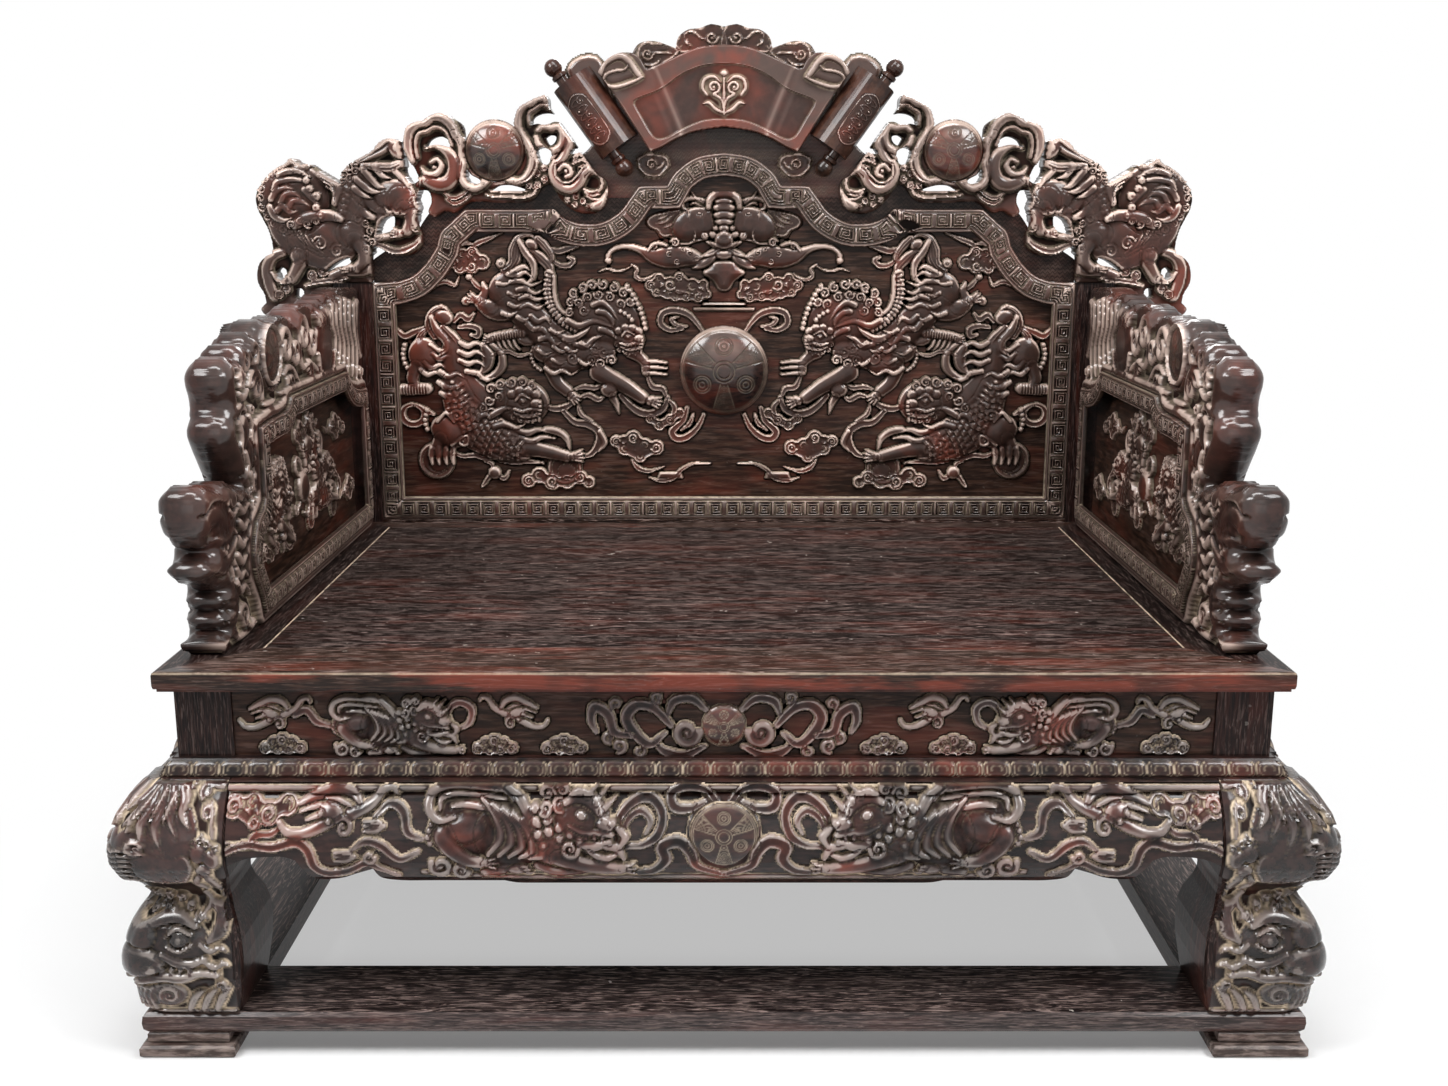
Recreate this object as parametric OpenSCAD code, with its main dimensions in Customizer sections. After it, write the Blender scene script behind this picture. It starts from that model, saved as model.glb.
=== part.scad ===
// Carved hardwood throne: a waisted platform on cabriole legs, with a back screen and two arm
// screens that lift off on dovetail keys. Origin: middle of the footprint, on the floor.
// X runs across the seat, Y from the sitter's feet to the back, Z up. Millimetres.

/* [Seat] */
// Width of the seat frame, edge to edge
seat_w = 1300; // [1200:10:1420]
// Depth of the seat frame, edge to edge
seat_d = 900; // [820:10:980]
// Height of the seat above the floor
seat_h = 462; // [440:1:500]
// Width of the four mitred seat rails
seat_rail_w = 100; // [90:1:115]
// Thickness of the seat rails
seat_rail_t = 24; // [22:1:32]
// Thickness of the floating seat panel
seat_panel_t = 12.4; // [11:0.1:14]
// Depth of the groove that holds the seat panel
panel_groove = 10; // [8:1:14]
// Thickness of the tongue round the seat panel
panel_tongue_t = 6.4; // [5:0.2:7]
// Number of battens under the seat panel
batten_count = 3; // [2:1:4]
// Width of each batten
batten_w = 40; // [34:1:50]
// Height of each batten
batten_h = 27; // [20:1:34]

/* [Waist] */
// How far the waist stands in from the seat edge
waist_in = 18; // [14:1:24]
// Height of the waist between the seat frame and the petal moulding
waist_h = 82; // [70:1:95]
// Side of the square post that each leg sends up past the waist
post_side = 65; // [55:1:75]
// Thickness of the waist panels
waist_panel_t = 22; // [16:1:28]
// How far the waist panels stand back from the face of the posts
waist_panel_set = 3; // [2:0.5:6]
// Height of the petal moulding under the waist
petal_h = 20; // [16:1:26]
// How far the petal moulding stands out past the waist at its foot
petal_out = 16; // [12:1:20]

/* [Apron and legs] */
// How far the bulge of the legs stands out past the seat edge
leg_bulge = 48; // [36:1:56]
// Depth of the apron at its middle
apron_h = 119; // [105:1:130]
// Thickness of the apron
apron_t = 34; // [26:1:40]
// How far the apron face stands back from the face of the legs
apron_set = 6; // [4:1:10]
// Side of the tenon under each leg
leg_tenon = 34; // [26:1:40]
// Length of the tenon under each leg
leg_tenon_l = 18; // [12:1:22]

/* [Floor frame] */
// Thickness of the floor rails
floor_rail_t = 26; // [22:1:34]
// Width of the floor rails
floor_rail_w = 115; // [100:1:130]
// How far the floor rails stand out past the seat edge
floor_rail_out = 32; // [24:1:38]
// Height of the feet
foot_h = 30; // [24:1:40]
// Width of the upper step of each foot
foot_w = 96; // [84:1:110]
// How much wider the lower step of each foot is, on each side
foot_step = 8; // [5:1:12]

/* [Back screen] */
// How far the back screen's face stands in from the rear edge of the seat
back_in = 58; // [54:1:62]
// How far the sides of the back screen stand in from the sides of the seat
back_side_in = 19; // [14:1:24]
// Thickness of the back screen
back_t = 40; // [34:1:50]
// Height of the back posts above the seat, which the arm screens rise to
back_post_h = 394; // [370:1:420]
// Width of each back post
back_post_w = 63; // [55:1:75]
// Height of the back's frame over the middle, above the seat
back_arch_h = 598; // [560:1:640]
// Height of the crest over the middle, above the seat
crest_h = 793; // [750:1:840]
// Thickness of the carved back panel
back_panel_t = 22; // [18:1:25]
// Width of the key-pattern moulding round the back panel
fret_w = 36; // [28:1:40]
// Thickness of the key-pattern moulding round the back panel
fret_t = 16; // [12:1:20]
// Radius of the big boss in the middle of the back
boss_r = 73; // [60:1:80]
// How far the big boss stands out from the panel
boss_out = 30; // [20:1:40]
// Thickness of the pierced crest boards
crest_t = 58; // [50:1:66]
// Radius of the two bosses in the crest
crest_boss_r = 48; // [42:1:50]
// Depth of the carved scroll in front of the crest board
scroll_t = 34; // [26:1:40]
// Width of the rolled ends of the scroll
roller_w = 66; // [58:1:70]
// Depth of the rolled ends in front of the crest board
roller_t = 50; // [42:1:56]
// Length of the rolled ends of the scroll
roller_l = 126; // [116:1:132]
// Radius of the rod through each rolled end
rod_r = 9; // [7:1:11]
// Radius of the ball on each end of the rod
knob_r = 14; // [11:1:16]

/* [Arm screens] */
// Thickness of the arm screens
arm_t = 56; // [46:1:62]
// How far the arm screens stand in from the seat edge
arm_in = 12; // [8:1:18]
// How far the noses of the arm screens stand back from the front edge of the seat
arm_front_in = 19; // [10:1:40]
// Width of the key-pattern moulding round the arm panels
arm_fret_w = 28; // [22:1:32]
// Thickness of the key-pattern moulding round the arm panels
arm_fret_t = 9; // [7:1:12]
// Thickness of the carved arm panels
arm_panel_t = 20; // [14:1:26]
// Radius of the boss in each arm
arm_boss_r = 34; // [30:1:36]

/* [Joints] */
// Gap left round tongues, tenons and keys
fit_gap = 0.3; // [0.1:0.05:0.5]
// Length of the lift-off dovetail keys
key_l = 34; // [26:1:44]
// Width of the lift-off dovetail keys
key_w = 16; // [12:1:20]
// Depth that a key goes into each piece
key_deep = 9; // [7:1:11]

/* [Hidden] */
$fn = 48;

dark_wood = "#35211c";
brown_wood = "#4a2c24";
worn_wood = "#5a3228";
eps = 0.01;

half_w = seat_w / 2;
half_d = seat_d / 2;
rail_top = seat_h;
rail_low = seat_h - seat_rail_t;
petal_top = rail_low - waist_h;
petal_low = petal_top - petal_h;
waist_x = half_w - waist_in;
waist_y = half_d - waist_in;
floor_rail_low = foot_h;
floor_rail_top = foot_h + floor_rail_t;
leg_h = petal_low - floor_rail_top;

panel_x = half_w - seat_rail_w;
panel_y = half_d - seat_rail_w;
groove_low = seat_h - seat_panel_t - 2 * fit_gap;
back_y = half_d - back_in;
panel_face = back_y + 12;
fret_face = panel_face - fret_t;
back_end = back_y + back_t;
back_half = half_w - back_side_in;
post_x = back_half - back_post_w;
arm_l = back_y - fit_gap + half_d - arm_front_in;

run_steps = 4;

// Curves. A run is a list of points that one smooth curve passes through; an outline is a
// list of runs, each ending where the next begins, so that runs meet at a corner.
function catmull(a, b, c, d, t) = 0.5 * (2 * b + (c - a) * t + (2 * a - 5 * b + 4 * c - d) * t * t
    + (3 * b - a - 3 * c + d) * t * t * t);
function run_points(p, n) = len(p) == 2 ? [p[0]] : [
    for (i = [0 : len(p) - 2])
        for (k = [0 : n - 1])
            catmull(p[max(i - 1, 0)], p[i], p[i + 1], p[min(i + 2, len(p) - 1)], k / n)
];
function outline(runs, n = run_steps) = [for (r = runs) each run_points(r, n)];
function turned(v) = [-v.y, v.x];
function unit(v) = v / norm(v);
// A closed loop moved inwards by d, where the loop runs clockwise
function inset(p, d) = [
    for (i = [0 : len(p) - 1])
        let (before = unit(p[i] - p[(i + len(p) - 1) % len(p)]),
             after = unit(p[(i + 1) % len(p)] - p[i]),
             a = -turned(before), b = -turned(after))
        p[i] + d * (a + b) / (1 + a * b)
];
function side(a, b, c) = cross(b - a, c - a);
function crossed(a, b, c, d) = side(a, b, c) * side(a, b, d) < 0 && side(c, d, a) * side(c, d, b) < 0;
function meeting(a, b, c, d) = a + (b - a) * side(c, d, a) / (side(c, d, a) - side(c, d, b));
// The same loop without the small knots that moving it leaves beside tight corners
function untied(p, i = 0) = i >= len(p) ? [] : let (
        n = len(p),
        next = p[(i + 1) % n],
        hits = [for (j = [i + 2 : 1 : min(i + 9, n - 1)]) if (crossed(p[i], next, p[j], p[(j + 1) % n])) j])
    len(hits) == 0 ? concat([p[i]], untied(p, i + 1)) : let (last = hits[len(hits) - 1])
        concat([p[i], meeting(p[i], next, p[last], p[(last + 1) % n])], untied(p, last + 1));
function moved_in(p, d) = untied(untied(inset(p, d)));
function flipped(p) = [for (i = [len(p) - 1 : -1 : 0]) [-p[i].x, p[i].y]];

// Points of the back screen are drawn as [distance from the middle, height above the seat], with
// the posts' inner and outer faces at 568 and 631, and the tops of posts, frame and crest at 394,
// 598 and 793. Points of the arm screens are drawn as [distance forward of the back, height above
// the seat], 823 long, with the posts they butt against 394 high. Either way they follow the sizes
// above.
function back_x(a) = lookup(a, [[0, 0], [568, post_x], [631, back_half], [800, back_half * 800 / 631]]);
function back_z(h) = seat_h + lookup(h, [[0, 0], [394, back_post_h], [598, back_arch_h], [793, crest_h]]);
function on_back(p) = [for (q = p) [-back_x(q.x), back_z(q.y)]];
function on_arm(p) = [for (q = p) [back_y - fit_gap - q.x * arm_l / 823, seat_h + q.y * back_post_h / 394]];
function run_end(runs) = let (last = runs[len(runs) - 1]) last[len(last) - 1];

module slab_y(y0, y1) {
    translate([0, y1, 0]) rotate([90, 0, 0]) linear_extrude(y1 - y0) children();
}
module slab_x(x0, x1) {
    translate([x0, 0, 0]) rotate([90, 0, 90]) linear_extrude(x1 - x0) children();
}
module both_sides() {
    children();
    mirror([1, 0, 0]) children();
}
// Closed mesh through rings of points, listed from the lowest ring to the highest
module loft(rings) {
    n = len(rings[0]);
    m = len(rings);
    polyhedron(
        points = [for (r = rings) each r],
        faces = concat(
            [[for (i = [0 : n - 1]) i]],
            [[for (i = [n - 1 : -1 : 0]) (m - 1) * n + i]],
            [for (j = [0 : m - 2]) for (i = [0 : n - 1])
                [j * n + i, (j + 1) * n + i, (j + 1) * n + (i + 1) % n, j * n + (i + 1) % n]]),
        convexity = 6);
}

// Floor frame. The feet and the leg tenons stand under the mitred corners of its rails
foot_set = 4;
peg_r = 8;
peg_l = 6;
peg_play = 0.4;
function leg_at(half) = half + floor_rail_out - floor_rail_w / 2;
function foot_at(half) = half + floor_rail_out - foot_w / 2 - foot_set;

module foot() {
    color(worn_wood) translate([-foot_at(half_w), -foot_at(half_d), 0]) {
        low_x = foot_w / 2 + foot_step;
        high_x = foot_w / 2;
        mid = foot_h / 2;
        soft = 3;
        stepped = [[0, 0], [low_x - soft, 0], [low_x, soft], [low_x, mid - soft], [low_x - soft, mid],
            [high_x - soft, mid], [high_x, mid + soft], [high_x, foot_h - soft], [high_x - soft, foot_h],
            [0, foot_h]];
        closed = concat(stepped, [for (i = [len(stepped) - 2 : -1 : 1]) [-stepped[i].x, stepped[i].y]]);
        intersection() {
            slab_x(-low_x, low_x) polygon(closed);
            slab_y(-low_x, low_x) polygon(closed);
        }
        translate([0, 0, foot_h - 1]) cylinder(r = peg_r, h = peg_l + 1);
    }
}

// The modules from here to the seat draw the front piece of each frame. l is the seat frame's
// half length along the piece, and d is the seat frame's half depth across it.
module floor_rail(l, d) {
    soft = 5;
    out = -(d + floor_rail_out);
    t = floor_rail_t;
    section = [[out + soft, floor_rail_low], [out + floor_rail_w, floor_rail_low],
        [out + floor_rail_w, floor_rail_top], [out + 2 * soft, floor_rail_top],
        [out + soft, floor_rail_top - 1], [out + 1, floor_rail_top - soft],
        [out, floor_rail_top - t / 2], [out + 1, floor_rail_low + soft]];
    end = l + floor_rail_out;
    difference() {
        intersection() {
            slab_x(-end, end) polygon(section);
            translate([0, 0, floor_rail_low - 1]) linear_extrude(t + 2)
                polygon([[-end, out], [end, out], [end - floor_rail_w, out + floor_rail_w],
                    [-end + floor_rail_w, out + floor_rail_w]]);
        }
        both_sides() {
            translate([-leg_at(l), -leg_at(d), floor_rail_top - leg_tenon_l / 2])
                cube([leg_tenon, leg_tenon, leg_tenon_l] + 2 * fit_gap * [1, 1, 1], center = true);
            translate([-foot_at(l), -foot_at(d), floor_rail_low - 1])
                cylinder(r = peg_r + fit_gap, h = 1 + peg_l + peg_play);
        }
    }
}

// Legs. Each row is [share of the height, share of the bulge that it stands out, depth inwards],
// both from the seat edge
leg_in = 84;
leg_rows = [[0, 0.58, leg_in], [0.03, 0.65, 86], [0.12, 0.7, 90], [0.17, 0.84, 92], [0.25, 0.8, 93],
    [0.33, 0.77, 92], [0.39, 0.66, 88], [0.45, 0.42, 80], [0.5, 0.27, 76], [0.53, 0.36, 76],
    [0.57, 0.6, 80], [0.62, 0.84, leg_in], [0.68, 0.98, leg_in], [0.74, 1, leg_in], [0.8, 0.94, leg_in],
    [0.87, 0.76, leg_in], [0.94, 0.46, leg_in], [1, 0.1, leg_in]];
leg_round = 26;
leg_corner = 7;
function leg_out(share) = leg_bulge * lookup(share, [for (r = leg_rows) [r[0], r[1]]]);
function quarter(c, r, from, n) = [
    for (i = [0 : n]) let (a = from + 90 * i / n) c + r * [cos(a), sin(a)]
];
function leg_ring(row) = let (
        z = floor_rail_top + row[0] * leg_h,
        o = leg_bulge * row[1],
        x0 = -half_w - o,
        y0 = -half_d - o,
        x1 = -half_w + row[2] - leg_corner,
        y1 = -half_d + row[2] - leg_corner)
    [for (p = concat(
        quarter([x0 + leg_round, y0 + leg_round], leg_round, 180, 6),
        quarter([x1, y0 + leg_corner], leg_corner, 270, 2),
        quarter([x1, y1], leg_corner, 0, 2),
        quarter([x0 + leg_corner, y1], leg_corner, 90, 2))) [p.x, p.y, z]];

tongue_l = 14;
tongue_t = 12;
tongue_low = 0.735;
tongue_high = 0.855;
tongue_out = 0.375;
function apron_half(l) = l - leg_in - fit_gap;
// The tongue at the left end of a front apron, or the slot for it with a gap
module apron_tongue(l, d, gap) {
    z0 = floor_rail_top + tongue_low * leg_h;
    z1 = floor_rail_top + tongue_high * leg_h;
    y_mid = -d - leg_bulge * tongue_out;
    translate([-apron_half(l) - tongue_l - gap, y_mid - tongue_t / 2 - gap, z0 - gap])
        cube([tongue_l + gap + 1, tongue_t + 2 * gap, z1 - z0 + 2 * gap]);
}

module leg() {
    color(dark_wood) difference() {
        union() {
            loft([for (row = leg_rows) leg_ring(row)]);
            translate([-waist_x, -waist_y, petal_low - 1])
                cube([post_side, post_side, rail_low - petal_low + 1]);
            translate([-leg_at(half_w), -leg_at(half_d), floor_rail_top - leg_tenon_l / 2 + 1])
                cube([leg_tenon, leg_tenon, leg_tenon_l], center = true);
        }
        apron_tongue(half_w, half_d, fit_gap);
        mirror([1, -1, 0]) apron_tongue(half_d, half_w, fit_gap);
    }
}

// Aprons. The lower edge is drawn from the leg to the middle, as [distance, height over the lowest
// line], on an apron 566 long to its middle and 119 deep
apron_runs = [
    [[566, 27], [544, 37], [505, 40], [487, 35]],
    [[487, 35], [478, 20], [465, 8], [441, 9], [417, 18], [400, 24]],
    [[400, 24], [391, 10], [368, 5], [330, 5], [252, 5]],
    [[252, 5], [240, 1], [229, 0]],
    [[229, 0], [0, 0]]];
bead_h = 11;
bead_out = 5;
module apron(l, d) {
    low = petal_low - apron_h;
    half = [for (q = outline(apron_runs))
        [-q.x * apron_half(l) / 566, low + q.y * apron_h / 119]];
    edge = concat(half, flipped(half), [[apron_half(l), petal_low], [-apron_half(l), petal_low]]);
    steps = 16;
    face = [for (i = [0 : steps]) let (z = low - 2 + (petal_low - bead_h - low + 2) * i / steps)
        [-d - leg_out((z - floor_rail_top) / leg_h) + apron_set, z]];
    top = face[steps].x - bead_out;
    section = concat(face, [[top, petal_low - bead_h], [top, petal_low], [top + apron_t, petal_low]],
        [for (i = [steps : -1 : 0]) face[i] + [apron_t, 0]]);
    color(dark_wood) {
        intersection() {
            slab_x(-apron_half(l), apron_half(l)) polygon(section);
            slab_y(-d - 2 * leg_bulge, -d + 2 * leg_bulge) polygon(edge);
        }
        apron_tongue(l, d, 0);
        mirror([1, 0, 0]) apron_tongue(l, d, 0);
    }
}

// Petal moulding: a mitred strip outside the waist, with a lip under the waist panel
module petal_moulding(l, d) {
    wx = l - waist_in;
    wy = d - waist_in;
    bulge = petal_out * 0.72;
    section = [[-wy - petal_out, petal_low], [-wy - petal_out, petal_low + petal_h * 0.2],
        [-wy - bulge, petal_low + petal_h * 0.62], [-wy - petal_out * 0.35, petal_top],
        [-wy + eps, petal_top], [-wy + eps, petal_low]];
    end = wx + petal_out;
    lip_x = wx - post_side - fit_gap;
    color(dark_wood) {
        intersection() {
            slab_x(-end, end) polygon(section);
            translate([0, 0, petal_low - 1]) linear_extrude(petal_h + 2)
                polygon([[-end, -wy - petal_out], [end, -wy - petal_out], [wx, -wy], [wx - 1, -wy + 1],
                    [-wx + 1, -wy + 1], [-wx, -wy]]);
        }
        translate([-lip_x, -wy, petal_low]) cube([2 * lip_x, waist_panel_set + waist_panel_t, petal_h]);
    }
}

module waist_panel(l, d) {
    x = l - waist_in - post_side - fit_gap;
    color(brown_wood) translate([-x, -d + waist_in + waist_panel_set, petal_top])
        cube([2 * x, waist_panel_t, waist_h]);
}

// Seat
module seat_rail(l, d) {
    soft = 4;
    y0 = -d;
    y1 = -d + seat_rail_w;
    groove_top = groove_low + panel_tongue_t + 2 * fit_gap;
    section = [[y0 + soft, rail_low], [y1, rail_low], [y1, groove_low], [y1 - panel_groove, groove_low],
        [y1 - panel_groove, groove_top], [y1, groove_top], [y1, rail_top], [y0 + soft, rail_top],
        [y0 + 1, rail_top - 1.2], [y0, rail_top - soft],
        [y0, rail_low + 2 * soft], [y0 + 1, rail_low + soft], [y0 + soft, rail_low + soft - 1]];
    short = l - seat_rail_w;
    intersection() {
        slab_x(-l, l) polygon(section);
        translate([0, 0, rail_low - 1]) linear_extrude(seat_rail_t + 2)
            polygon([[-l, y0], [l, y0], [short, y1], [-short, y1]]);
    }
}
module seat_panel() {
    x = panel_x - fit_gap;
    y = panel_y - fit_gap;
    reach = panel_groove - 2 * fit_gap;
    color(brown_wood) difference() {
        union() {
            translate([-x, -y, groove_low + fit_gap]) cube([2 * x, 2 * y, seat_panel_t]);
            translate([-x - reach, -y - reach, groove_low + fit_gap])
                cube([2 * (x + reach), 2 * (y + reach), panel_tongue_t]);
        }
        for (i = [1 : batten_count]) batten_top(i, fit_gap);
    }
}
batten_key = 4.5;
batten_spread = 3;
mortise_h = 6;
mortise_up = 2;
mortise_deep = 20;
function batten_x(i) = -panel_x + 2 * panel_x * i / (batten_count + 1);
// The dovetail along the top of a batten, which slides into the panel's underside
module batten_top(i, gap) {
    w = batten_w * 0.35 + gap;
    top_w = w + batten_spread;
    low = groove_low + fit_gap;
    translate([batten_x(i), 0, 0]) slab_y(-panel_y - panel_groove, panel_y + panel_groove)
        polygon([[-w, low - 1], [w, low - 1], [w, low], [top_w, low + batten_key + gap],
            [-top_w, low + batten_key + gap], [-w, low]]);
}
module batten_tenons(i, gap) {
    w = batten_w * 0.3 + gap;
    reach = panel_y + mortise_deep + gap;
    translate([batten_x(i) - w, -reach, rail_low + mortise_up - gap])
        cube([2 * w, 2 * reach, mortise_h + 2 * gap]);
}
module seat_battens() {
    y = panel_y - fit_gap;
    low = groove_low + fit_gap;
    color(dark_wood) for (i = [1 : batten_count]) {
        translate([batten_x(i) - batten_w / 2, -y, low - batten_h]) cube([batten_w, 2 * y, batten_h]);
        intersection() {
            batten_top(i, 0);
            translate([-half_w, -y, low - 1]) cube([seat_w, 2 * y, batten_key + 1]);
        }
        batten_tenons(i, 0);
    }
}

// Lift-off dovetail keys, each half in one piece and half in the other. The places are the
// middles of the faces that meet.
arm_mid = half_w - arm_in - arm_t / 2;
back_mid = panel_face + (back_end - panel_face) / 2;
keys_under_arms = [for (side = [-1, 1]) for (y = [-0.45, 0.45]) [side * arm_mid, y * half_d, rail_top]];
keys_under_back = [for (x = [-0.6, 0, 0.6]) [x * half_w, back_mid, rail_top]];
keys_behind_arms = [for (side = [-1, 1])
    [side * arm_mid, back_y, seat_h + back_post_h * 0.62]];
module key_row(places, size) {
    for (place = places) translate(place) cube(size, center = true);
}
module dovetail_keys_at(gap) {
    wide = key_w + 2 * gap;
    long = key_l + 2 * gap;
    deep = 2 * (key_deep + gap);
    key_row(keys_under_arms, [wide, long, deep]);
    key_row(keys_under_back, [long, wide, deep]);
    key_row(keys_behind_arms, [wide, deep, long]);
}

// Back screen
tongue = 8;
tongue_in = 4;
panel_tongue = back_panel_t - 10;
rail_face_h = 38;
fret_low = 6;
bead_set = 2;
arch_runs = [
    [[568, 394], [527, 396]],
    [[527, 396], [502, 405], [479, 426], [461, 452]],
    [[461, 452], [454, 474], [439, 488], [414, 510]],
    [[414, 510], [271, 510]],
    [[271, 510], [256, 496], [231, 488], [198, 489], [168, 505], [148, 530], [136, 546]],
    [[136, 546], [91, 547]],
    [[91, 547], [76, 569], [43, 591], [0, 598]]];
arch_half = on_back(outline(arch_runs));
frame_outer = concat([[-post_x, seat_h + fret_low]], arch_half, [[0, back_z(run_end(arch_runs).y)]],
    flipped(arch_half), [[post_x, seat_h + fret_low]]);
frame_inner = moved_in(frame_outer, fret_w);
frame_middle = moved_in(frame_outer, fret_w / 2);
outer_end = len(frame_outer) - 1;
inner_end = len(frame_inner) - 1;
middle_end = len(frame_middle) - 1;

module back_post() {
    color(dark_wood) difference() {
        translate([-back_half, back_y, seat_h]) cube([back_post_w, back_t, back_post_h]);
        translate([-post_x - tongue, panel_face + tongue_in - fit_gap, seat_h + rail_face_h - fit_gap])
            cube([tongue + 1, panel_tongue + 2 * fit_gap, back_post_h]);
        dovetail_keys_at(fit_gap);
    }
}
module back_bottom_rail() {
    x = post_x - fit_gap;
    color(dark_wood) difference() {
        union() {
            translate([-x, panel_face, seat_h]) cube([2 * x, back_end - panel_face, rail_face_h]);
            translate([-x, fret_face - bead_set, seat_h])
                cube([2 * x, panel_face - fret_face + bead_set + 1, fret_low - fit_gap]);
        }
        translate([-x - 1, panel_face + tongue_in - fit_gap, seat_h + rail_face_h - tongue])
            cube([2 * x + 2, panel_tongue + 2 * fit_gap, tongue + 1]);
        dovetail_keys_at(fit_gap);
    }
}
// Top of the back panel, along the middle of the moulding, from the left post to the right one
function panel_top(x, gap) = concat([[-x, frame_middle[1].y - gap]],
    [for (i = [1 : middle_end - 1]) frame_middle[i] - [0, gap]],
    [[x, frame_middle[1].y - gap]]);
module back_panel() {
    low = seat_h + rail_face_h + fit_gap;
    x = post_x - fit_gap;
    wide = post_x + tongue - fit_gap;
    color(brown_wood) difference() {
        union() {
            slab_y(panel_face, panel_face + back_panel_t)
                polygon(concat(panel_top(x, fit_gap), [[x, low], [-x, low]]));
            translate([-wide, panel_face + tongue_in, low - tongue + fit_gap])
                cube([2 * wide, panel_tongue, frame_middle[1].y - low]);
        }
        translate([0, panel_face - 1, boss_z]) rotate([-90, 0, 0])
            cylinder(r = boss_peg_r + fit_gap, h = 1 + boss_peg_l + peg_play);
    }
}
boss_z = back_z(252);
boss_rim = 4;
boss_peg_r = 9;
boss_peg_l = 12;
// Half section of a dome of radius r that rises from rim to top, listed from its middle outwards
dome_steps = 12;
function dome(r, rim, top) = let (
        rise = top - rim,
        ball = (r * r + rise * rise) / (2 * rise),
        sweep = asin(r / ball))
    [for (i = [0 : dome_steps]) let (a = sweep * i / dome_steps) [ball * sin(a), top - ball * (1 - cos(a))]];
// Both faces of a boss whose rim and top stand that far out from its middle plane
module two_sided_boss(r, rim, top) {
    face = dome(r, rim, top);
    rotate([90, 0, 0]) rotate_extrude($fn = 96)
        polygon(concat(face, [for (i = [dome_steps : -1 : 0]) [face[i].x, -face[i].y]]));
}
module back_boss() {
    face = dome(boss_r, boss_rim, boss_out);
    color(worn_wood) translate([0, panel_face, boss_z]) rotate([90, 0, 0]) {
        rotate_extrude($fn = 96)
            polygon(concat([[0, 0], [boss_r, 0]], [for (i = [dome_steps : -1 : 0]) face[i]]));
        translate([0, 0, -boss_peg_l]) cylinder(r = boss_peg_r, h = boss_peg_l + 1);
    }
}
module fret_piece(points) {
    color(dark_wood) slab_y(fret_face, panel_face) polygon(points);
}
module back_fret_bottom() {
    fret_piece([frame_outer[outer_end], frame_outer[0], frame_inner[0], frame_inner[inner_end]]);
}
module back_fret_side() {
    fret_piece([frame_outer[0], frame_outer[1], frame_inner[1], frame_inner[0]]);
}
module back_fret_top() {
    fret_piece(concat([for (i = [1 : outer_end - 1]) frame_outer[i]],
        [for (i = [inner_end - 1 : -1 : 1]) frame_inner[i]]));
}

// Crest. The board behind runs from the middle of the moulding up to this edge
crest_top_runs = [
    [[568, 430], [540, 448], [515, 456], [498, 468], [484, 490], [468, 510], [448, 528], [425, 534]],
    [[425, 534], [300, 536]],
    [[300, 536], [284, 558], [262, 574], [240, 590], [222, 598], [206, 616], [188, 650], [165, 700],
        [150, 735]],
    [[150, 735], [143, 752], [132, 765], [110, 768], [90, 762], [76, 757]],
    [[76, 757], [71, 774], [56, 785], [38, 787], [20, 793], [0, 789]]];
crest_top_half = on_back(outline(crest_top_runs));
crest_x = post_x - fit_gap;
crest_board_outline = concat(
    [[-crest_x, frame_middle[1].y]], [[-crest_x, back_z(crest_top_runs[0][0].y)]],
    [for (q = crest_top_half) if (q.x > -crest_x) q], [[0, back_z(run_end(crest_top_runs).y)]],
    [for (q = flipped(crest_top_half)) if (q.x < crest_x) q],
    [[crest_x, back_z(crest_top_runs[0][0].y)]], [[crest_x, frame_middle[1].y]],
    [for (i = [middle_end - 1 : -1 : 1]) frame_middle[i]]);
crest_board_t = 26;
crest_face = panel_face - 32;
module crest_board_shape(gap) {
    slab_y(panel_face - gap, panel_face + crest_board_t + 60) polygon(crest_board_outline);
}
module crest_board() {
    color(dark_wood) slab_y(panel_face, panel_face + crest_board_t) polygon(crest_board_outline);
}

cloud_runs = [
    [[483.5, 556], [483.5, 540]],
    [[483.5, 540], [470, 538], [466, 522], [472, 506], [462, 498], [445, 507], [430, 504], [415, 515]],
    [[415, 515], [400, 522], [375, 521], [340, 520], [312, 521]],
    [[312, 521], [300, 530], [288, 546], [274, 546], [262, 528], [245, 511], [225, 503], [205, 504]],
    [[205, 504], [190, 516], [184, 540], [190, 556], [200, 562]],
    [[200, 562], [276, 668]],
    [[276, 668], [278, 684], [292, 682], [308, 675]],
    [[308, 675], [324, 664], [331, 643]],
    [[331, 643], [331, 600], [400, 600], [411, 622]],
    [[411, 622], [414, 640], [428, 650], [440, 657], [458, 656], [474, 646]],
    [[474, 646], [490, 643], [503, 632], [507, 612], [500, 590], [490, 572], [483.5, 556]]];
cloud_holes = [
    [[474, 604], [466, 617], [451, 623], [437, 618], [432, 606], [446, 609], [460, 609], [474, 604]],
    [[409, 574], [402, 564], [388, 556], [389, 550], [402, 551], [410, 560], [409, 574]],
    [[372, 539], [358, 547], [336, 547], [316, 539], [372, 539]],
    [[306, 639], [300, 652], [286, 658], [270, 657], [257, 645], [268, 645], [281, 640], [294, 642],
        [306, 639]],
    [[283, 620], [275, 625], [265, 622], [268, 613], [276, 609], [283, 620]],
    [[297, 601], [287, 606], [272, 598], [279, 580], [292, 584], [297, 601]],
    [[238, 604], [243, 596], [228, 598], [222, 606], [238, 604]]];
crest_boss_xz = on_back([[363, 601]])[0];
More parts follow.
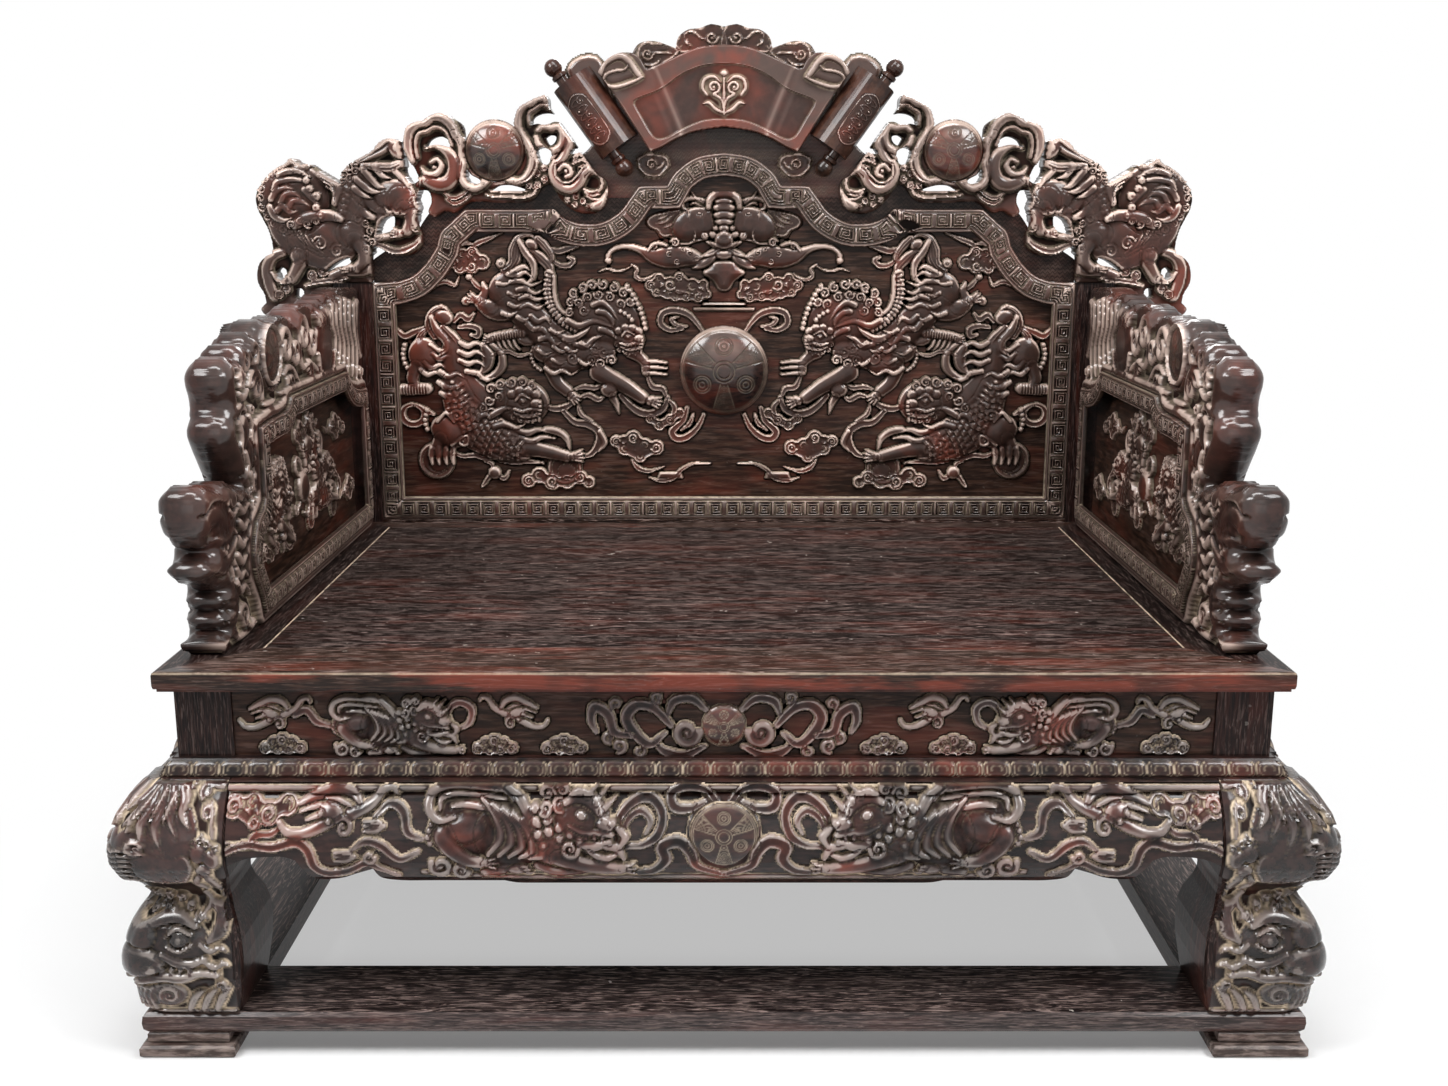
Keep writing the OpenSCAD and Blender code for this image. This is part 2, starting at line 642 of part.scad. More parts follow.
module crest_cloud() {
    color(dark_wood) difference() {
        slab_y(crest_face, crest_face + crest_t) polygon(on_back(outline(cloud_runs)));
        for (h = cloud_holes)
            slab_y(crest_face - 1, crest_face + crest_t + 1) polygon(on_back(outline([h])));
        translate([crest_boss_xz.x, crest_face - 1, crest_boss_xz.y]) rotate([-90, 0, 0])
            cylinder(r = crest_boss_r + fit_gap, h = crest_t + 2, $fn = 96);
        crest_board_shape(fit_gap);
    }
}
crest_boss_set = 3;
crest_boss_rim = 7;
module crest_boss() {
    color(worn_wood) difference() {
        translate([crest_boss_xz.x, crest_face + crest_t / 2, crest_boss_xz.y])
            two_sided_boss(crest_boss_r, crest_boss_rim, crest_t / 2 - crest_boss_set);
        crest_board_shape(fit_gap);
    }
}

lion_runs = [
    [[631.3, 344], [631.3, 394.3]],
    [[631.3, 394.3], [568, 394.3]],
    [[568, 394.3], [567, 410], [566, 436], [560, 452], [548, 448], [532, 440], [512, 437], [497, 441],
        [485, 453]],
    [[485, 453], [484.5, 468], [489, 482], [490, 498], [486, 512], [489, 526], [484, 540]],
    [[484, 540], [484, 556]],
    [[484, 556], [493, 550], [501, 554], [506, 568], [507, 584], [509, 600], [512, 617]],
    [[512, 617], [531, 619], [546, 612], [556, 600], [573, 591], [592, 581], [604, 569], [609, 551]],
    [[609, 551], [620, 557], [637, 567], [648, 575], [658, 580]],
    [[658, 580], [672, 581], [685, 589], [694, 581], [714, 570], [732, 554], [745, 534], [744, 510],
        [732, 485], [725, 462], [723, 441]],
    [[723, 441], [740, 433], [750, 418], [751, 394], [742, 376], [740, 362]],
    [[740, 362], [749, 352], [740, 341], [716, 334], [692, 339], [662, 336], [631.3, 344]]];
lion_holes = [
    [[720, 403], [713, 398], [706, 403], [704, 413], [712, 419], [720, 413], [720, 403]],
    [[692, 372], [685, 368], [678, 373], [680, 384], [690, 385], [692, 372]],
    [[645, 408], [636, 417], [618, 429], [600, 434], [603, 423], [622, 419], [645, 408]],
    [[555, 470], [550, 487], [540, 497], [527, 499], [527, 484], [533, 476], [555, 470]]];
module crest_lion() {
    color(worn_wood) difference() {
        slab_y(crest_face, crest_face + crest_t) polygon(on_back(outline(lion_runs)));
        for (h = lion_holes)
            slab_y(crest_face - 1, crest_face + crest_t + 1) polygon(on_back(outline([h])));
        crest_board_shape(fit_gap);
    }
}

// The open scroll over the middle, with a rolled end on a rod at each side
scroll_runs = [
    [[0, 760], [42, 755], [97, 732], [121, 723]],
    [[121, 723], [132, 741], [147, 748], [168, 745], [186, 733], [196, 718]],
    [[196, 718], [183, 702], [150, 652], [116, 599]],
    [[116, 599], [98, 606], [76, 618], [45, 630], [0, 637]]];
module crest_scroll() {
    half = on_back(outline(scroll_runs));
    other = [for (i = [len(half) - 1 : -1 : 1]) [-half[i].x, half[i].y]];
    color(dark_wood) slab_y(panel_face - scroll_t, panel_face)
        polygon(concat(half, [[0, back_z(run_end(scroll_runs).y)]], other));
}
roller_foot = on_back([[175.5, 598.5]])[0];
roller_tilt = 35.7;
// The rolled end: share of roller_w across, share of roller_t out from the crest board
roller_section = [
    [[-0.27, 0], [-0.32, 0.4]],
    [[-0.32, 0.4], [-0.22, 0.8], [0.06, 1], [0.36, 0.93], [0.6, 0.72], [0.73, 0.44]],
    [[0.73, 0.44], [0.73, 0]],
    [[0.73, 0], [-0.27, 0]]];
rod_out = 0.48;
collar_r = rod_r + 3;
neck_r = rod_r - 1;
knob_l = 44;
module scroll_roller() {
    knob = [[0, 0], [rod_r, 0], [rod_r, 10], [collar_r, 12], [collar_r, 17], [neck_r, 20], [neck_r, 24],
        for (a = [-50 : 20 : 90]) [knob_r * cos(a), knob_l - knob_r + knob_r * sin(a)]];
    color(worn_wood) translate([roller_foot.x, panel_face, roller_foot.y]) rotate([0, -roller_tilt, 0]) {
        linear_extrude(roller_l)
            polygon([for (q = outline(roller_section)) [q.x * roller_w, -q.y * roller_t]]);
        translate([0, -roller_t * rod_out, roller_l - eps]) rotate_extrude() polygon(knob);
        translate([0, -roller_t * rod_out, eps]) mirror([0, 0, 1]) rotate_extrude() polygon(knob);
    }
}

// Arm screens
arm_runs = [
    [[0, 0], [768, 0]],
    [[768, 0], [777, 7], [777, 17], [768, 23], [757, 26]],
    [[757, 26], [765, 32], [766, 42], [754, 50]],
    [[754, 50], [764, 57], [763, 67], [752, 73]],
    [[752, 73], [776, 86], [802, 95], [816, 106], [813, 117], [804, 121]],
    [[804, 121], [790, 122], [784, 128], [792, 133], [803, 136]],
    [[803, 136], [816, 152], [823, 170], [822, 190]],
    [[822, 190], [816, 202], [796, 207], [770, 202], [750, 196]],
    [[750, 196], [735, 200], [712, 197], [690, 189], [667, 184]],
    [[667, 184], [684, 205], [700, 224], [713, 244], [712, 262], [702, 273]],
    [[702, 273], [698, 286], [706, 302], [708, 320], [698, 334], [676, 341], [652, 336]],
    [[652, 336], [646, 348], [630, 352], [608, 349]],
    [[608, 349], [600, 358], [584, 363], [566, 354]],
    [[566, 354], [552, 366], [540, 372], [524, 374], [508, 372], [494, 364]],
    [[494, 364], [474, 369], [450, 373], [420, 371], [394, 362]],
    [[394, 362], [376, 374], [345, 381], [312, 380], [287, 372]],
    [[287, 372], [276, 377], [262, 378], [253, 375]],
    [[253, 375], [243, 381], [230, 382], [220, 379]],
    [[220, 379], [208, 386], [190, 387], [174, 384]],
    [[174, 384], [150, 390], [110, 392], [60, 390], [0, 386]],
    [[0, 386], [0, 0]]];
arm_fret_runs = [
    [[300, 14], [40, 14]],
    [[40, 14], [40, 230]],
    [[40, 230], [84, 232], [122, 240], [146, 255], [158, 268]],
    [[158, 268], [466, 268]],
    [[466, 268], [480, 256], [505, 251], [560, 250], [610, 246]],
    [[610, 246], [612, 158]],
    [[612, 158], [622, 146], [645, 136], [660, 120]],
    [[660, 120], [670, 96], [666, 70], [646, 40], [636, 14]],
    [[636, 14], [300, 14]]];
arm_groove_t = arm_panel_t / 2;
arm_groove_deep = 7;
arm_boss_at = on_arm([[524, 329]])[0];
arm_frame = on_arm(outline(arm_fret_runs));
function arm_loop(d) = moved_in([for (q = arm_frame) [-q.x, q.y]], d);
function unturned(p) = [for (q = p) [-q.x, q.y]];
arm_window = unturned(arm_loop(arm_fret_w / 2));
arm_window_low = unturned(arm_loop(arm_fret_w / 2 - arm_groove_deep));
arm_sight = unturned(arm_loop(arm_fret_w));
arm_outer_x = half_w - arm_in;
arm_inner_x = arm_outer_x - arm_t;
module arm_board() {
    color(dark_wood) difference() {
        slab_x(-arm_outer_x, -arm_inner_x) polygon(on_arm(outline(arm_runs)));
        slab_x(-arm_outer_x - 1, -arm_inner_x + 1) polygon(arm_window);
        slab_x(-arm_mid - arm_groove_t / 2 - fit_gap, -arm_mid + arm_groove_t / 2 + fit_gap)
            polygon(arm_window_low);
        translate([-arm_outer_x - 1, arm_boss_at.x, arm_boss_at.y]) rotate([0, 90, 0])
            cylinder(r = arm_boss_r + fit_gap, h = arm_t + 2, $fn = 96);
        dovetail_keys_at(fit_gap);
    }
}
module arm_panel() {
    color(brown_wood) {
        slab_x(-arm_mid - arm_panel_t / 2, -arm_mid + arm_panel_t / 2)
            polygon(unturned(arm_loop(arm_fret_w / 2 + fit_gap)));
        slab_x(-arm_mid - arm_groove_t / 2, -arm_mid + arm_groove_t / 2)
            polygon(unturned(arm_loop(arm_fret_w / 2 - arm_groove_deep + fit_gap)));
    }
}
module arm_fret() {
    color(dark_wood) difference() {
        slab_x(-arm_inner_x, -arm_inner_x + arm_fret_t) polygon(arm_frame);
        slab_x(-arm_inner_x - 1, -arm_inner_x + arm_fret_t + 1) polygon(arm_sight);
    }
}
arm_boss_dome = 5;
arm_boss_set = 2;
module arm_boss() {
    rim = arm_t / 2 - arm_boss_set;
    color(worn_wood) translate([-arm_mid, arm_boss_at.x, arm_boss_at.y]) rotate([0, 0, 90])
        two_sided_boss(arm_boss_r, rim, rim + arm_boss_dome);
}

module swapped() {
    mirror([1, -1, 0]) children();
}
module to_back() {
    mirror([0, 1, 0]) children();
}
module to_right() {
    mirror([1, 0, 0]) children();
}
// From the front to the right side
module across() {
    to_right() swapped() children();
}
module rail_colour() {
    color(worn_wood) children();
}
module mortised_rail() {
    color(dark_wood) difference() {
        children();
        dovetail_keys_at(fit_gap);
        for (i = [1 : batten_count]) batten_tenons(i, fit_gap);
    }
}

foot();  // foot_front_left
to_right() foot();  // foot_front_right
to_back() foot();  // foot_back_left
to_right() to_back() foot();  // foot_back_right
rail_colour() floor_rail(half_w, half_d);  // floor_rail_front
rail_colour() to_back() floor_rail(half_w, half_d);  // floor_rail_back
rail_colour() swapped() floor_rail(half_d, half_w);  // floor_rail_left
rail_colour() across() floor_rail(half_d, half_w);  // floor_rail_right
leg();  // leg_front_left
to_right() leg();  // leg_front_right
to_back() leg();  // leg_back_left
to_right() to_back() leg();  // leg_back_right
apron(half_w, half_d);  // apron_front
to_back() apron(half_w, half_d);  // apron_back
swapped() apron(half_d, half_w);  // apron_left
across() apron(half_d, half_w);  // apron_right
petal_moulding(half_w, half_d);  // petal_moulding_front
to_back() petal_moulding(half_w, half_d);  // petal_moulding_back
swapped() petal_moulding(half_d, half_w);  // petal_moulding_left
across() petal_moulding(half_d, half_w);  // petal_moulding_right
waist_panel(half_w, half_d);  // waist_panel_front
to_back() waist_panel(half_w, half_d);  // waist_panel_back
swapped() waist_panel(half_d, half_w);  // waist_panel_left
across() waist_panel(half_d, half_w);  // waist_panel_right
mortised_rail() seat_rail(half_w, half_d);  // seat_rail_front
mortised_rail() to_back() seat_rail(half_w, half_d);  // seat_rail_back
mortised_rail() swapped() seat_rail(half_d, half_w);  // seat_rail_left
mortised_rail() across() seat_rail(half_d, half_w);  // seat_rail_right
seat_panel();
seat_battens();
back_post();  // back_post_left
to_right() back_post();  // back_post_right
back_bottom_rail();
back_panel();
back_fret_bottom();
back_fret_side();  // back_fret_left
to_right() back_fret_side();  // back_fret_right
back_fret_top();
back_boss();
crest_board();
crest_scroll();
scroll_roller();  // scroll_roller_left
to_right() scroll_roller();  // scroll_roller_right
crest_cloud();  // crest_cloud_left
to_right() crest_cloud();  // crest_cloud_right
crest_boss();  // crest_boss_left
to_right() crest_boss();  // crest_boss_right
crest_lion();  // crest_lion_left
to_right() crest_lion();  // crest_lion_right
arm_board();  // arm_board_left
to_right() arm_board();  // arm_board_right
arm_panel();  // arm_panel_left
to_right() arm_panel();  // arm_panel_right
arm_fret();  // arm_fret_left
to_right() arm_fret();  // arm_fret_right
arm_boss();  // arm_boss_left
to_right() arm_boss();  // arm_boss_right
color(brown_wood) dovetail_keys_at(0);  // dovetail_keys
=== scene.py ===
# %% [markdown]
# # A carved throne, dressed over its frame
# The real object is a wide, low throne of dark, close-grained wood, made the East Asian way: rails and
# posts that tongue, dovetail and mitre together, with almost every outer face carved in deep relief. The
# frame file holds the plain solids. This lesson adds what the carver and long use did to them: lions,
# clouds, a bat, key patterns, polish on the high places and pale dust in the low ones.

# %% Loading the frame
import math

import bmesh
import bpy
import numpy as np
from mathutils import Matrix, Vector
from mathutils.bvhtree import BVHTree


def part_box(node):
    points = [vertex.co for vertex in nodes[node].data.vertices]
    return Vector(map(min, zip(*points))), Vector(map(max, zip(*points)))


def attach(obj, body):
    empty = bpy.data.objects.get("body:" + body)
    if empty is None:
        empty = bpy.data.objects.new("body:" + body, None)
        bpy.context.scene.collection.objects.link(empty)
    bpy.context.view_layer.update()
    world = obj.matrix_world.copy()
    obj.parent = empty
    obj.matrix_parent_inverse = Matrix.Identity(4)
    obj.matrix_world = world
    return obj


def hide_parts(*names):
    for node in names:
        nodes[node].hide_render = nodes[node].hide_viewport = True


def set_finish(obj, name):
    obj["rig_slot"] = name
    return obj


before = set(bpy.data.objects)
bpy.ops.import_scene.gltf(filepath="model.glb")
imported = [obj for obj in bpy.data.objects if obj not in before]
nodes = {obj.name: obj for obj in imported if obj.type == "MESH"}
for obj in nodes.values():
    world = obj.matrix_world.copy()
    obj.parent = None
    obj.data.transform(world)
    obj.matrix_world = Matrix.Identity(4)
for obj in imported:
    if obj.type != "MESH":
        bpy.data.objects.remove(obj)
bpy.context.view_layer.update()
MM = 0.001

# %% [markdown]
# ## Where the viewer stands
# The throne is seen from straight ahead, from a little above its seat, so its sides converge and the seat
# is looked down on. A camera has a place, a tilt and a lens. These were settled first, because every carved
# figure is judged through them. The 38 mm lens on a 36 mm sensor is the moderate wide angle that makes the
# near legs look wider apart than the back.

# %% Camera
scene = bpy.context.scene
camera_data = bpy.data.cameras.new("camera")
camera = bpy.data.objects.new("camera", camera_data)
scene.collection.objects.link(camera)
camera_data.lens = 38.02
camera_data.sensor_width = 36
camera.location = (0, -2.1091, 0.980)
camera.rotation_euler = (math.radians(77.51), 0, 0)
scene.camera = camera
scene.view_settings.view_transform = "Standard"

# %% [markdown]
# ## Shader sums as plain expressions
# A Blender material is a graph of nodes. Written node by node, even `1 - mask` takes four lines. So a small
# class wraps a node's output socket and turns Python's operators into Math nodes, and one method makes any
# other node from its type, settings and inputs.

# %% Sockets and finishes
class Socket:
    def __init__(self, finish, output):
        self.finish, self.output = finish, output

    def maths(self, operation, *others):
        return self.finish.node("ShaderNodeMath", {"operation": operation}, [self, *others])

    def __add__(self, other):
        return self.maths("ADD", other)

    def __mul__(self, other):
        return self.maths("MULTIPLY", other)

    def __sub__(self, other):
        return self.maths("SUBTRACT", other)

    def __rsub__(self, other):
        return self.finish.node("ShaderNodeMath", {"operation": "SUBTRACT"}, [other, self])

    __radd__ = __add__
    __rmul__ = __mul__

    def held(self):
        return self.finish.node("ShaderNodeClamp", {}, [self])

    def step(self, low, high, ends=(0.0, 1.0)):
        """Rises smoothly from ends[0] to ends[1] while this value goes from low to high"""
        smooth = {"interpolation_type": "SMOOTHSTEP"}
        return self.finish.node("ShaderNodeMapRange", smooth, [self, low, high, *ends])


class Finish:
    def __init__(self, name):
        self.material = bpy.data.materials.new(name)
        self.material.use_nodes = True
        self.tree = self.material.node_tree
        self.shader = self.tree.nodes["Principled BSDF"]

    def node(self, kind, settings, inputs, output=0):
        """Makes one node: settings first, then a value or a link for each input, by place or by name"""
        made = self.tree.nodes.new(kind)
        for name, value in settings.items():
            setattr(made, name, value)
        for where, value in inputs.items() if isinstance(inputs, dict) else enumerate(inputs):
            if isinstance(value, Socket):
                self.tree.links.new(value.output, made.inputs[where])
            elif value is not None:
                made.inputs[where].default_value = value
        return Socket(self, made.outputs[output])

    def mix(self, factor, a, b):
        """Mixes two colours, each a socket or a value"""
        a, b = (colour if isinstance(colour, Socket) else (*colour, 1) for colour in (a, b))
        return self.node("ShaderNodeMix", {"data_type": "RGBA"}, {0: factor, 6: a, 7: b}, 2)

    def noise(self, where, scale, detail=3.0, roughness=0.55, distortion=0.0):
        return self.node("ShaderNodeTexNoise", {}, {
            "Vector": where, "Scale": scale, "Detail": detail, "Roughness": roughness,
            "Distortion": distortion})

    def drawn_out(self, where, stretch):
        """The same coordinates, scaled by stretch, so that a pattern is drawn out along the smallest one"""
        return self.node("ShaderNodeMapping", {}, {"Vector": where, "Scale": stretch})

    def feed(self, **inputs):
        for name, value in inputs.items():
            socket = self.shader.inputs[name.replace("_", " ")]
            if isinstance(value, Socket):
                self.tree.links.new(value.output, socket)
            else:
                socket.default_value = value


class Surroundings(Finish):
    """The world's nodes, made with the same method as a finish's"""

    def __init__(self, name):
        self.world = bpy.data.worlds.new(name)
        self.world.use_nodes = True
        self.tree = self.world.node_tree


# %% [markdown]
# ## The wood
# It is a near-black lacquer over red wood. Where hands and dusters rub, the lacquer wears through to a warm
# red brown and shines; in the hollows lies pale dust and old wax. One recipe serves every piece, with the
# grain's direction and the share of red as its choices. The carved pieces carry three measured values on
# each vertex: `dust`, a measure of wear and highlight, and `deep`, which say how narrow a groove, how sharp
# a ridge or how high on the upper side of a form, and how deep a hollow that point lies on. Ridges wear
# pale, and upper sides get the same pale as a painted highlight; hollows are darkened as painted shade. A
# piece without them reads zero, and is marked by its grain alone: contour lines of a noise that is drawn
# out along one axis look like the figure of a sawn board. Wax also lies in the joints between members.

# %% Colours of the wood
# The lacquer's darker and lighter tone, for each kind of member
DARK = ((0.0085, 0.0060, 0.0058), (0.031, 0.0150, 0.0125))
BROWN = ((0.0150, 0.0085, 0.0062), (0.050, 0.0250, 0.0165))
SHADED = ((0.0045, 0.0032, 0.0030), (0.0150, 0.0090, 0.0080))
RAIL = ((0.0220, 0.0150, 0.0140), (0.085, 0.0580, 0.0520))
DULL = ((0.0620, 0.0450, 0.0390), (0.240, 0.1850, 0.1620))
CHASED = ((0.020, 0.0125, 0.0100), (0.062, 0.040, 0.032))
SCREEN_WARM = (0.060, 0.032, 0.024)
# What shows where it is rubbed: through to the wood, then polished pale. The pale also stands as a painted
# highlight on ridges and upper sides. LOW is below the seat
WORN_RED = (0.165, 0.036, 0.021)
WORN_BROWN = (0.120, 0.072, 0.057)
PALE_WEAR_AND_HIGHLIGHT = (0.60, 0.455, 0.385)
LOW_BROWN = (0.088, 0.068, 0.063)
LOW_PALE_WEAR_AND_HIGHLIGHT = (0.52, 0.450, 0.405)
# Dust, the lines of the grain's figure, and the painted shade at the bottom of a cut and of a hollow
DUST = (0.62, 0.50, 0.37)
SPECK = (0.55, 0.50, 0.45)
FIGURE_DARK = (0.004, 0.003, 0.003)
FIGURE_PALE = (0.36, 0.265, 0.235)
CUT_SHADE = (0.005, 0.0035, 0.003)
HOLLOW_SHADE = (0.0018, 0.0012, 0.0011)
print("lacquer:", DARK, "worn through to:", WORN_RED)

# %% [markdown]
# The recipe reads three heights of the real throne: screens stand above the seat and are warmer, more worn
# and more strongly lit by a painted highlight than what is below it. The joints are thin pale lines at a
# known place, the seat edge's top arris gets a pale line the same way as a painted highlight, and a top
# face may get more figure than the sides of the same rail.

# %% Wood finishes
SEAT_LEVEL = (0.435, 0.455)
DUST_LEVEL = (0.42, 0.62)
EDGE_TOP = 0.4615
MITRE_X = 0.550
POST_JOINT_X = 0.552
# The seat edge's top arris gets a thin pale line here, a painted highlight
EDGE_HIGHLIGHT_Z = 0.4602
FIGURE_LINES = 48.0


def wood(name, stretch, red=0.35, gloss=0.27, figure=0.0, relief=0.25, joints=(), sheen=0.2, tones=DARK,
         face_top=None, rub=0.22, warm=0.0, chased=False):
    """Lacquered wood, its grain along the axis that stretch makes smallest. Pale joint lines, and a painted
    highlight line, are (axis, place) in m
    """
    made = Finish(name)
    place = made.node("ShaderNodeTexCoord", {}, [], "Object")
    grain_place = made.drawn_out(place, stretch)
    grain = made.noise(grain_place, 1.0, 4.0, 0.55, 0.6)
    fine = made.noise(grain_place, 4.5, 3.0, 0.6)
    patches = made.noise(made.drawn_out(place, [max(3.0, s * 0.30) for s in stretch]), 1.0, 4.0, 0.62, 0.5)
    broad = made.noise(place, 9.0, 2.0, 0.5)
    small = made.noise(place, 75.0, 2.0, 0.6)
    dust, wear_and_highlight, deep = (made.node("ShaderNodeAttribute", {"attribute_name": measure}, [], "Fac")
                        for measure in ("dust", "wear_and_highlight", "deep"))

    shows = patches.step(0.45, 0.60) * broad.step(0.38, 0.58, (0.25, 1.0))
    shows = shows * grain.step(0.36, 0.60, (0.35, 1.0))
    body = made.mix(fine.step(0.38, 0.66), *tones)
    height = made.node("ShaderNodeSeparateXYZ", {}, [place], "Z")
    above = height.step(*SEAT_LEVEL)
    body = made.mix(above * warm, body, SCREEN_WARM)
    if face_top:
        red = height.step(face_top - 0.0012, face_top, (red, red * 0.3))
        figure = height.step(face_top - 0.0012, face_top, (figure * 0.2, figure))
    rubbed = wear_and_highlight * broad.step(0.36, 0.56) * (1.0 - above) * rub
    browned = made.mix(above, LOW_BROWN, WORN_BROWN)
    # Rubbed places go brown and red by the measured wear, which also holds the upper sides of forms, a
    # painted highlight
    body = made.mix(wear_and_highlight.step(0.12, 0.65) * (above * 0.40 + 0.15), body, browned)
    body = made.mix((shows * red * (wear_and_highlight * 1.3 + 0.45) + rubbed).held(), body, WORN_RED)
    contours = (grain * FIGURE_LINES).maths("SINE")
    hairs = contours.step(0.40, 0.95) * fine.step(0.38, 0.60) * figure
    body = made.mix(contours.step(-0.3, -0.95) * figure, body, FIGURE_DARK)
    body = made.mix(hairs, body, FIGURE_PALE)
    cuts = 0.0
    if chased:
        # Zigzag rows cut with a small chisel, 8 mm from point to point and 6.5 mm apart
        along_x = made.node("ShaderNodeSeparateXYZ", {}, [place], "X").maths("ABSOLUTE")
        wave = ((along_x * 125.0).maths("FRACT") - 0.5).maths("ABSOLUTE") * 0.0088
        cuts = (((height + wave) * 154.0).maths("FRACT") - 0.5).maths("ABSOLUTE")
        cuts = cuts.step(0.06, 0.20, (1.0, 0.0))
        # The cuts are mixed towards near-black, a painted shade in them
        body = made.mix(cuts * 0.8, body, CUT_SHADE)
    specks = small.step(0.735, 0.76) * figure
    body = made.mix(specks, body, SPECK)
    # Pale on the sharpest ridges and upper sides: partly polish, partly a painted highlight, stronger above
    # the seat
    pale = wear_and_highlight.step(0.44, 0.92) * patches.step(0.34, 0.60, (0.30, 0.95)) * (above * 0.5 + 0.5)
    body = made.mix(pale, body, made.mix(above, LOW_PALE_WEAR_AND_HIGHLIGHT, PALE_WEAR_AND_HIGHLIGHT))
    # Painted shade: hollows and the ground at the foot of each figure are mixed towards near-black
    body = made.mix(deep.held() * 0.95, body, HOLLOW_SHADE)
    dust_and_edge_highlight = (dust * small.step(0.28, 0.66, (0.4, 1.1)) * height.step(*DUST_LEVEL, (1.0, 0.35))).held()
    if joints:
        along_x = made.node("ShaderNodeSeparateXYZ", {}, [place], "X").maths("ABSOLUTE")
        across = {"x": along_x, "z": height}
        for axis, where in joints:
            line = (across[axis] - where).maths("ABSOLUTE").step(0.0006, 0.0014, (1.0, 0.0))
            # A joint across x is wax and dust; the line along z on the seat edge is a painted highlight, kept
            # fainter
            palest = 0.95 if axis == "x" else 0.45
            dust_and_edge_highlight = dust_and_edge_highlight.maths("MAXIMUM", line * small.step(0.3, 0.62, (0.25, palest)))
    bumps = grain * 0.5 + fine * 0.5 + small * 0.3 + hairs * 0.4 + cuts * -1.5
    bump = made.node("ShaderNodeBump", {}, {"Strength": relief, "Distance": 0.0011, "Height": bumps})
    made.feed(
        Base_Color=made.mix(dust_and_edge_highlight, body, DUST),
        Roughness=(dust_and_edge_highlight * 0.4 + fine * 0.16 + hairs * 0.12 + deep * 0.3 + gloss - wear_and_highlight * 0.06).held(),
        Coat_Weight=(wear_and_highlight * 0.9 + sheen - deep * 1.4 - dust_and_edge_highlight).held(),
        Normal=bump, IOR=1.45, Specular_IOR_Level=0.05, Coat_Roughness=0.17)
    return made.material


carved_dark = wood("carved_dark", (16, 16, 16), red=0.9, sheen=0.35, warm=0.45)
carved_fret = wood("carved_fret", (16, 16, 16), red=0.3, sheen=0.5, warm=0.2)
carved_arm = wood("carved_arm", (16, 16, 16), red=0.5, sheen=0.7, warm=0.15)
carved_red = wood("carved_red", (12, 40, 40), red=1.1, sheen=0.7)
carved_leg = wood("carved_leg", (16, 16, 16), red=0.35, sheen=1.0, gloss=0.22, rub=0.06)
rail_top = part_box("floor_rail_front")[1].z - 0.0005
finishes = {
    "stretcher": wood("stretcher_wood", (9, 110, 110), red=0.5, figure=0.9, tones=RAIL, face_top=rail_top,
                      sheen=0.5),
    "side_stretcher": wood("side_stretcher_wood", (110, 9, 110), red=0.5, figure=0.9, tones=RAIL,
                           face_top=rail_top),
    "along": wood("rail_wood", (9, 120, 120), red=0.4, figure=0.85, tones=BROWN),
    "across": wood("side_rail_wood", (120, 9, 120), red=0.3, figure=0.25, joints=[("x", MITRE_X)],
                   sheen=0.05, tones=SHADED),
    "upright": wood("post_wood", (120, 120, 9), red=0.5, figure=0.15, joints=[("x", POST_JOINT_X)]),
    "seat": wood("seat_wood", (8, 125, 125), red=0.6, figure=0.6, relief=0.4, sheen=0.05, tones=SHADED,
                 joints=[("x", MITRE_X)]),
    "edge": wood("seat_edge_wood", (8, 110, 110), red=4.5, figure=0.5, joints=[("z", EDGE_HIGHLIGHT_Z)],
                 tones=BROWN, face_top=EDGE_TOP, sheen=0.4),
    "foot": wood("foot_wood", (9, 40, 40), red=0.3, figure=0.05, tones=DULL),
    "smooth": wood("smooth_wood", (9, 30, 30), red=0.25, gloss=0.22, sheen=0.6),
    "chased": wood("chased_wood", (14, 30, 30), red=0.5, tones=CHASED, chased=True),
    "rod": wood("rod_wood", (14, 14, 14), red=0.5, tones=BROWN, sheen=0.5),
    "ground": wood("ground_wood", (5, 30, 45), red=0.8, gloss=0.33, figure=0.06, tones=BROWN),
    "ground_side": wood("side_ground_wood", (30, 5, 45), red=0.8, gloss=0.33, figure=0.06, tones=BROWN),
}
print("finishes:", [m.name for m in bpy.data.materials])

# %% [markdown]
# ## Floor, background and light
# The picture is a studio one: a white ground that the throne's soft shadow fades into. The floor and the
# world are white only to camera and mirror rays, so they look white but don't flood the underside with
# light. Near the throne the floor is a pale surface that takes the shadow, but part of plain white is mixed
# into it there too, an eighth in front and half under and behind the seat: a painted light that lifts the
# shadow. Further out it turns into plain white light. Two lamps high at the sides and a long one overhead
# pick out the upper rims of the carving, as a studio's do.

# %% Stage and lamps
def white_backdrop():
    studio = Surroundings("studio")
    scene.world = studio.world
    by_camera, by_mirror, through = (studio.node("ShaderNodeLightPath", {}, [], ray) for ray in (
        "Is Camera Ray", "Is Glossy Ray", "Is Transmission Ray"))
    seen = by_camera.maths("MAXIMUM", by_mirror.maths("MAXIMUM", through))
    lighting = studio.node("ShaderNodeBackground", {}, {"Color": (0.92, 0.95, 1.0, 1), "Strength": 0.09})
    showing = studio.node("ShaderNodeBackground", {}, {"Color": (1, 1, 1, 1), "Strength": 1.0})
    choice = studio.node("ShaderNodeMixShader", {}, [seen, lighting, showing])
    studio.tree.links.new(choice.output, studio.tree.nodes["World Output"].inputs[0])


def lamp(name, place, aim, size, watts):
    data = bpy.data.lights.new(name, "AREA")
    data.shape, data.size, data.size_y = "RECTANGLE", size[0], size[1]
    data.energy = watts
    made = bpy.data.objects.new(name, data)
    made.location = place
    made.rotation_euler = (Vector(aim) - Vector(place)).to_track_quat("-Z", "Y").to_euler()
    scene.collection.objects.link(made)


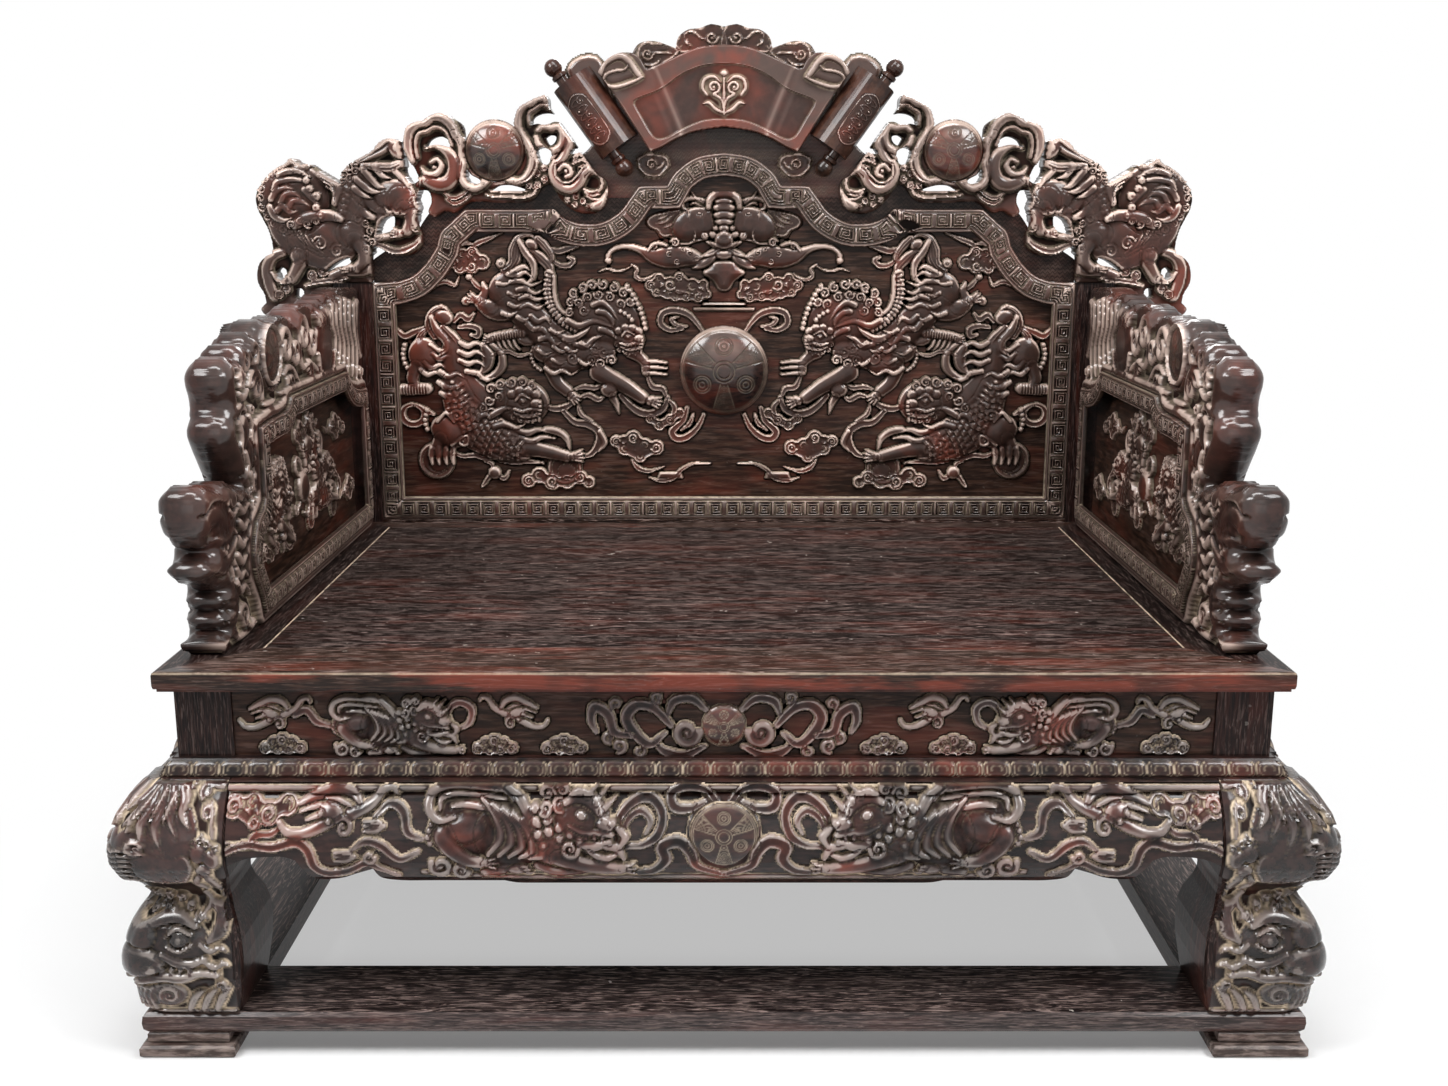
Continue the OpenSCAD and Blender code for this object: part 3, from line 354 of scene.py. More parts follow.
white_backdrop()
for side, hand in (("left", -1), ("right", 1)):
    lamp(f"{side}_key", (hand * 1.65, -1.35, 2.35), (hand * 0.1, 0.2, 0.6), (1.0, 1.0), 53)
lamp("overhead", (0, -0.6, 3.2), (0, 0.1, 0.5), (2.0, 0.7), 64)
lamp("low_front", (0, -3.4, 1.3), (0, 0, 0.5), (2.4, 1.0), 5)
lamp("behind", (0.4, 2.8, 2.2), (0, 0, 0.9), (2.0, 1.0), 40)

bm = bmesh.new()
bmesh.ops.create_grid(bm, x_segments=1, y_segments=1, size=14)
floor_mesh = bpy.data.meshes.new("floor")
bm.to_mesh(floor_mesh)
bm.free()
floor = bpy.data.objects.new("floor", floor_mesh)
scene.collection.objects.link(floor)
pale = Finish("pale_floor")
pale.feed(Base_Color=(0.88, 0.88, 0.88, 1), Roughness=0.9)
spot = pale.node("ShaderNodeTexCoord", {}, [], "Object")
oval = pale.drawn_out(spot, (1.0, 1.25, 1.0))
from_middle = pale.node("ShaderNodeVectorMath", {"operation": "LENGTH"}, [oval], "Value")
by_camera, by_mirror = (
    pale.node("ShaderNodeLightPath", {}, [], ray) for ray in ("Is Camera Ray", "Is Glossy Ray"))
forward = pale.node("ShaderNodeSeparateXYZ", {}, [spot], "Y")
# Part of plain white is mixed in near the throne as well, an eighth in front and half under and behind the
# seat: a painted light that lifts the floor's shadow
backdrop_and_painted_lift = from_middle.step(0.72, 1.25).maths("MAXIMUM", forward.step(-0.50, -0.20, (0.12, 0.50)))
lightened = backdrop_and_painted_lift * by_camera.maths("MAXIMUM", by_mirror)
white = pale.node("ShaderNodeEmission", {}, {"Color": (1, 1, 1, 1), "Strength": 1.0})
shaded = Socket(pale, pale.shader.outputs[0])
surface = pale.node("ShaderNodeMixShader", {}, [lightened, shaded, white])
pale.tree.links.new(surface.output, pale.tree.nodes["Material Output"].inputs[0])
floor_mesh.materials.append(pale.material)

# %% [markdown]
# ## Carving as a sheet of heights
# A relief carver starts from a flat board with the figure drawn on it, and lowers the ground round it. The
# same can be done here: a sheet is a fine grid of heights over a flat board, and each stroke or mound
# raises it and cuts a groove round itself into what was there before, so that later shapes lie over earlier
# ones. Sculpting by hand would be freer, but can't be written down. When a figure is finished, a grid mesh
# is made with one bmesh operator, the faces outside the figure are deleted, the border is extruded down
# into the board, and each vertex is moved to its height.

# %% The sheet
CELL = 1.6


def smooth_line(points, widths, steps=7):
    """Points and half widths along a smooth curve through the given ones"""
    p = np.array(points, float)
    given = np.atleast_1d(widths)
    w = np.interp(np.linspace(0, 1, len(p)), np.linspace(0, 1, len(given)), given)
    if len(p) == 2:
        steps = 1
    q = np.vstack([2 * p[0] - p[1], p, 2 * p[-1] - p[-2]])
    t = np.linspace(0, 1, steps, endpoint=False)[:, None]
    out = []
    for a, b, c, d in zip(q[:-3], q[1:-2], q[2:-1], q[3:]):
        out.append(0.5 * (2 * b + (c - a) * t + (2 * a - 5 * b + 4 * c - d) * t * t
                          + (3 * b - a - 3 * c + d) * t ** 3))
    line = np.vstack([*out, p[-1:]])
    return line, np.interp(np.linspace(0, 1, len(line)), np.linspace(0, 1, len(w)), w)


def softened(h, cells):
    """The heights blurred over a number of cells each way"""
    r = max(1, round(cells))
    for _ in range(2):
        for axis in (0, 1):
            pad = [(0, 0), (0, 0)]
            pad[axis] = (r + 1, r)
            total = np.cumsum(np.pad(h, pad, mode="edge"), axis=axis)
            high = [slice(None)] * 2
            low = [slice(None)] * 2
            high[axis], low[axis] = slice(2 * r + 1, None), slice(0, -(2 * r + 1))
            h = (total[tuple(high)] - total[tuple(low)]) / (2 * r + 1)
    return h


PROFILES = {
    "round": lambda q: np.sqrt(np.clip(1 - q * q, 0, 1)),
    "flat": lambda q: np.clip((1 - q) / 0.25, 0, 1) ** 0.5,
    "ridge": lambda q: np.clip(1 - q, 0, 1) ** 0.8,
    "ribbon": lambda q: (np.clip((1 - q) / 0.12, 0, 1) ** 0.5
                         * (0.62 + 0.38 * np.exp(-((q - 0.74) / 0.2) ** 2))),
    "locks": lambda q: np.sqrt(np.clip(1 - q * q, 0, 1)) * (0.80 + 0.20 * np.cos(q * 3 * math.pi)),
}


class Sheet:
    """Heights in mm over a flat board, on a grid from (u0, v0) to (u1, v1)"""

    def __init__(self, u0, u1, v0, v1, cell=1.6):
        self.cell = cell * CELL / 1.6
        self.nu, self.nv = max(1, round((u1 - u0) / self.cell)), max(1, round((v1 - v0) / self.cell))
        self.u, self.v = np.linspace(u0, u1, self.nu + 1), np.linspace(v0, v1, self.nv + 1)
        self.U, self.V = np.meshgrid(self.u, self.v)
        self.h = np.zeros(self.U.shape)

    def window(self, low, high, pad):
        i0, i1 = np.searchsorted(self.u, (low[0] - pad, high[0] + pad))
        j0, j1 = np.searchsorted(self.v, (low[1] - pad, high[1] + pad))
        return np.s_[j0:j1, i0:i1]

    def lay(self, where, q, top, inside, groove, reach):
        """Raises what is inside to top, and cuts a groove round it"""
        h = self.h[where]
        under = np.clip(1 - (q - 1) / reach, 0, 1) * groove
        h = np.where(inside, np.maximum(h, top), h - under * np.clip(h / 3, 0, 1))
        self.h[where] = h

    def stroke(self, points, widths, level=3.0, rise=3.0, shape="round", groove=1.4, texture=None):
        """A tapering band along a smooth line. A texture adds a pattern from the place along and across"""
        p, w = smooth_line(points, widths)
        reach = 1.6
        box = self.window(p.min(0), p.max(0), w.max() + reach + self.cell)
        U, V = self.U[box], self.V[box]
        if U.size == 0:
            return
        near, cross, along, wide = (np.full(U.shape, x) for x in (1e9, 0.0, 0.0, 1.0))
        gone = 0.0
        u_axis, v_axis = U[0], V[:, 0]
        for a, b, wa, wb in zip(p[:-1], p[1:], w[:-1], w[1:]):
            d = b - a
            length = math.hypot(*d)
            if length < 1e-6:
                continue
            pad = max(wa, wb) + reach + self.cell
            i0, i1 = np.searchsorted(u_axis, (min(a[0], b[0]) - pad, max(a[0], b[0]) + pad))
            j0, j1 = np.searchsorted(v_axis, (min(a[1], b[1]) - pad, max(a[1], b[1]) + pad))
            s = np.s_[j0:j1, i0:i1]
            x, y = U[s] - a[0], V[s] - a[1]
            t = np.clip((x * d[0] + y * d[1]) / length ** 2, 0, 1)
            off = np.hypot(x - t * d[0], y - t * d[1])
            width = np.maximum(wa + t * (wb - wa), 0.05)
            q = off - width
            better = q < near[s]
            near[s] = np.where(better, q, near[s])
            wide[s] = np.where(better, width, wide[s])
            along[s] = np.where(better, gone + t * length, along[s])
            cross[s] = np.where(better, np.copysign(off, d[0] * y - d[1] * x), cross[s])
            gone += length
        q = np.abs(cross) / wide
        share = along / max(gone, 1e-6)
        base = level if np.isscalar(level) else level[0] + (level[1] - level[0]) * share
        tall = rise if np.isscalar(rise) else rise[0] + (rise[1] - rise[0]) * share
        top = base + tall * np.minimum(1, wide / 2.2) * PROFILES[shape](np.clip(q, 0, 1))
        if texture is not None:
            top = top + texture(along, cross, wide)
        self.lay(box, 1 + np.maximum(near, 0), top, near <= 0, groove, reach)

    def mound(self, centre, radii, turn=0.0, level=3.0, rise=5.0, power=0.5, groove=1.4, texture=None):
        """A rounded swelling on an oval"""
        ru, rv = (radii, radii) if np.isscalar(radii) else radii
        c, s = math.cos(turn), math.sin(turn)
        box = self.window(np.array(centre) - max(ru, rv), np.array(centre) + max(ru, rv), 3)
        x, y = self.U[box] - centre[0], self.V[box] - centre[1]
        a, b = (x * c + y * s) / ru, (y * c - x * s) / rv
        q = np.hypot(a, b)
        top = level + rise * np.clip(1 - q * q, 0, 1) ** power
        if texture is not None:
            top = top + texture(a, b, q)
        self.lay(box, 1 + (q - 1) * min(ru, rv), top, q <= 1, groove, 1.8)

    def patch(self, points, level=3.0, rise=2.0, edge=4.0, groove=1.4, smooth=True, texture=None):
        """A flat-topped shape with a rounded edge, inside a closed line"""
        p = np.array(points, float)
        if smooth:
            n = len(p)
            p = smooth_line(np.vstack([p[-2:], p, p[:2]]), 1.0, 5)[0]
            p = p[10:10 + 5 * n]
        box = self.window(p.min(0), p.max(0), 3)
        U, V = self.U[box], self.V[box]
        off, inside = np.full(U.shape, 1e9), np.zeros(U.shape, bool)
        for a, b in zip(p, np.roll(p, -1, 0)):
            d = b - a
            t = np.clip(((U - a[0]) * d[0] + (V - a[1]) * d[1]) / max(d @ d, 1e-9), 0, 1)
            off = np.minimum(off, np.hypot(U - a[0] - t * d[0], V - a[1] - t * d[1]))
            if a[1] != b[1]:
                inside ^= ((a[1] > V) != (b[1] > V)) & (U < a[0] + (V - a[1]) * d[0] / d[1])
        top = level + rise * np.clip(off / edge, 0, 1) ** 0.5
        if texture is not None:
            top = top + texture(U, V, off)
        self.lay(box, np.where(inside, 0, 1 + off), top, inside, groove, 1.8)


# %% [markdown]
# ## From a sheet to a piece
# The grid's cells outside the figure go, a narrow strip of bare ground stays round it so that dust can lie
# along its foot, and the border drops into the board behind. Three measures are kept for the finish: how
# narrow a groove each point lies in, how sharp a ridge or how high an upper side it lies on, and how deep
# a hollow. The finish makes the second pale, partly as wear and partly as a painted highlight, and the
# third dark, as a painted shade. The `place` function puts the sheet on its board, wherever on the throne
# that is, so front, side and mirrored carvings come from the same code.

# %% Making a piece
def front(depth):
    """Faces the viewer, on the plane y = depth"""
    return lambda u, v, h: (u, depth - h, v)


def behind(depth):
    return lambda u, v, h: (u, depth + h, v)


def facing_right(x):
    """Faces along +X, on the plane x; u runs along Y"""
    return lambda u, v, h: (x + h, u, v)


def facing_left(x):
    return lambda u, v, h: (x - h, u, v)


def without_points(keep):
    """Fills in cells so that no two touch at a corner alone"""
    for _ in range(12):
        a, b, c, d = keep[:-1, :-1], keep[:-1, 1:], keep[1:, :-1], keep[1:, 1:]
        cross = (a & d & ~b & ~c) | (b & c & ~a & ~d)
        if not cross.any():
            break
        keep = keep.copy()
        keep[:-1, :-1] |= cross
        keep[:-1, 1:] |= cross
    return keep


def set_values(mesh, name, values):
    attribute = mesh.attributes.new(name, "FLOAT", "POINT")
    attribute.data.foreach_set("value", values.astype(np.float32))


def as_piece(name, mesh, finish, slot, replaces=()):
    """Links a finished mesh as a piece that rides on the throne"""
    made = bpy.data.objects.new(name, mesh)
    scene.collection.objects.link(made)
    mesh.materials.append(finish)
    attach(made, "root")
    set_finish(made, slot)
    if replaces:
        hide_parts(*replaces)
    triangles = sum(len(p.vertices) - 2 for p in mesh.polygons)
    print(f"{name}: {triangles} triangles")
    return made


def turned_over(place):
    """Whether a placing function turns a sheet's right-handed axes into left-handed ones"""
    o, a, b, c = (np.array(place(*(np.array([float(x)]) for x in p)), float).ravel() for p in (
        (0, 0, 0), (1, 0, 0), (0, 1, 0), (0, 0, 1)))
    return np.linalg.det(np.array([a - o, b - o, c - o])) < 0


def measures(sheet):
    """How far in a groove, on a ridge or an upper side, and down in a hollow each point of a sheet lies, 0 to
    1
    """
    h = sheet.h
    # The surface smoothed over 12, 6 and 2.4 mm, to compare each point with
    broad, wide, close = (softened(h, mm / sheet.cell) for mm in (12.0, 6.0, 2.4))
    dust = np.clip((close - h - 0.45) / 0.7, 0, 1) * np.clip(1.5 - h / 2.6, 0.12, 1)
    # The upper side of each raised form is made lighter, a painted highlight of the lamps above
    falls = -np.gradient(softened(h, 1), axis=0) / (sheet.v[1] - sheet.v[0])
    upper = np.clip(falls * 1.3 - 0.15, 0, 1) * np.clip(h / 4, 0, 1)
    wear_and_highlight = np.clip((h - close) / 0.9, 0, 1) * 0.6 + np.clip((h - wide) / 4.0, 0, 1) * 0.4 + upper * 0.55
    # Painted shade: where the surface lies below its 12 and 6 mm surroundings, as in hollows and at the foot
    # of each figure
    deep = np.clip((broad - h) / 7.0, 0, 1) * 0.8 + np.clip((wide - h) / 4.0, 0, 1) * 0.6
    # A drawing may add fine lines of dust, worn or highlighted lines and painted-shade ground of its own, too
    # shallow to be measured
    dust, wear_and_highlight, deep = (np.maximum(m, getattr(sheet, n, 0)) for m, n in (
        (dust, "dust_lines"), (wear_and_highlight, "worn_lines"), (deep, "dark_ground")))
    # Where hands have polished a rounded edge, it is smooth and even
    plain = 1 - getattr(sheet, "polished", 0)
    return dust * plain, np.clip(wear_and_highlight * plain + (1 - plain) * 0.3, 0, 1), np.clip(deep * plain, 0, 1)


def carve(name, sheet, place, finish, slot="carved_wood", keep=None, ring=4.0, sunk=2.0, back=None,
          replaces=(), flip=None):
    """Makes a closed piece from the part of a sheet that stands above its ground"""
    if keep is None and hasattr(sheet, "keep"):
        keep = sheet.keep
    if keep is None:
        up = (sheet.h > 0.05).astype(float)
        keep = softened(up, ring / 2 / sheet.cell) > 0.02
        if hasattr(sheet, "inside"):
            keep &= sheet.inside
        keep = keep[:-1, :-1] & keep[1:, 1:] & keep[:-1, 1:] & keep[1:, :-1]
    keep = without_points(keep)
    bm = bmesh.new()
    bmesh.ops.create_grid(bm, x_segments=sheet.nu, y_segments=sheet.nv, size=1)
    flat = keep.ravel()
    bmesh.ops.delete(bm, geom=[f for f, k in zip(bm.faces, flat) if not k], context="FACES")
    if back is None:
        border = [e for e in bm.edges if e.is_boundary]
        walls = bmesh.ops.extrude_edge_only(bm, edges=border)["geom"]
        low = [g for g in walls if isinstance(g, bmesh.types.BMVert)]
        bmesh.ops.translate(bm, verts=low, vec=(0, 0, -1))
        foot = [e for e in bm.edges if e.is_boundary]
        bmesh.ops.triangle_fill(bm, edges=foot, use_beauty=False, use_dissolve=False)
    else:
        copied = bmesh.ops.extrude_face_region(bm, geom=bm.faces[:], use_keep_orig=True)["geom"]
        low = [g for g in copied if isinstance(g, bmesh.types.BMVert)]
        bmesh.ops.translate(bm, verts=low, vec=(0, 0, -1))
    bmesh.ops.recalc_face_normals(bm, faces=bm.faces[:])
    mesh = bpy.data.meshes.new(name)
    bm.to_mesh(mesh)
    bm.free()

    co = np.zeros(len(mesh.vertices) * 3)
    mesh.vertices.foreach_get("co", co)
    co = co.reshape(-1, 3)
    i = np.rint((co[:, 0] + 1) / 2 * sheet.nu).astype(int)
    j = np.rint((co[:, 1] + 1) / 2 * sheet.nv).astype(int)
    on_top = co[:, 2] > -0.5
    dust, wear_and_highlight, deep = measures(sheet)
    under = -sunk if back is None else -back[j, i]
    h = np.where(on_top, sheet.h[j, i], under)
    if hasattr(sheet, "ground"):
        h = h + sheet.ground[j, i]
    u, v = snapped(sheet, i, j, keep) if hasattr(sheet, "segments") else (sheet.u[i], sheet.v[j])
    x, y, z = place(u, v, h)
    co = np.stack(np.broadcast_arrays(x, y, z), 1) * MM
    mesh.vertices.foreach_set("co", co.astype(np.float32).ravel())
    set_values(mesh, "dust", np.where(on_top, dust[j, i], 0.15 if back is None else 0.0))
    set_values(mesh, "wear_and_highlight", np.where(on_top, wear_and_highlight[j, i], 0))
    # The walls that drop into the board get some painted shade too
    set_values(mesh, "deep", np.where(on_top, deep[j, i], 0.35 if back is None else 0.1))
    flipped = turned_over(place) if flip is None else flip
    if flipped:
        mesh.flip_normals()
    mesh.shade_smooth()
    mesh.set_sharp_from_angle(angle=math.radians(62))
    mesh.update()
    return as_piece(name, mesh, finish, slot, replaces)


def mirrored(piece, name, replaces=(), axis=0):
    """The same piece on the other side of the throne, across x, or across y with axis 1"""
    mesh = piece.data.copy()
    mesh.name = name
    co = np.zeros(len(mesh.vertices) * 3)
    mesh.vertices.foreach_get("co", co)
    co[axis::3] *= -1
    mesh.vertices.foreach_set("co", co)
    mesh.flip_normals()
    finish = mesh.materials[0]
    mesh.materials.clear()
    return as_piece(name, mesh, finish, piece["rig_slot"], replaces)


# %% [markdown]
# ## The carver's pen
# Figures are drawn in squares on paper and carried to the board at any size, as carvers enlarge a drawing
# square by square. A pen holds where the drawing's corner goes, how big a square is, and whether the figure
# is turned or mirrored. Then a curl, a cloud, a ribbon or a paw is drawn the same way on a board of any
# size.

# %% Pen
class Pen:
    """Draws on a sheet in squares counted right and down from a corner"""

    def __init__(self, sheet, at, square, turn=0.0, mirror=False, deep=1.0, bold=1.0):
        self.sheet, self.at, self.turn, self.bold = sheet, at, math.radians(turn), bold
        self.wide, self.tall = (square, square) if np.isscalar(square) else square
        self.square = (abs(self.wide) + abs(self.tall)) / 2
        self.mirror, self.deep = mirror, deep

    def moved(self, square, wide=1.0, tall=1.0, **settings):
        """Another pen on the same sheet, whose drawing starts at a square of this one"""
        return Pen(self.sheet, self.to_board([square])[0], (self.wide * wide, self.tall * tall), **settings)

    def to_board(self, points):
        p = np.array(points, float) * (-self.wide if self.mirror else self.wide, -self.tall)
        c, s = math.cos(self.turn), math.sin(self.turn)
        return p @ np.array([[c, s], [-s, c]]) + self.at

    def heights(self, level, rise):
        return np.multiply(level, self.deep).tolist(), np.multiply(rise, self.deep).tolist()

    def stroke(self, points, widths, level=3.0, rise=3.0, shape="round", groove=1.4, texture=None):
        level, rise = self.heights(level, rise)
        self.sheet.stroke(self.to_board(points), np.multiply(widths, self.square * self.bold), level, rise,
                          shape, groove * self.deep, texture)

    def mound(self, centre, radii, turn=0.0, level=3.0, rise=5.0, power=0.5, groove=1.4, texture=None):
        level, rise = self.heights(level, rise)
        turn = -math.radians(turn)
        self.sheet.mound(self.to_board([centre])[0], np.multiply(radii, self.square).tolist(),
                         self.turn + (-turn if self.mirror else turn), level, rise, power,
                         groove * self.deep, texture)

    def patch(self, points, level=3.0, rise=2.0, edge=1.2, groove=1.4, smooth=True, texture=None):
        level, rise = self.heights(level, rise)
        self.sheet.patch(self.to_board(points), level, rise, edge * self.square, groove * self.deep, smooth,
                         texture)

    def curl(self, centre, radius, turns=1.4, start=0.0, hand=1, width=None, level=3.0, rise=3.5, lead=()):
        """A spiral that winds in to a bead, from lead points if any"""
        n = max(6, int(turns * 9))
        angle = math.radians(start) + hand * np.linspace(0, turns * 2 * math.pi, n)
        r = np.linspace(radius, radius * 0.30, n)
        wide = width or radius * 0.24
        winding = np.stack([centre[0] + r * np.cos(angle), centre[1] + r * np.sin(angle)], 1)
        self.stroke([*lead, *winding.tolist()], [wide, wide, wide * 0.7], level, rise)
        self.mound(centre, radius * 0.26, 0, level, rise * 1.1)


# %% [markdown]
# ## Clouds, ribbons, locks and claws
# The same few motifs are repeated over the whole throne: clouds that are scalloped pads with a raised rim
# and curls inside, flat ribbons with raised edges, wavy tapering locks for manes and tails, and paws with
# four knuckled toes. Each is a small function of a pen, so one carving vocabulary serves every board.

# %% Motifs
def lobe(pen, centre, radius, hand=1, start=0.0, level=2.6, rise=1.6):
    """A round pad with a raised rim and a curl inside"""
    pen.mound(centre, radius, 0, level, rise, 0.3)
    ring = np.radians(np.linspace(0, 360, 14))
    rim = np.stack([centre[0] + radius * 0.84 * np.cos(ring), centre[1] + radius * 0.84 * np.sin(ring)], 1)
    pen.stroke(rim.tolist(), radius * 0.13, level + rise, 1.6, "round", 1.0)
    pen.curl(centre, radius * 0.52, 1.1, start, hand, radius * 0.15, level + rise * 0.8, 2.0)


def cloud(pen, lobes, tails=(), level=2.4):
    """A scalloped pad with a raised rim, made of lobes (x, y, radius), with wisps as (points, width)"""
    for points, width in tails:
        pen.stroke(points, [width * 0.35, width, width * 0.8, width * 0.2], level, 2.6, "ribbon")
    sheet = pen.sheet
    spots = pen.to_board([(x, y) for x, y, r in lobes])
    radii = np.array([r for x, y, r in lobes]) * pen.square * 1.12
    box = sheet.window(spots.min(0) - radii.max(), spots.max(0) + radii.max(), 3)
    U, V = sheet.U[box], sheet.V[box]
    off = np.full(U.shape, 1e9)
    for k, (a, r) in enumerate(zip(spots, radii)):
        off = np.minimum(off, np.hypot(U - a[0], V - a[1]) - r)
        # Lobes that lie near each other are one pad, so the gap between them is filled
        for b, s in zip(spots[k + 1:], radii[k + 1:]):
            d = b - a
            if np.hypot(*d) < (r + s) * 1.35:
                t = np.clip(((U - a[0]) * d[0] + (V - a[1]) * d[1]) / (d @ d), 0, 1)
                off = np.minimum(off, np.hypot(U - a[0] - t * d[0], V - a[1] - t * d[1]) - min(r, s) * 0.75)
    rim = 0.16 * radii.mean()
    base, tall = pen.heights(level + 1.0, 2.6)
    sheet.lay(box, 1 + np.maximum(off, 0), base + tall * np.exp(-((off / rim + 1.1) / 0.8) ** 2), off <= 0,
              1.4, 1.8)
    for k, (x, y, radius) in enumerate(lobes):
        if k % 2 == 0:
            hand = 1 if k % 4 else -1
            pen.curl((x, y), radius * 0.70, 1.2, 40 * k, hand, radius * 0.19, level + 1.0, 3.2)
        else:
            turned = np.radians(np.linspace(70 * k, 70 * k + 200, 6))
            ring = np.stack([x + radius * 0.45 * np.cos(turned), y + radius * 0.45 * np.sin(turned)], 1)
            pen.stroke(ring.tolist(), [radius * 0.08, radius * 0.16, radius * 0.08], level + 1.0, 2.4)


def ribbon(pen, points, width, level=3.0, rise=2.6):
    pen.stroke(points, [width * 0.6, width, width, width * 0.5], level, rise, "ribbon")


def locks(pen, strands, width, level=5.0, rise=3.4, shape="round"):
    """Wavy tapering strands, each a list of points"""
    for points in strands:
        pen.stroke(points, [width, width * 1.05, width * 0.75, width * 0.15], level, (rise, rise * 0.6),
                   shape)


def paw(pen, at, size, heading, level=5.0, toes=4):
    """A paw seen from above, its toes spread towards heading in degrees"""
    a = math.radians(heading)
    c, s = math.cos(a), math.sin(a)
    pen.mound(at, (size, size * 0.8), -heading, level, 4.5)
    for k in np.linspace(-1, 1, toes):
        spread = a + k * 0.62
        tip = (at[0] + size * 1.45 * math.cos(spread), at[1] + size * 1.45 * math.sin(spread))
        root = (at[0] + size * 0.35 * c - k * size * 0.55 * s,
                at[1] + size * 0.35 * s + k * size * 0.55 * c)
        pen.stroke([root, tip], [size * 0.30, size * 0.26], level + 0.6, 4.4)
        claw = (tip[0] + size * 0.42 * math.cos(spread + 0.25),
                tip[1] + size * 0.42 * math.sin(spread + 0.25))
        pen.stroke([tip, claw], [size * 0.18, size * 0.05], level + 0.5, 3.0)


def scales(size, height=1.5):
    """A texture of rows of overlapping round scales along a stroke"""
    def pattern(along, cross, wide):
        row = np.floor(along / size)
        a = along / size - row - 0.5
        b = (cross / (size * 1.15) + 0.5 * (row % 2)) % 1.0 - 0.5
        q = np.hypot(a * 0.9 - 0.15, b) / 0.56
        scale = np.sqrt(np.clip(1 - q * q, 0, 1)) * (0.6 + 0.4 * np.clip(a + 0.5, 0, 1))
        return height * np.where(q < 1, scale, 0) - height * 0.3
    return pattern


def ringed(size, height):
    """A texture of rings across a stroke, as on a shank"""
    def pattern(along, cross, wide):
        return height * np.cos(along * size)
    return pattern


def beads(pen, points, radius, level=6.0, rise=3.0, gap=1.9):
    """A row of round beads along a smooth line"""
    p, _ = smooth_line(points, 1.0)
    gone = np.concatenate([[0], np.cumsum(np.hypot(*np.diff(p, axis=0).T))])
    for at in np.arange(0, gone[-1], radius * gap):
        pen.mound((np.interp(at, gone, p[:, 0]), np.interp(at, gone, p[:, 1])), radius, 0, level, rise,
                  groove=0.9)


def spine(pen, points, width, level=8.0):
    """A ridge of stacked plates down a back"""
    p, _ = smooth_line(points, width)
    gone = np.concatenate([[0], np.cumsum(np.hypot(*np.diff(p, axis=0).T))])
    for at in np.arange(0, gone[-1], width * 0.95):
        here = np.array([np.interp(at, gone, p[:, k]) for k in (0, 1)])
        ahead = np.array([np.interp(min(at + 0.4, gone[-1]), gone, p[:, k]) for k in (0, 1)])
        turn = math.degrees(math.atan2(*(ahead - here)[::-1]))
        pen.mound(here.tolist(), (width * 0.5, width), turn, level, 2.6, 0.4, 0.9)


def lion_face(pen, at, size, level=9.0):
    """A guardian lion's face turned to the right: snub nose, bulging eye, rolled lips and a curly beard"""
    def spot(x, y):
        return (at[0] + x * size, at[1] + y * size)

    pen.mound(spot(0, 0), (1.25 * size, 1.0 * size), 0, level, 5.0)
    for x, y, r in ((-0.9, -0.75, 0.34), (-0.35, -0.98, 0.36), (0.25, -0.95, 0.36), (0.78, -0.72, 0.34)):
        pen.mound(spot(x, y), r * size, 0, level + 3.0, 3.2)
    pen.mound(spot(-0.15, -0.32), 0.33 * size, 0, level + 3.5, 3.0)
    pen.mound(spot(-0.12, -0.30), 0.15 * size, 0, level + 5.6, 1.6, groove=1.6)
    pen.stroke([spot(-0.62, -0.34), spot(-0.2, -0.72), spot(0.4, -0.45)],
               [0.1 * size, 0.14 * size, 0.06 * size], level + 5, 2)
    pen.mound(spot(0.80, -0.12), (0.42 * size, 0.34 * size), 0, level + 5.0, 4.0)
    for y in (-0.22, 0.06):
        pen.mound(spot(1.08, y), 0.13 * size, 0, level + 7.0, 2.0)
    pen.stroke([spot(-0.75, 0.25), spot(-0.2, 0.42), spot(0.5, 0.28), spot(1.1, 0.34)],
               [0.1 * size, 0.17 * size, 0.13 * size], level + 4.5, 2.6)
    for k in range(4):
        pen.mound(spot(-0.1 + k * 0.3, 0.50), (0.1 * size, 0.13 * size), 0, level + 4, 2.0, groove=0.8)
    pen.stroke([spot(-0.7, 0.55), spot(-0.1, 0.78), spot(0.6, 0.72), spot(1.0, 0.58)],
               [0.1 * size, 0.17 * size, 0.12 * size], level + 3.0, 2.6)
    for x, y, r in ((-0.8, 0.85, 0.28), (-0.3, 1.05, 0.3), (0.22, 1.08, 0.3), (0.7, 0.98, 0.28),
                    (-1.05, 0.4, 0.26)):
        pen.curl(spot(x, y), r * size, 1.0, 30, -1, 0.1 * size, level, 2.6)


# %% [markdown]
# ## Reading the solids
# The carved boards have pierced, curved outlines that are already right in the frame. So a sheet can take
# its outline and its ground from a solid: the triangles that face the viewer are laid on the sheet's grid,
# which gives the depth at every point, and the edges that only one of them has are the outline. Border
# vertices are then drawn onto that outline, so a fine grid doesn't leave a stair-stepped edge.

# %% Depth and outline of a solid
# For each side: the axes across and up, the axis towards the viewer, and its direction
SIDES = {"front": (0, 2, 1, -1), "back": (0, 2, 1, 1), "right": (1, 2, 0, 1), "left": (1, 2, 0, -1)}


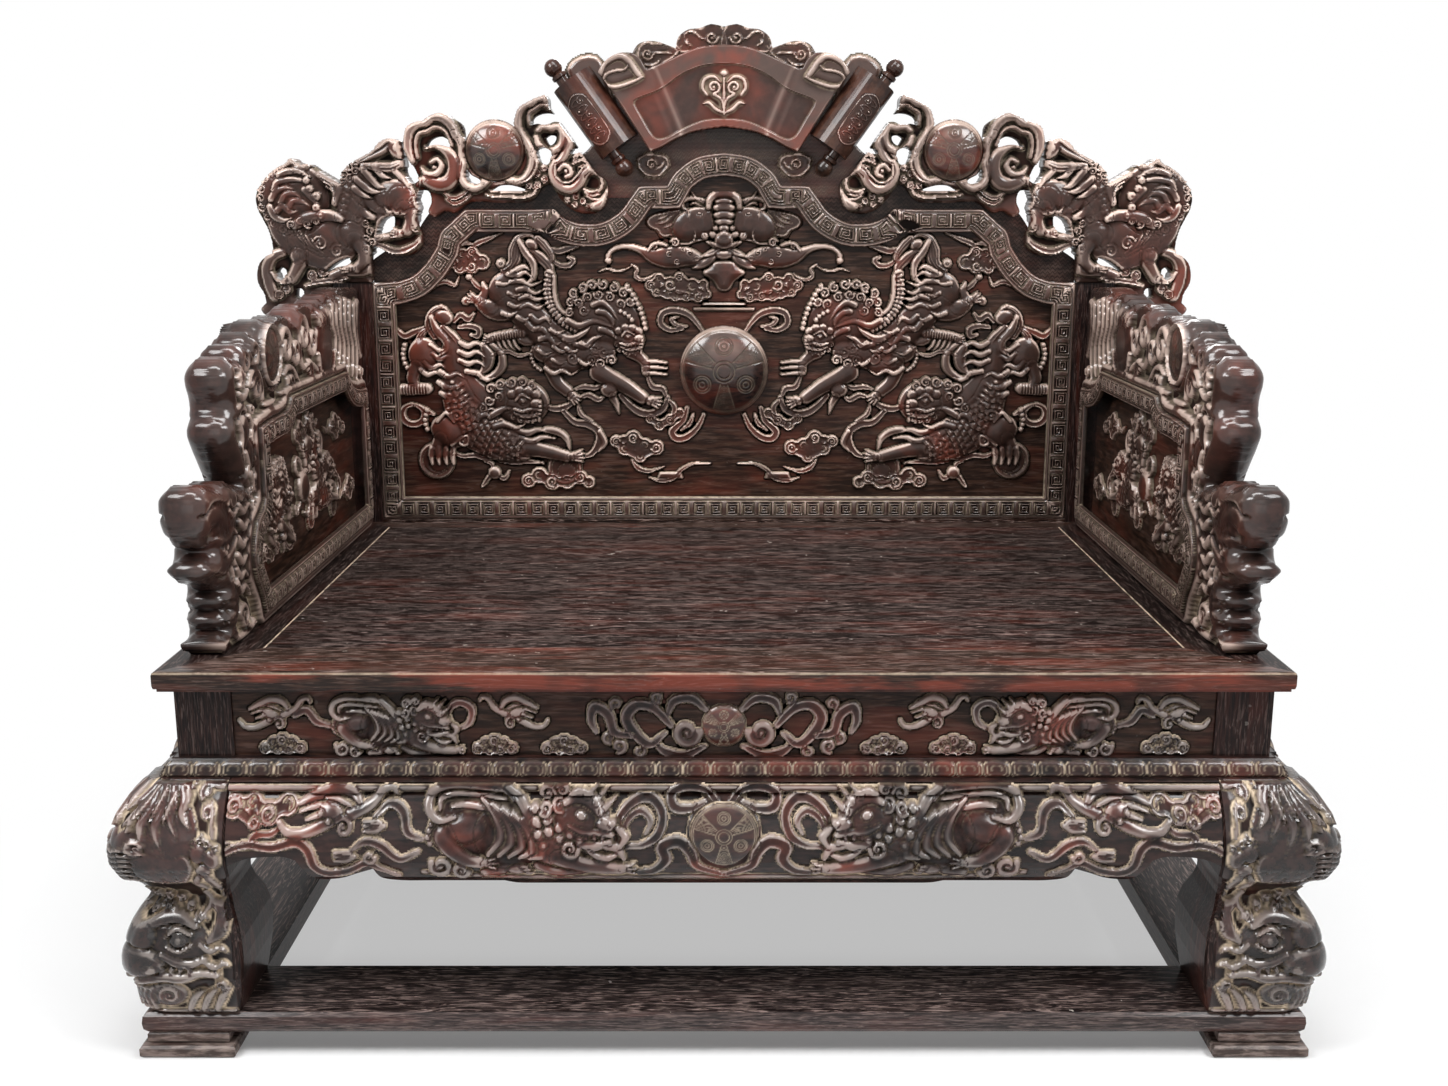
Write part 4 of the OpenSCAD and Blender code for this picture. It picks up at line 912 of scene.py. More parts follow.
def facing(names, side):
    """Triangles of solids that face a side, as corners of (u, v, height towards that side) in mm"""
    u, v, w, sign = SIDES[side]
    found = []
    for name in names:
        mesh = nodes[name].data
        mesh.calc_loop_triangles()
        co = np.zeros(len(mesh.vertices) * 3)
        mesh.vertices.foreach_get("co", co)
        ids = np.zeros(len(mesh.loop_triangles) * 3, int)
        mesh.loop_triangles.foreach_get("vertices", ids)
        tri = (co.reshape(-1, 3) / MM)[ids.reshape(-1, 3)]
        normal = np.cross(tri[:, 1] - tri[:, 0], tri[:, 2] - tri[:, 0])
        normal /= np.maximum(np.linalg.norm(normal, axis=1, keepdims=True), 1e-9)
        tri = tri[normal[:, w] * sign > 0.05]
        found.append(np.stack([tri[..., u], tri[..., v], tri[..., w] * sign], 2))
    return np.concatenate(found)


def depth_on(sheet, tri):
    """The height of the highest triangle over each grid point, and -1e9 beside them"""
    depth = np.full(sheet.U.shape, -1e9)
    for a, b, c in tri:
        i0, i1 = np.searchsorted(sheet.u, (min(a[0], b[0], c[0]) - 0.01, max(a[0], b[0], c[0]) + 0.01))
        j0, j1 = np.searchsorted(sheet.v, (min(a[1], b[1], c[1]) - 0.01, max(a[1], b[1], c[1]) + 0.01))
        area = (b[0] - a[0]) * (c[1] - a[1]) - (b[1] - a[1]) * (c[0] - a[0])
        if i0 == i1 or j0 == j1 or abs(area) < 1e-9:
            continue
        U, V = sheet.U[j0:j1, i0:i1], sheet.V[j0:j1, i0:i1]
        s = ((U - a[0]) * (c[1] - a[1]) - (V - a[1]) * (c[0] - a[0])) / area
        t = ((b[0] - a[0]) * (V - a[1]) - (b[1] - a[1]) * (U - a[0])) / area
        inside = (s > -1e-4) & (t > -1e-4) & (s + t < 1.0001)
        w = a[2] + s * (b[2] - a[2]) + t * (c[2] - a[2])
        part = depth[j0:j1, i0:i1]
        part[inside] = np.maximum(part[inside], w[inside])
    return depth


def outline_of(tri):
    """The edges that only one of the triangles has, as (n, 2, 2) points on the sheet"""
    ends = np.round(tri / 0.02).astype(int)
    seen = {}
    for k, (a, b, c) in enumerate(ends.tolist()):
        for i, (p, q) in enumerate(((a, b), (b, c), (c, a))):
            key = (tuple(p), tuple(q)) if p < q else (tuple(q), tuple(p))
            seen[key] = None if key in seen else (k, i)
    return np.array([(tri[k, i, :2], tri[k, (i + 1) % 3, :2]) for k, i in filter(None, seen.values())])


def nearest(points, segments, chunk=4000):
    """For each point the distance to the nearest segment, the nearest place on it, and which segment it is"""
    a, d = segments[:, 0], segments[:, 1] - segments[:, 0]
    length2 = np.maximum((d ** 2).sum(1), 1e-9)
    count = len(points)
    off, place, which = np.empty(count), np.empty((count, 2)), np.empty(count, int)
    # A part of the points at a time, to spare memory
    for s in range(0, count, chunk):
        p = points[s:s + chunk]
        r = p[:, None] - a
        t = np.clip((r * d).sum(2) / length2, 0, 1)
        near = a + t[..., None] * d
        q = np.hypot(*(p[:, None] - near).transpose(2, 0, 1))
        best = q.argmin(1)
        row = np.arange(len(p))
        off[s:s + chunk], place[s:s + chunk], which[s:s + chunk] = q[row, best], near[row, best], best
    return off, place, which


class Board(Sheet):
    """A sheet that takes its outline from solids, seen from one side"""

    def __init__(self, names, side, cell=1.6, box=None, edge=4.0, drop=4.0):
        tri = facing(names, side)
        low, high = tri[..., :2].min((0, 1)), tri[..., :2].max((0, 1))
        if box is not None:
            low, high = np.maximum(low, box[:2]), np.minimum(high, box[2:])
        super().__init__(low[0], high[0], low[1], high[1], cell)
        # Grid points that fall just inside the outline
        self.depth = depth_on(self, tri)
        self.inside = self.depth > -1e8
        self.segments = outline_of(tri)
        corners = (self.inside[:-1, :-1], self.inside[1:, 1:], self.inside[:-1, 1:], self.inside[1:, :-1])
        self.keep = sum(corner.astype(int) for corner in corners) >= 3
        self.face = self.depth[self.inside].max() if self.inside.any() else 0.0
        off = np.full(self.U.shape, 1e9)
        near = softened(self.inside.astype(float), (edge + 3) / self.cell) < 0.999
        near &= softened(self.inside.astype(float), 1) > 0.001
        points = np.stack([self.U[near], self.V[near]], 1)
        if len(points):
            off[near] = nearest(points, self.segments)[0]
        self.off = np.where(self.inside, off, 0)
        r = np.clip(self.off / edge, 0, 1)
        self.h = -drop * (1 - np.sqrt(np.clip(1 - (1 - r) ** 2, 0, 1)))


def snapped(board, i, j, keep):
    """Places of grid points, with those on the border of what is kept drawn onto the solid's outline"""
    around = np.zeros((board.nv + 1, board.nu + 1), int)
    for dj in (0, 1):
        for di in (0, 1):
            around[dj:board.nv + dj, di:board.nu + di] += keep
    u, v = board.u[i].copy(), board.v[j].copy()
    border = around[j, i] < 4
    off, place, _ = nearest(np.stack([u[border], v[border]], 1), board.segments)
    close = off < board.cell * 1.6
    ids = np.flatnonzero(border)[close]
    u[ids], v[ids] = place[close, 0], place[close, 1]
    return u, v


# %% [markdown]
# Three more tools for boards. A hollow cuts a shape down instead of raising it. A turned view reads a solid
# that stands aslant. And where a solid's face is curved, as on the aprons, the sheet keeps that curve as
# its ground, so that the relief rides on it and its border drops into it.

# %% Hollows and curved grounds
def hollow(pen, points, level, edge=1.0):
    """Cuts a shape down to a level, with soft sides"""
    sheet = pen.sheet
    before = sheet.h
    sheet.h = np.full(before.shape, -99.0)
    pen.patch(points, 0.0, 1.0, edge, 0)
    cut, sheet.h = sheet.h, before
    sheet.h = np.where(cut > -50, np.minimum(before, level + (1 - np.clip(cut, 0, 1)) * (before - level)),
                       before)


class Overlay(Sheet):
    """A sheet that lies on the faces of solids, which give its ground"""

    def __init__(self, names, side, cell=1.6, box=None, turn=0.0, about=(0, 0)):
        tri = facing(names, side)
        c, s = math.cos(turn), math.sin(turn)
        x, y = tri[..., 0] - about[0], tri[..., 1] - about[1]
        tri = np.stack([x * c + y * s, y * c - x * s, tri[..., 2]], 2)
        low, high = tri[..., :2].min((0, 1)), tri[..., :2].max((0, 1))
        if box is not None:
            low, high = np.maximum(low, box[:2]), np.minimum(high, box[2:])
        super().__init__(low[0], high[0], low[1], high[1], cell)
        depth = depth_on(self, tri)
        self.inside = depth > -1e8
        self.face = depth[self.inside].max()
        self.ground = np.where(self.inside, depth - self.face, 0)
        self.turned = (c, s, about)

    def straight(self, place):
        """A placing function that first turns the sheet back upright"""
        c, s, about = self.turned
        return lambda u, v, h: place(about[0] + u * c - v * s, about[1] + u * s + v * c, h)


# %% [markdown]
# ## The back panel's two pairs of lions
# Each half of the back shows two guardian lions tumbling after a ball: an upper one that twists round with
# its mane flying, and a lower one with a scaled body. They are the deepest carving on the throne, about 14
# mm high, with smooth bulging haunches set against crisp curls. The panel itself stays the frame's own
# board; the figures are a piece of their own, and the other half is its mirror image, as it is on the real
# one.

# %% Back panel: the upper lion
panel_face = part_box("back_panel")[0].y / MM
SQUARE = 3.55


def upper_lion(pen):
    ribbon(pen, [(74, 13), (79, 14.5), (83, 13.5), (88, 12.3)], 1.5)
    ribbon(pen, [(76, 18.5), (80, 21), (84, 21), (86, 18.6), (83.5, 17.2)], 1.3)
    ribbon(pen, [(45, 33), (41, 30), (38, 26.5)], 1.2)
    pen.mound((37.6, 26.3), 1.5, level=3)
    # Tail: a sheaf of long locks thrown up and over
    locks(pen, [[(54, 23), (57.5, 20), (58, 14), (61, 8.5), (66, 7), (70, 10)],
                [(56, 24), (60, 18), (61, 12), (64, 10.5)],
                [(70, 9), (73, 12), (76, 17), (74.5, 23)]], 1.9, 4.5, 4.5, "locks")
    pen.stroke([(67, 14), (71, 17.5), (75, 22), (73.5, 25)], [1.2, 2.4, 2.2, 1.2], 5.5, 3.5, "locks")
    pen.stroke([(61.5, 10), (64, 15), (67.5, 20), (67.5, 26), (63, 31)], [1.2, 1.7, 1.7, 1.3, 0.4], 8, 4.0)
    pen.mound((67, 11.5), (3.0, 2.2), 30, 6, 4.5)
    pen.mound((52.6, 20.2), 2.3, level=5, rise=5)
    pen.curl((52.6, 20.2), 1.5, 1, 0, 1, 0.45, 8.5, 1.5)
    # Haunch with flame-like hair
    pen.mound((56, 34), (9.5, 10.5), -20, 3.5, 9.5)
    locks(pen, [[(56, 25), (60, 25.5), (64, 24), (68, 27.5)], [(57, 28.5), (62, 28), (66, 30), (71, 28.5)],
                [(60, 32), (64, 31.5), (68, 33.5), (72.5, 32)],
                [(61, 36), (65, 35), (69, 36.5), (73, 35.5)], [(61, 40), (65, 39), (69, 40.5), (73, 38.5)],
                [(58, 24), (63, 21.5), (66, 23)]], 1.25, 11.0, 3.4)
    locks(pen, [[(51, 29), (54.5, 29.6), (58, 28)], [(56, 33.4), (59, 35), (62.4, 33.6)],
                [(56, 38.4), (59, 39.8), (62, 38.4)], [(53, 42.6), (56.4, 43.6), (60, 42)]], 1.1, 12.6, 2.6)
    # Hind leg thrown out to the left
    pen.stroke([(57, 40), (52, 42), (47, 41.5), (43, 38)], [5.5, 4.4, 3.6, 3.2], 4.5, 7)
    pen.mound((46.5, 40), (4.4, 3.4), 15, 6, 6)
    pen.stroke([(43.5, 36), (45, 32.5), (44, 29)], [2.2, 1.8, 0.8], 4.5, 4)
    paw(pen, (40.5, 36.5), 2.5, 200, 5.5)
    pen.mound((35.8, 37.2), 2.0, level=3.5, rise=4)
    # Second hind leg, foot with ringed shank
    pen.stroke([(64, 47), (60, 50), (62, 55), (66, 56)], [3, 2.6, 2.4, 2], 3.5, 4.5)
    pen.stroke([(62, 52), (56, 52.5), (50, 53.5), (46, 54.5)], [2.2, 2.3, 2.2, 2.0], 4.0, 5.0,
               texture=ringed(1.5, 1.0))
    paw(pen, (46.5, 55), 2.0, 185, 4.5)
    for x in (50, 52.5, 55, 57.5):
        pen.stroke([(x, 55.5), (x + 1, 58), (x + 3, 60)], [0.8, 0.7, 0.25], 4, 3)
    ribbon(pen, [(47, 62), (51, 61), (55, 60.5), (60, 62.5), (66, 61)], 1.0)
    # Trunk, twisting from the haunch to the shoulder
    pen.stroke([(63, 42), (69, 48), (76, 55), (85, 61), (94, 60)], [7.5, 7.5, 8, 8, 7], 4, 9)
    locks(pen, [[(66, 44), (69, 46.5), (73, 45), (75, 48)], [(67, 50), (71, 50), (74, 52.5), (78, 51.5)],
                [(70, 54.5), (74, 54), (77, 57), (80, 56)], [(64, 47), (67, 50), (70, 49)]], 1.4, 12.4, 3.0)
    locks(pen, [[(60, 44.5), (63, 46), (66, 44.4)], [(75, 50.5), (78, 52), (81.5, 50.6)],
                [(81, 54.5), (84, 56), (87.5, 54.4)], [(82, 59), (85, 60.6), (88.5, 59)],
                [(89, 56.5), (92, 57.8), (95, 56.4)]], 1.2, 12.8, 2.8)
    spine(pen, [(75.5, 24), (74, 29), (74, 35), (76, 41), (81, 47), (87, 50)], 2.1, 9.5)
    pen.stroke([(77, 26), (77, 33), (78.5, 39.5), (83, 44)], [1.0, 1.1, 0.9], 9, 2.6)
    # Shoulders and chest
    pen.mound((73, 61), (7.0, 5.0), 10, 5.5, 8)
    beads(pen, [(66.5, 58.5), (65.6, 63), (67, 67), (70, 69.5)], 0.95, 4, 3)
    pen.mound((80, 66), (8.5, 5), 5, 6.0, 8)
    locks(pen, [[(72, 68), (76, 70.5), (80, 69), (84, 71), (88, 69)], [(76, 58), (80, 60.5), (84, 59)],
                [(69, 59.5), (72, 61.6), (76, 60.4)], [(75.5, 64), (79, 66), (82, 64.6)],
                [(88, 64.6), (91, 66.4), (93.6, 65)]],
          1.0, 12.6, 2.8)
    pen.curl((85, 63.5), 2.6, 1.4, 10, 1, 0.8, 12, 2.4)
    pen.mound((99, 60), (6, 5.5), 0, 6, 6)
    for k, (x, y, r) in enumerate(((95.5, 59, 2.4), (99.5, 61, 2.6), (94, 64.5, 2.3), (98, 66, 2.4),
                                   (103, 64.5, 2.4))):
        pen.curl((x, y), r, 1.2, 40 * k, 1, 0.6, 9.5, 2.6)
    # Head with its curly mane
    pen.mound((100, 46), (16.5, 13.5), 10, 3.5, 9)
    for k, (x, y, r) in enumerate((
            (84.5, 38, 2.2), (86, 33.5, 2.2), (90, 31, 2.2), (94.5, 30, 2.3), (99.5, 29.6, 2.4),
            (104.5, 31, 2.3), (109, 33.5, 2.3), (112, 37.5, 2.0), (88, 38, 2.2), (92.5, 35.5, 2.3),
            (97.5, 34.3, 2.3), (102.5, 35.4, 2.2), (84, 42.5, 2.0), (90.5, 41.5, 2.3), (107.5, 38.5, 2.2))):
        pen.curl((x, y), r, 1.3, 55 * k, 1 if k % 2 else -1, 0.62, 8.5, 3.4)
    locks(pen, [[(95, 39), (99, 38), (103, 41), (107, 46.5)], [(97, 42), (101, 43), (104, 47), (103, 50)],
                [(83, 46), (88, 48.5), (95, 46.5), (101, 48), (105, 49.5)],
                [(79, 53), (84, 54.5), (90, 52), (94, 48.5)], [(86, 57), (91, 58), (95, 54.5), (99, 53)],
                [(98, 50), (103, 52), (106, 55)]], 1.5, 11, 3.6)
    beads(pen, [(110.5, 30.5), (113.5, 35), (116, 40), (118, 45.5), (118.8, 50)], 1.25, 6, 3.6)
    beads(pen, [(107.5, 42), (111, 44), (114, 47.5)], 1.15, 10.5, 3.0)
    lion_face(pen, (111.5, 55), 5.6, 8.5)
    # Forelegs reaching for the ball
    pen.stroke([(112, 61), (116, 63), (118.5, 66), (119, 70)], [2.8, 2.6, 2.2, 2], 4.5, 5)
    for y, dy in ((65.5, 0.3), (68, 0.4), (70.5, 0.8)):
        pen.stroke([(118.5, y), (123, y + dy - 0.6), (128.5, y + dy)], [1.1, 1.0, 0.5], 4.5, 3.2)
    ribbon(pen, [(119.5, 72), (122, 77), (126.5, 78), (128.5, 82)], 1.4)
    ribbon(pen, [(107, 81), (111, 85.5), (116, 89), (122, 89.5), (127, 87), (129, 82)], 1.9)
    pen.stroke([(97, 70), (102, 73), (109, 76.5), (117, 82)], [4.6, 4.2, 3.6, 3.0], 5, 7.5)
    pen.mound((101.5, 78.5), (3.9, 3.3), 15, 6.5, 6)
    pen.stroke([(103, 81.5), (105, 85.5), (106, 90)], [1.8, 1.4, 0.3], 3, 4)
    paw(pen, (121.5, 83.5), 2.8, 15, 7)
    pen.stroke([(75, 70), (77.5, 75), (82, 79)], [3.4, 3.2, 2.8], 4, 6)
    paw(pen, (84.2, 81.4), 2.6, 40, 5)
    ribbon(pen, [(88, 82), (92, 81), (96, 83), (99, 82)], 1.3)
    ribbon(pen, [(86, 78), (90, 77), (95, 77.5), (99, 76)], 1.2)


# %% [markdown]
# The lower lion lies beneath, its tail up at the left and its head turned back over a body covered with
# round scales. Two of its paws stand on flat ruffled discs.

# %% Back panel: the lower lion
def lower_lion(pen):
    ribbon(pen, [(4.5, 51), (8, 54), (12, 52.5), (18, 50)], 1.5)
    ribbon(pen, [(31, 47.5), (34, 44.5), (37.5, 46.5), (40, 44)], 1.4)
    ribbon(pen, [(33, 50), (38, 49.5), (42, 51), (41.5, 54), (38.5, 53.5)], 1.4)
    # Flat ruffled discs under two paws
    for x, y, r in ((20.5, 111.5, 8.5), (80, 115, 8.0)):
        pen.mound((x, y), (r, r * 1.02), 0, 2.4, 1.6, 0.2)
        ring = np.radians(np.linspace(0, 360, 17))
        pen.stroke(np.stack([x + r * 0.86 * np.cos(ring), y + r * 0.88 * np.sin(ring)], 1).tolist(),
                   r * 0.1, 3.4, 1.4)
        pen.mound((x + 0.1 * r, y + 0.18 * r), (r * 0.5, r * 0.42), 0, 3.4, 1.2, 0.2)
    # Ribbon loop at the left
    ring = np.radians(np.linspace(-60, 290, 13))
    ribbon(pen, np.stack([10.5 + 5.0 * np.cos(ring), 90 + 4.6 * np.sin(ring)], 1).tolist(), 1.6, 3, 3)
    ribbon(pen, [(12, 85.6), (16, 88), (20, 90)], 1.4)
    # Tail
    locks(pen, [[(22, 54), (19.5, 49), (21, 43.5), (26, 41), (30, 44.5)],
                [(18, 60), (15, 56), (17, 52), (22, 50)]], 1.9, 4, 4.5, "locks")
    pen.stroke([(26, 50), (30.5, 55), (33, 60), (30, 66)], [1.6, 2.4, 2.2, 0.8], 5.5, 4, "locks")
    pen.stroke([(21, 45.5), (23, 51), (27, 56), (27.5, 60), (23, 63.5)], [1.3, 1.9, 1.9, 1.5, 0.4], 7.5,
               4.2)
    pen.mound((26.5, 45.5), (4.2, 3.2), 20, 5.5, 5)
    # Hind part: haunch, foot with ringed shank
    pen.mound((16.5, 62.5), (7.0, 8.0), 0, 3.5, 9)
    locks(pen, [[(17, 66), (20, 68.5), (24, 67), (27, 69)], [(15, 69), (18, 71.5), (22, 70.5), (25, 73)],
                [(21, 62), (24, 64.5), (28, 63), (31, 65.5)], [(20, 58), (24, 60.5), (27, 59.5)]], 1.2, 8,
          3.6)
    beads(pen, [(8, 58), (7, 63), (8.5, 68), (11, 71)], 1.15, 4.5, 3.6)
    pen.stroke([(13, 68), (11, 73), (12, 77.5)], [3.2, 2.8, 2.4], 4, 5)
    pen.stroke([(17.5, 78), (12, 78.3), (6, 78.5)], [2.6, 2.7, 2.5], 4.5, 5, texture=ringed(1.35, 1.1))
    # Neck mane, in rows of hanging hair
    pen.stroke([(30, 60), (31, 68), (34, 76), (42, 84)], [5, 6, 7, 7], 3.5, 7)
    locks(pen, [[(34, 57), (37, 58.5), (41, 57), (44, 59)], [(33, 61), (37, 62.5), (41, 61), (45, 63.5)],
                [(33, 65), (37, 66.5), (41, 65.5), (45, 68)], [(24, 70), (28, 72.5), (32, 71), (36, 73.5)],
                [(23, 75), (27, 77.5), (31, 76), (35, 78.5)], [(24, 80), (28, 82), (32, 80.5), (36, 83)],
                [(36, 70), (41, 71), (45, 74), (49, 73)]], 1.25, 9.8, 3.2)
    pen.stroke([(44, 58), (46, 63), (45, 68), (41, 72)], [1.6, 3.0, 2.2, 0.5], 5, 5)
    pen.stroke([(47, 57), (52, 62), (52, 68), (48, 72), (42, 73.5)], [1.2, 1.6, 2.0, 1.6, 0.5], 4, 4.5)
    # Trunk with scales
    pen.stroke([(30, 76), (33, 86), (40, 96), (50, 102), (60, 106)], [6, 8, 10.5, 9.5, 6], 4, 8.5,
               texture=scales(10, 3.0))
    beads(pen, [(29.5, 75), (30.5, 80), (34, 84.5), (38, 88)], 1.2, 11, 2.6)
    pen.mound((27, 98), (9.0, 7.2), 30, 4.5, 9.5)
    pen.curl((31, 90.5), 3.0, 1.3, 120, 1, 0.9, 10.5, 3, lead=[(22, 93), (26, 89)])
    pen.curl((33.5, 102), 2.6, 1.3, -60, 1, 0.8, 10, 3, lead=[(28, 104)])
    beads(pen, [(17, 88), (15.8, 93), (17, 98)], 1.2, 4.5, 3.4)
    # Head
    pen.mound((60, 84), (13.5, 10.5), 8, 4, 9)
    for k, (x, y, r) in enumerate(((47, 78, 2.3), (51.5, 76, 2.3), (56.5, 75, 2.3), (61.5, 75, 2.2),
                                   (66, 76.6, 2.0), (46, 83.5, 2.3), (50.5, 81.5, 2.0), (47, 89, 2.3),
                                   (51, 93.5, 2.3), (43, 87, 2.0))):
        pen.curl((x, y), r, 1.3, 70 * k, 1 if k % 2 else -1, 0.62, 8.5, 3.4)
    locks(pen, [[(46, 91), (50, 88.5), (54, 87), (58, 88.5)],
                [(48, 95.5), (53, 94.5), (58, 96), (62, 94.5)], [(40, 92), (44, 90), (47, 92)]], 1.5, 10,
          3.6)
    lion_face(pen, (62.5, 85.5), 6.6, 8.5)
    # Body hair down to the forelegs
    locks(pen, [[(58, 97), (63, 98.5), (68, 97), (73, 98)],
                [(60, 101), (65, 102.5), (70, 100.5), (76, 101)]], 1.5, 8, 3.4)
    pen.stroke([(72, 97), (77, 98), (81, 101), (82.5, 106)], [1.6, 1.8, 1.5, 0.6], 5, 4)
    beads(pen, [(46, 106), (51, 108), (56, 108.5)], 1.5, 7, 3)
    pen.stroke([(57, 105.5), (65, 106), (73, 107.5), (81, 109.5)], [4.2, 3.6, 3.2, 2.7], 5, 6.5)
    pen.curl((57, 106.5), 2.6, 1.2, 0, 1, 0.8, 10, 2.4)
    paw(pen, (84.3, 109.6), 2.8, 355, 6)
    pen.stroke([(23, 101), (21, 105), (21.5, 108)], [3.2, 2.8, 2.6], 4.5, 5.5)
    for x in (18.2, 21.4, 24.8, 28):
        pen.stroke([(x + 0.5, 105.5), (x, 109), (x + 0.4, 113)], [1.4, 1.5, 0.7], 5.5, 4.5)
    ribbon(pen, [(29, 108), (33, 109.5), (38, 109), (43, 110.5), (50, 110)], 1.2)
    ribbon(pen, [(50, 112), (57, 112.6), (64, 112), (70, 112.8)], 0.9)
    # Ribbons that fly back from the head
    ribbon(pen, [(71, 86), (76, 87.5), (81, 86.5), (86, 83.5)], 1.5)
    ribbon(pen, [(80, 88.5), (85, 93.5), (91, 94.5), (96, 98), (96, 103.5), (93, 108), (90, 109.5)], 1.9)
    ribbon(pen, [(86.5, 85), (88, 90), (93, 93)], 1.1)
    pen.stroke([(96.5, 98), (98.5, 103), (96, 107)], [1.3, 1.5, 0.6], 4, 3)


# %% [markdown]
# Between and round the lions float clouds with curling wisps, a small ball with ribbons, and in the middle
# the ribbons tied round the great ball. The whole half is one sheet of 1.6 mm squares.

# %% Back panel: clouds, ribbons and the finished halves
def half_of_the_back():
    half = Sheet(-548, 8, 480, 950)
    # The drawing's corner lies at the panel's upper left, above the key moulding
    upper = Pen(half, (-545.0, 957.0), SQUARE * 0.988)
    lower = Pen(half, (-550.5, 963.0), SQUARE * 1.007)
    cloud(upper, [(31, 19.5, 2.6), (35, 16, 2.6), (39.5, 15, 2.4), (44, 19.5, 3.2), (39, 21.5, 3.0),
                  (33.5, 22, 2.6)],
          [([(38, 14), (42, 11), (47, 9), (54, 6)], 1.3), ([(33, 12.6), (37, 11), (42, 12)], 1.0),
           ([(12, 33.5), (18, 32.5), (22, 29.5), (27, 28.5), (31, 30), (33, 26)], 1.3)])
    cloud(lower, [(104, 102.5, 2.6), (108, 106, 3.0), (112, 101, 3.2), (117, 104.5, 3.2),
                  (122.5, 105.5, 3.2), (115, 109.5, 2.8)],
          [([(111, 111), (114, 115), (119, 116.5), (126, 114.6)], 1.2),
           ([(119, 119.5), (124, 121), (130, 120), (134, 116), (140, 113), (148, 113)], 1.1)])
    lower.patch([(124, 117), (134, 117), (135, 120), (123, 120)], 2.5, 2.0, 0.8, smooth=False)
    cloud(lower, [(63, 121, 3.0), (68, 118.5, 3.4), (74, 121.5, 3.6), (81, 121.5, 3.2), (87, 119.5, 3.0),
                  (91, 121.8, 2.6)])
    ribbon(lower, [(41.5, 123.5), (44.5, 119.5), (47, 117)], 1.3)
    ribbon(lower, [(47, 117), (51.5, 120), (54, 116.5)], 1.1)
    ribbon(lower, [(47, 117), (46, 113), (43, 112)], 0.9)
    lower.mound((47.3, 117.2), 3.0, 0, 3, 6)
    lower_lion(lower)
    upper_lion(upper)
    # Ribbons of the great ball: a bow above it and tassels below
    for pts, w in (([(136, 50), (130, 50.5), (126, 47.5), (127, 43), (132, 41.5), (138, 43), (142, 46.5),
                     (146, 52)], 1.6),
                   ([(138, 49), (133, 48), (131, 45.6), (134, 44.6)], 0.9),
                   ([(138, 87), (136, 93), (131, 98), (133, 101.5), (138, 100.6), (143, 96), (146, 90)],
                    1.7),
                   ([(141, 90), (139, 94.5), (135, 97.5)], 1.1),
                   ([(129, 83), (132, 86.5), (131, 91), (127, 94)], 1.3)):
        ribbon(upper, pts, w, 2.6, 2.8)
    cloud(upper, [(121, 92, 2.2), (125, 95, 2.4), (130, 92.5, 2.4), (134.5, 89.5, 2.2)])
    return half


panel_half = half_of_the_back()
figures = carve("back_figures_left", panel_half, front(panel_face), carved_dark)
mirrored(figures, "back_figures_right")

# %% [markdown]
# ## The bat, the clouds below it and the great ball
# A bat with spread wings means good fortune, and hangs under the arch with clouds beneath. It is
# symmetrical, so only its left half is drawn, and the sheet is folded over. The ball in the middle is the
# frame's own dome made finer, engraved with rings and fans of lattice: engraving is a few tenths of a
# millimetre, so its rings are drawn by distance and cut as shallow grooves in the dome's height.

# %% The bat
def folded(sheet):
    """The sheet with its left half also mirrored onto its right"""
    sheet.h = np.maximum(sheet.h, sheet.h[:, ::-1])
    return sheet


bat = Sheet(-222, 222, 800, 1000, 1.6)
pen = Pen(bat, (-213.3, 1017.6), 2.74)
MID = 77.85
pen.patch([(52, 17), (43, 18), (36, 20), (32, 23.5), (34, 27), (38, 29), (41, 33), (46, 32.5), (52, 34)],
          1.2, 1.6, 1.5)
pen.stroke([(51, 17.5), (43, 19), (36.5, 20.6), (33.4, 23.5), (35, 26.4), (39, 28.4), (42, 31.6),
            (47, 31.4)], 0.5, 3, 1.2)
for pts in ([(38, 25), (43, 24), (48, 20)], [(39, 22.5), (42, 21.5), (46, 19)],
            [(42, 27.5), (46, 26), (49, 24)]):
    pen.stroke(pts, [0.4, 1.0, 0.3], 2.6, 1.8)
pen.stroke([(70, 17), (67, 12.5), (62, 10.5), (57, 10.5), (53.5, 13), (54.5, 16.5), (58, 17)],
           [0.9, 1.0, 0.9, 0.6], 2.5, 2.5)
pen.stroke([(66, 13), (62.5, 11), (60, 8.5), (58.5, 6)], [0.9, 0.6, 0.2], 2.5, 2.2)
pen.stroke([(65, 15.5), (61, 13), (58.5, 14)], [0.6, 0.7, 0.3], 2.5, 2.0)
pen.patch([(69, 16), (62, 15.4), (55, 17.5), (49.5, 22), (47.6, 28), (50, 33), (56, 35.3), (61, 34),
           (67, 33), (72, 28), (71, 20)], 3, 7, 6)
pen.stroke([(57, 17.5), (58, 24), (61, 30), (60.3, 34.2)], 0.45, 9.6, 0.8, groove=0.5)
pen.curl((63.8, 19.5), 1.5, 1.0, 0, 1, 0.4, 9, 1)
pen.stroke([(52, 36.5), (57, 36.4), (61, 34.8), (67, 34)], [0.5, 0.8, 0.6], 4, 2.6)
pen.stroke([(61, 45), (57, 44), (50, 44), (43, 44.3), (36, 43.7), (30, 40.6), (23, 38.2), (15, 38.6),
            (10.2, 42), (9.4, 46)], [4.2, 5.2, 6.4, 6.0, 4.0, 2.3, 1.7, 1.4, 1.2, 1.5], 3.0, (7, 4))
pen.mound((9.6, 46.2), 1.9, 0, 4, 4)
pen.stroke([(33, 41), (36, 37), (40, 36.2), (44, 37.5)], [0.7, 1.3, 0.9], 6, 3)
pen.curl((49, 35.8), 2.5, 1.3, 200, 1, 0.7, 7, 3)
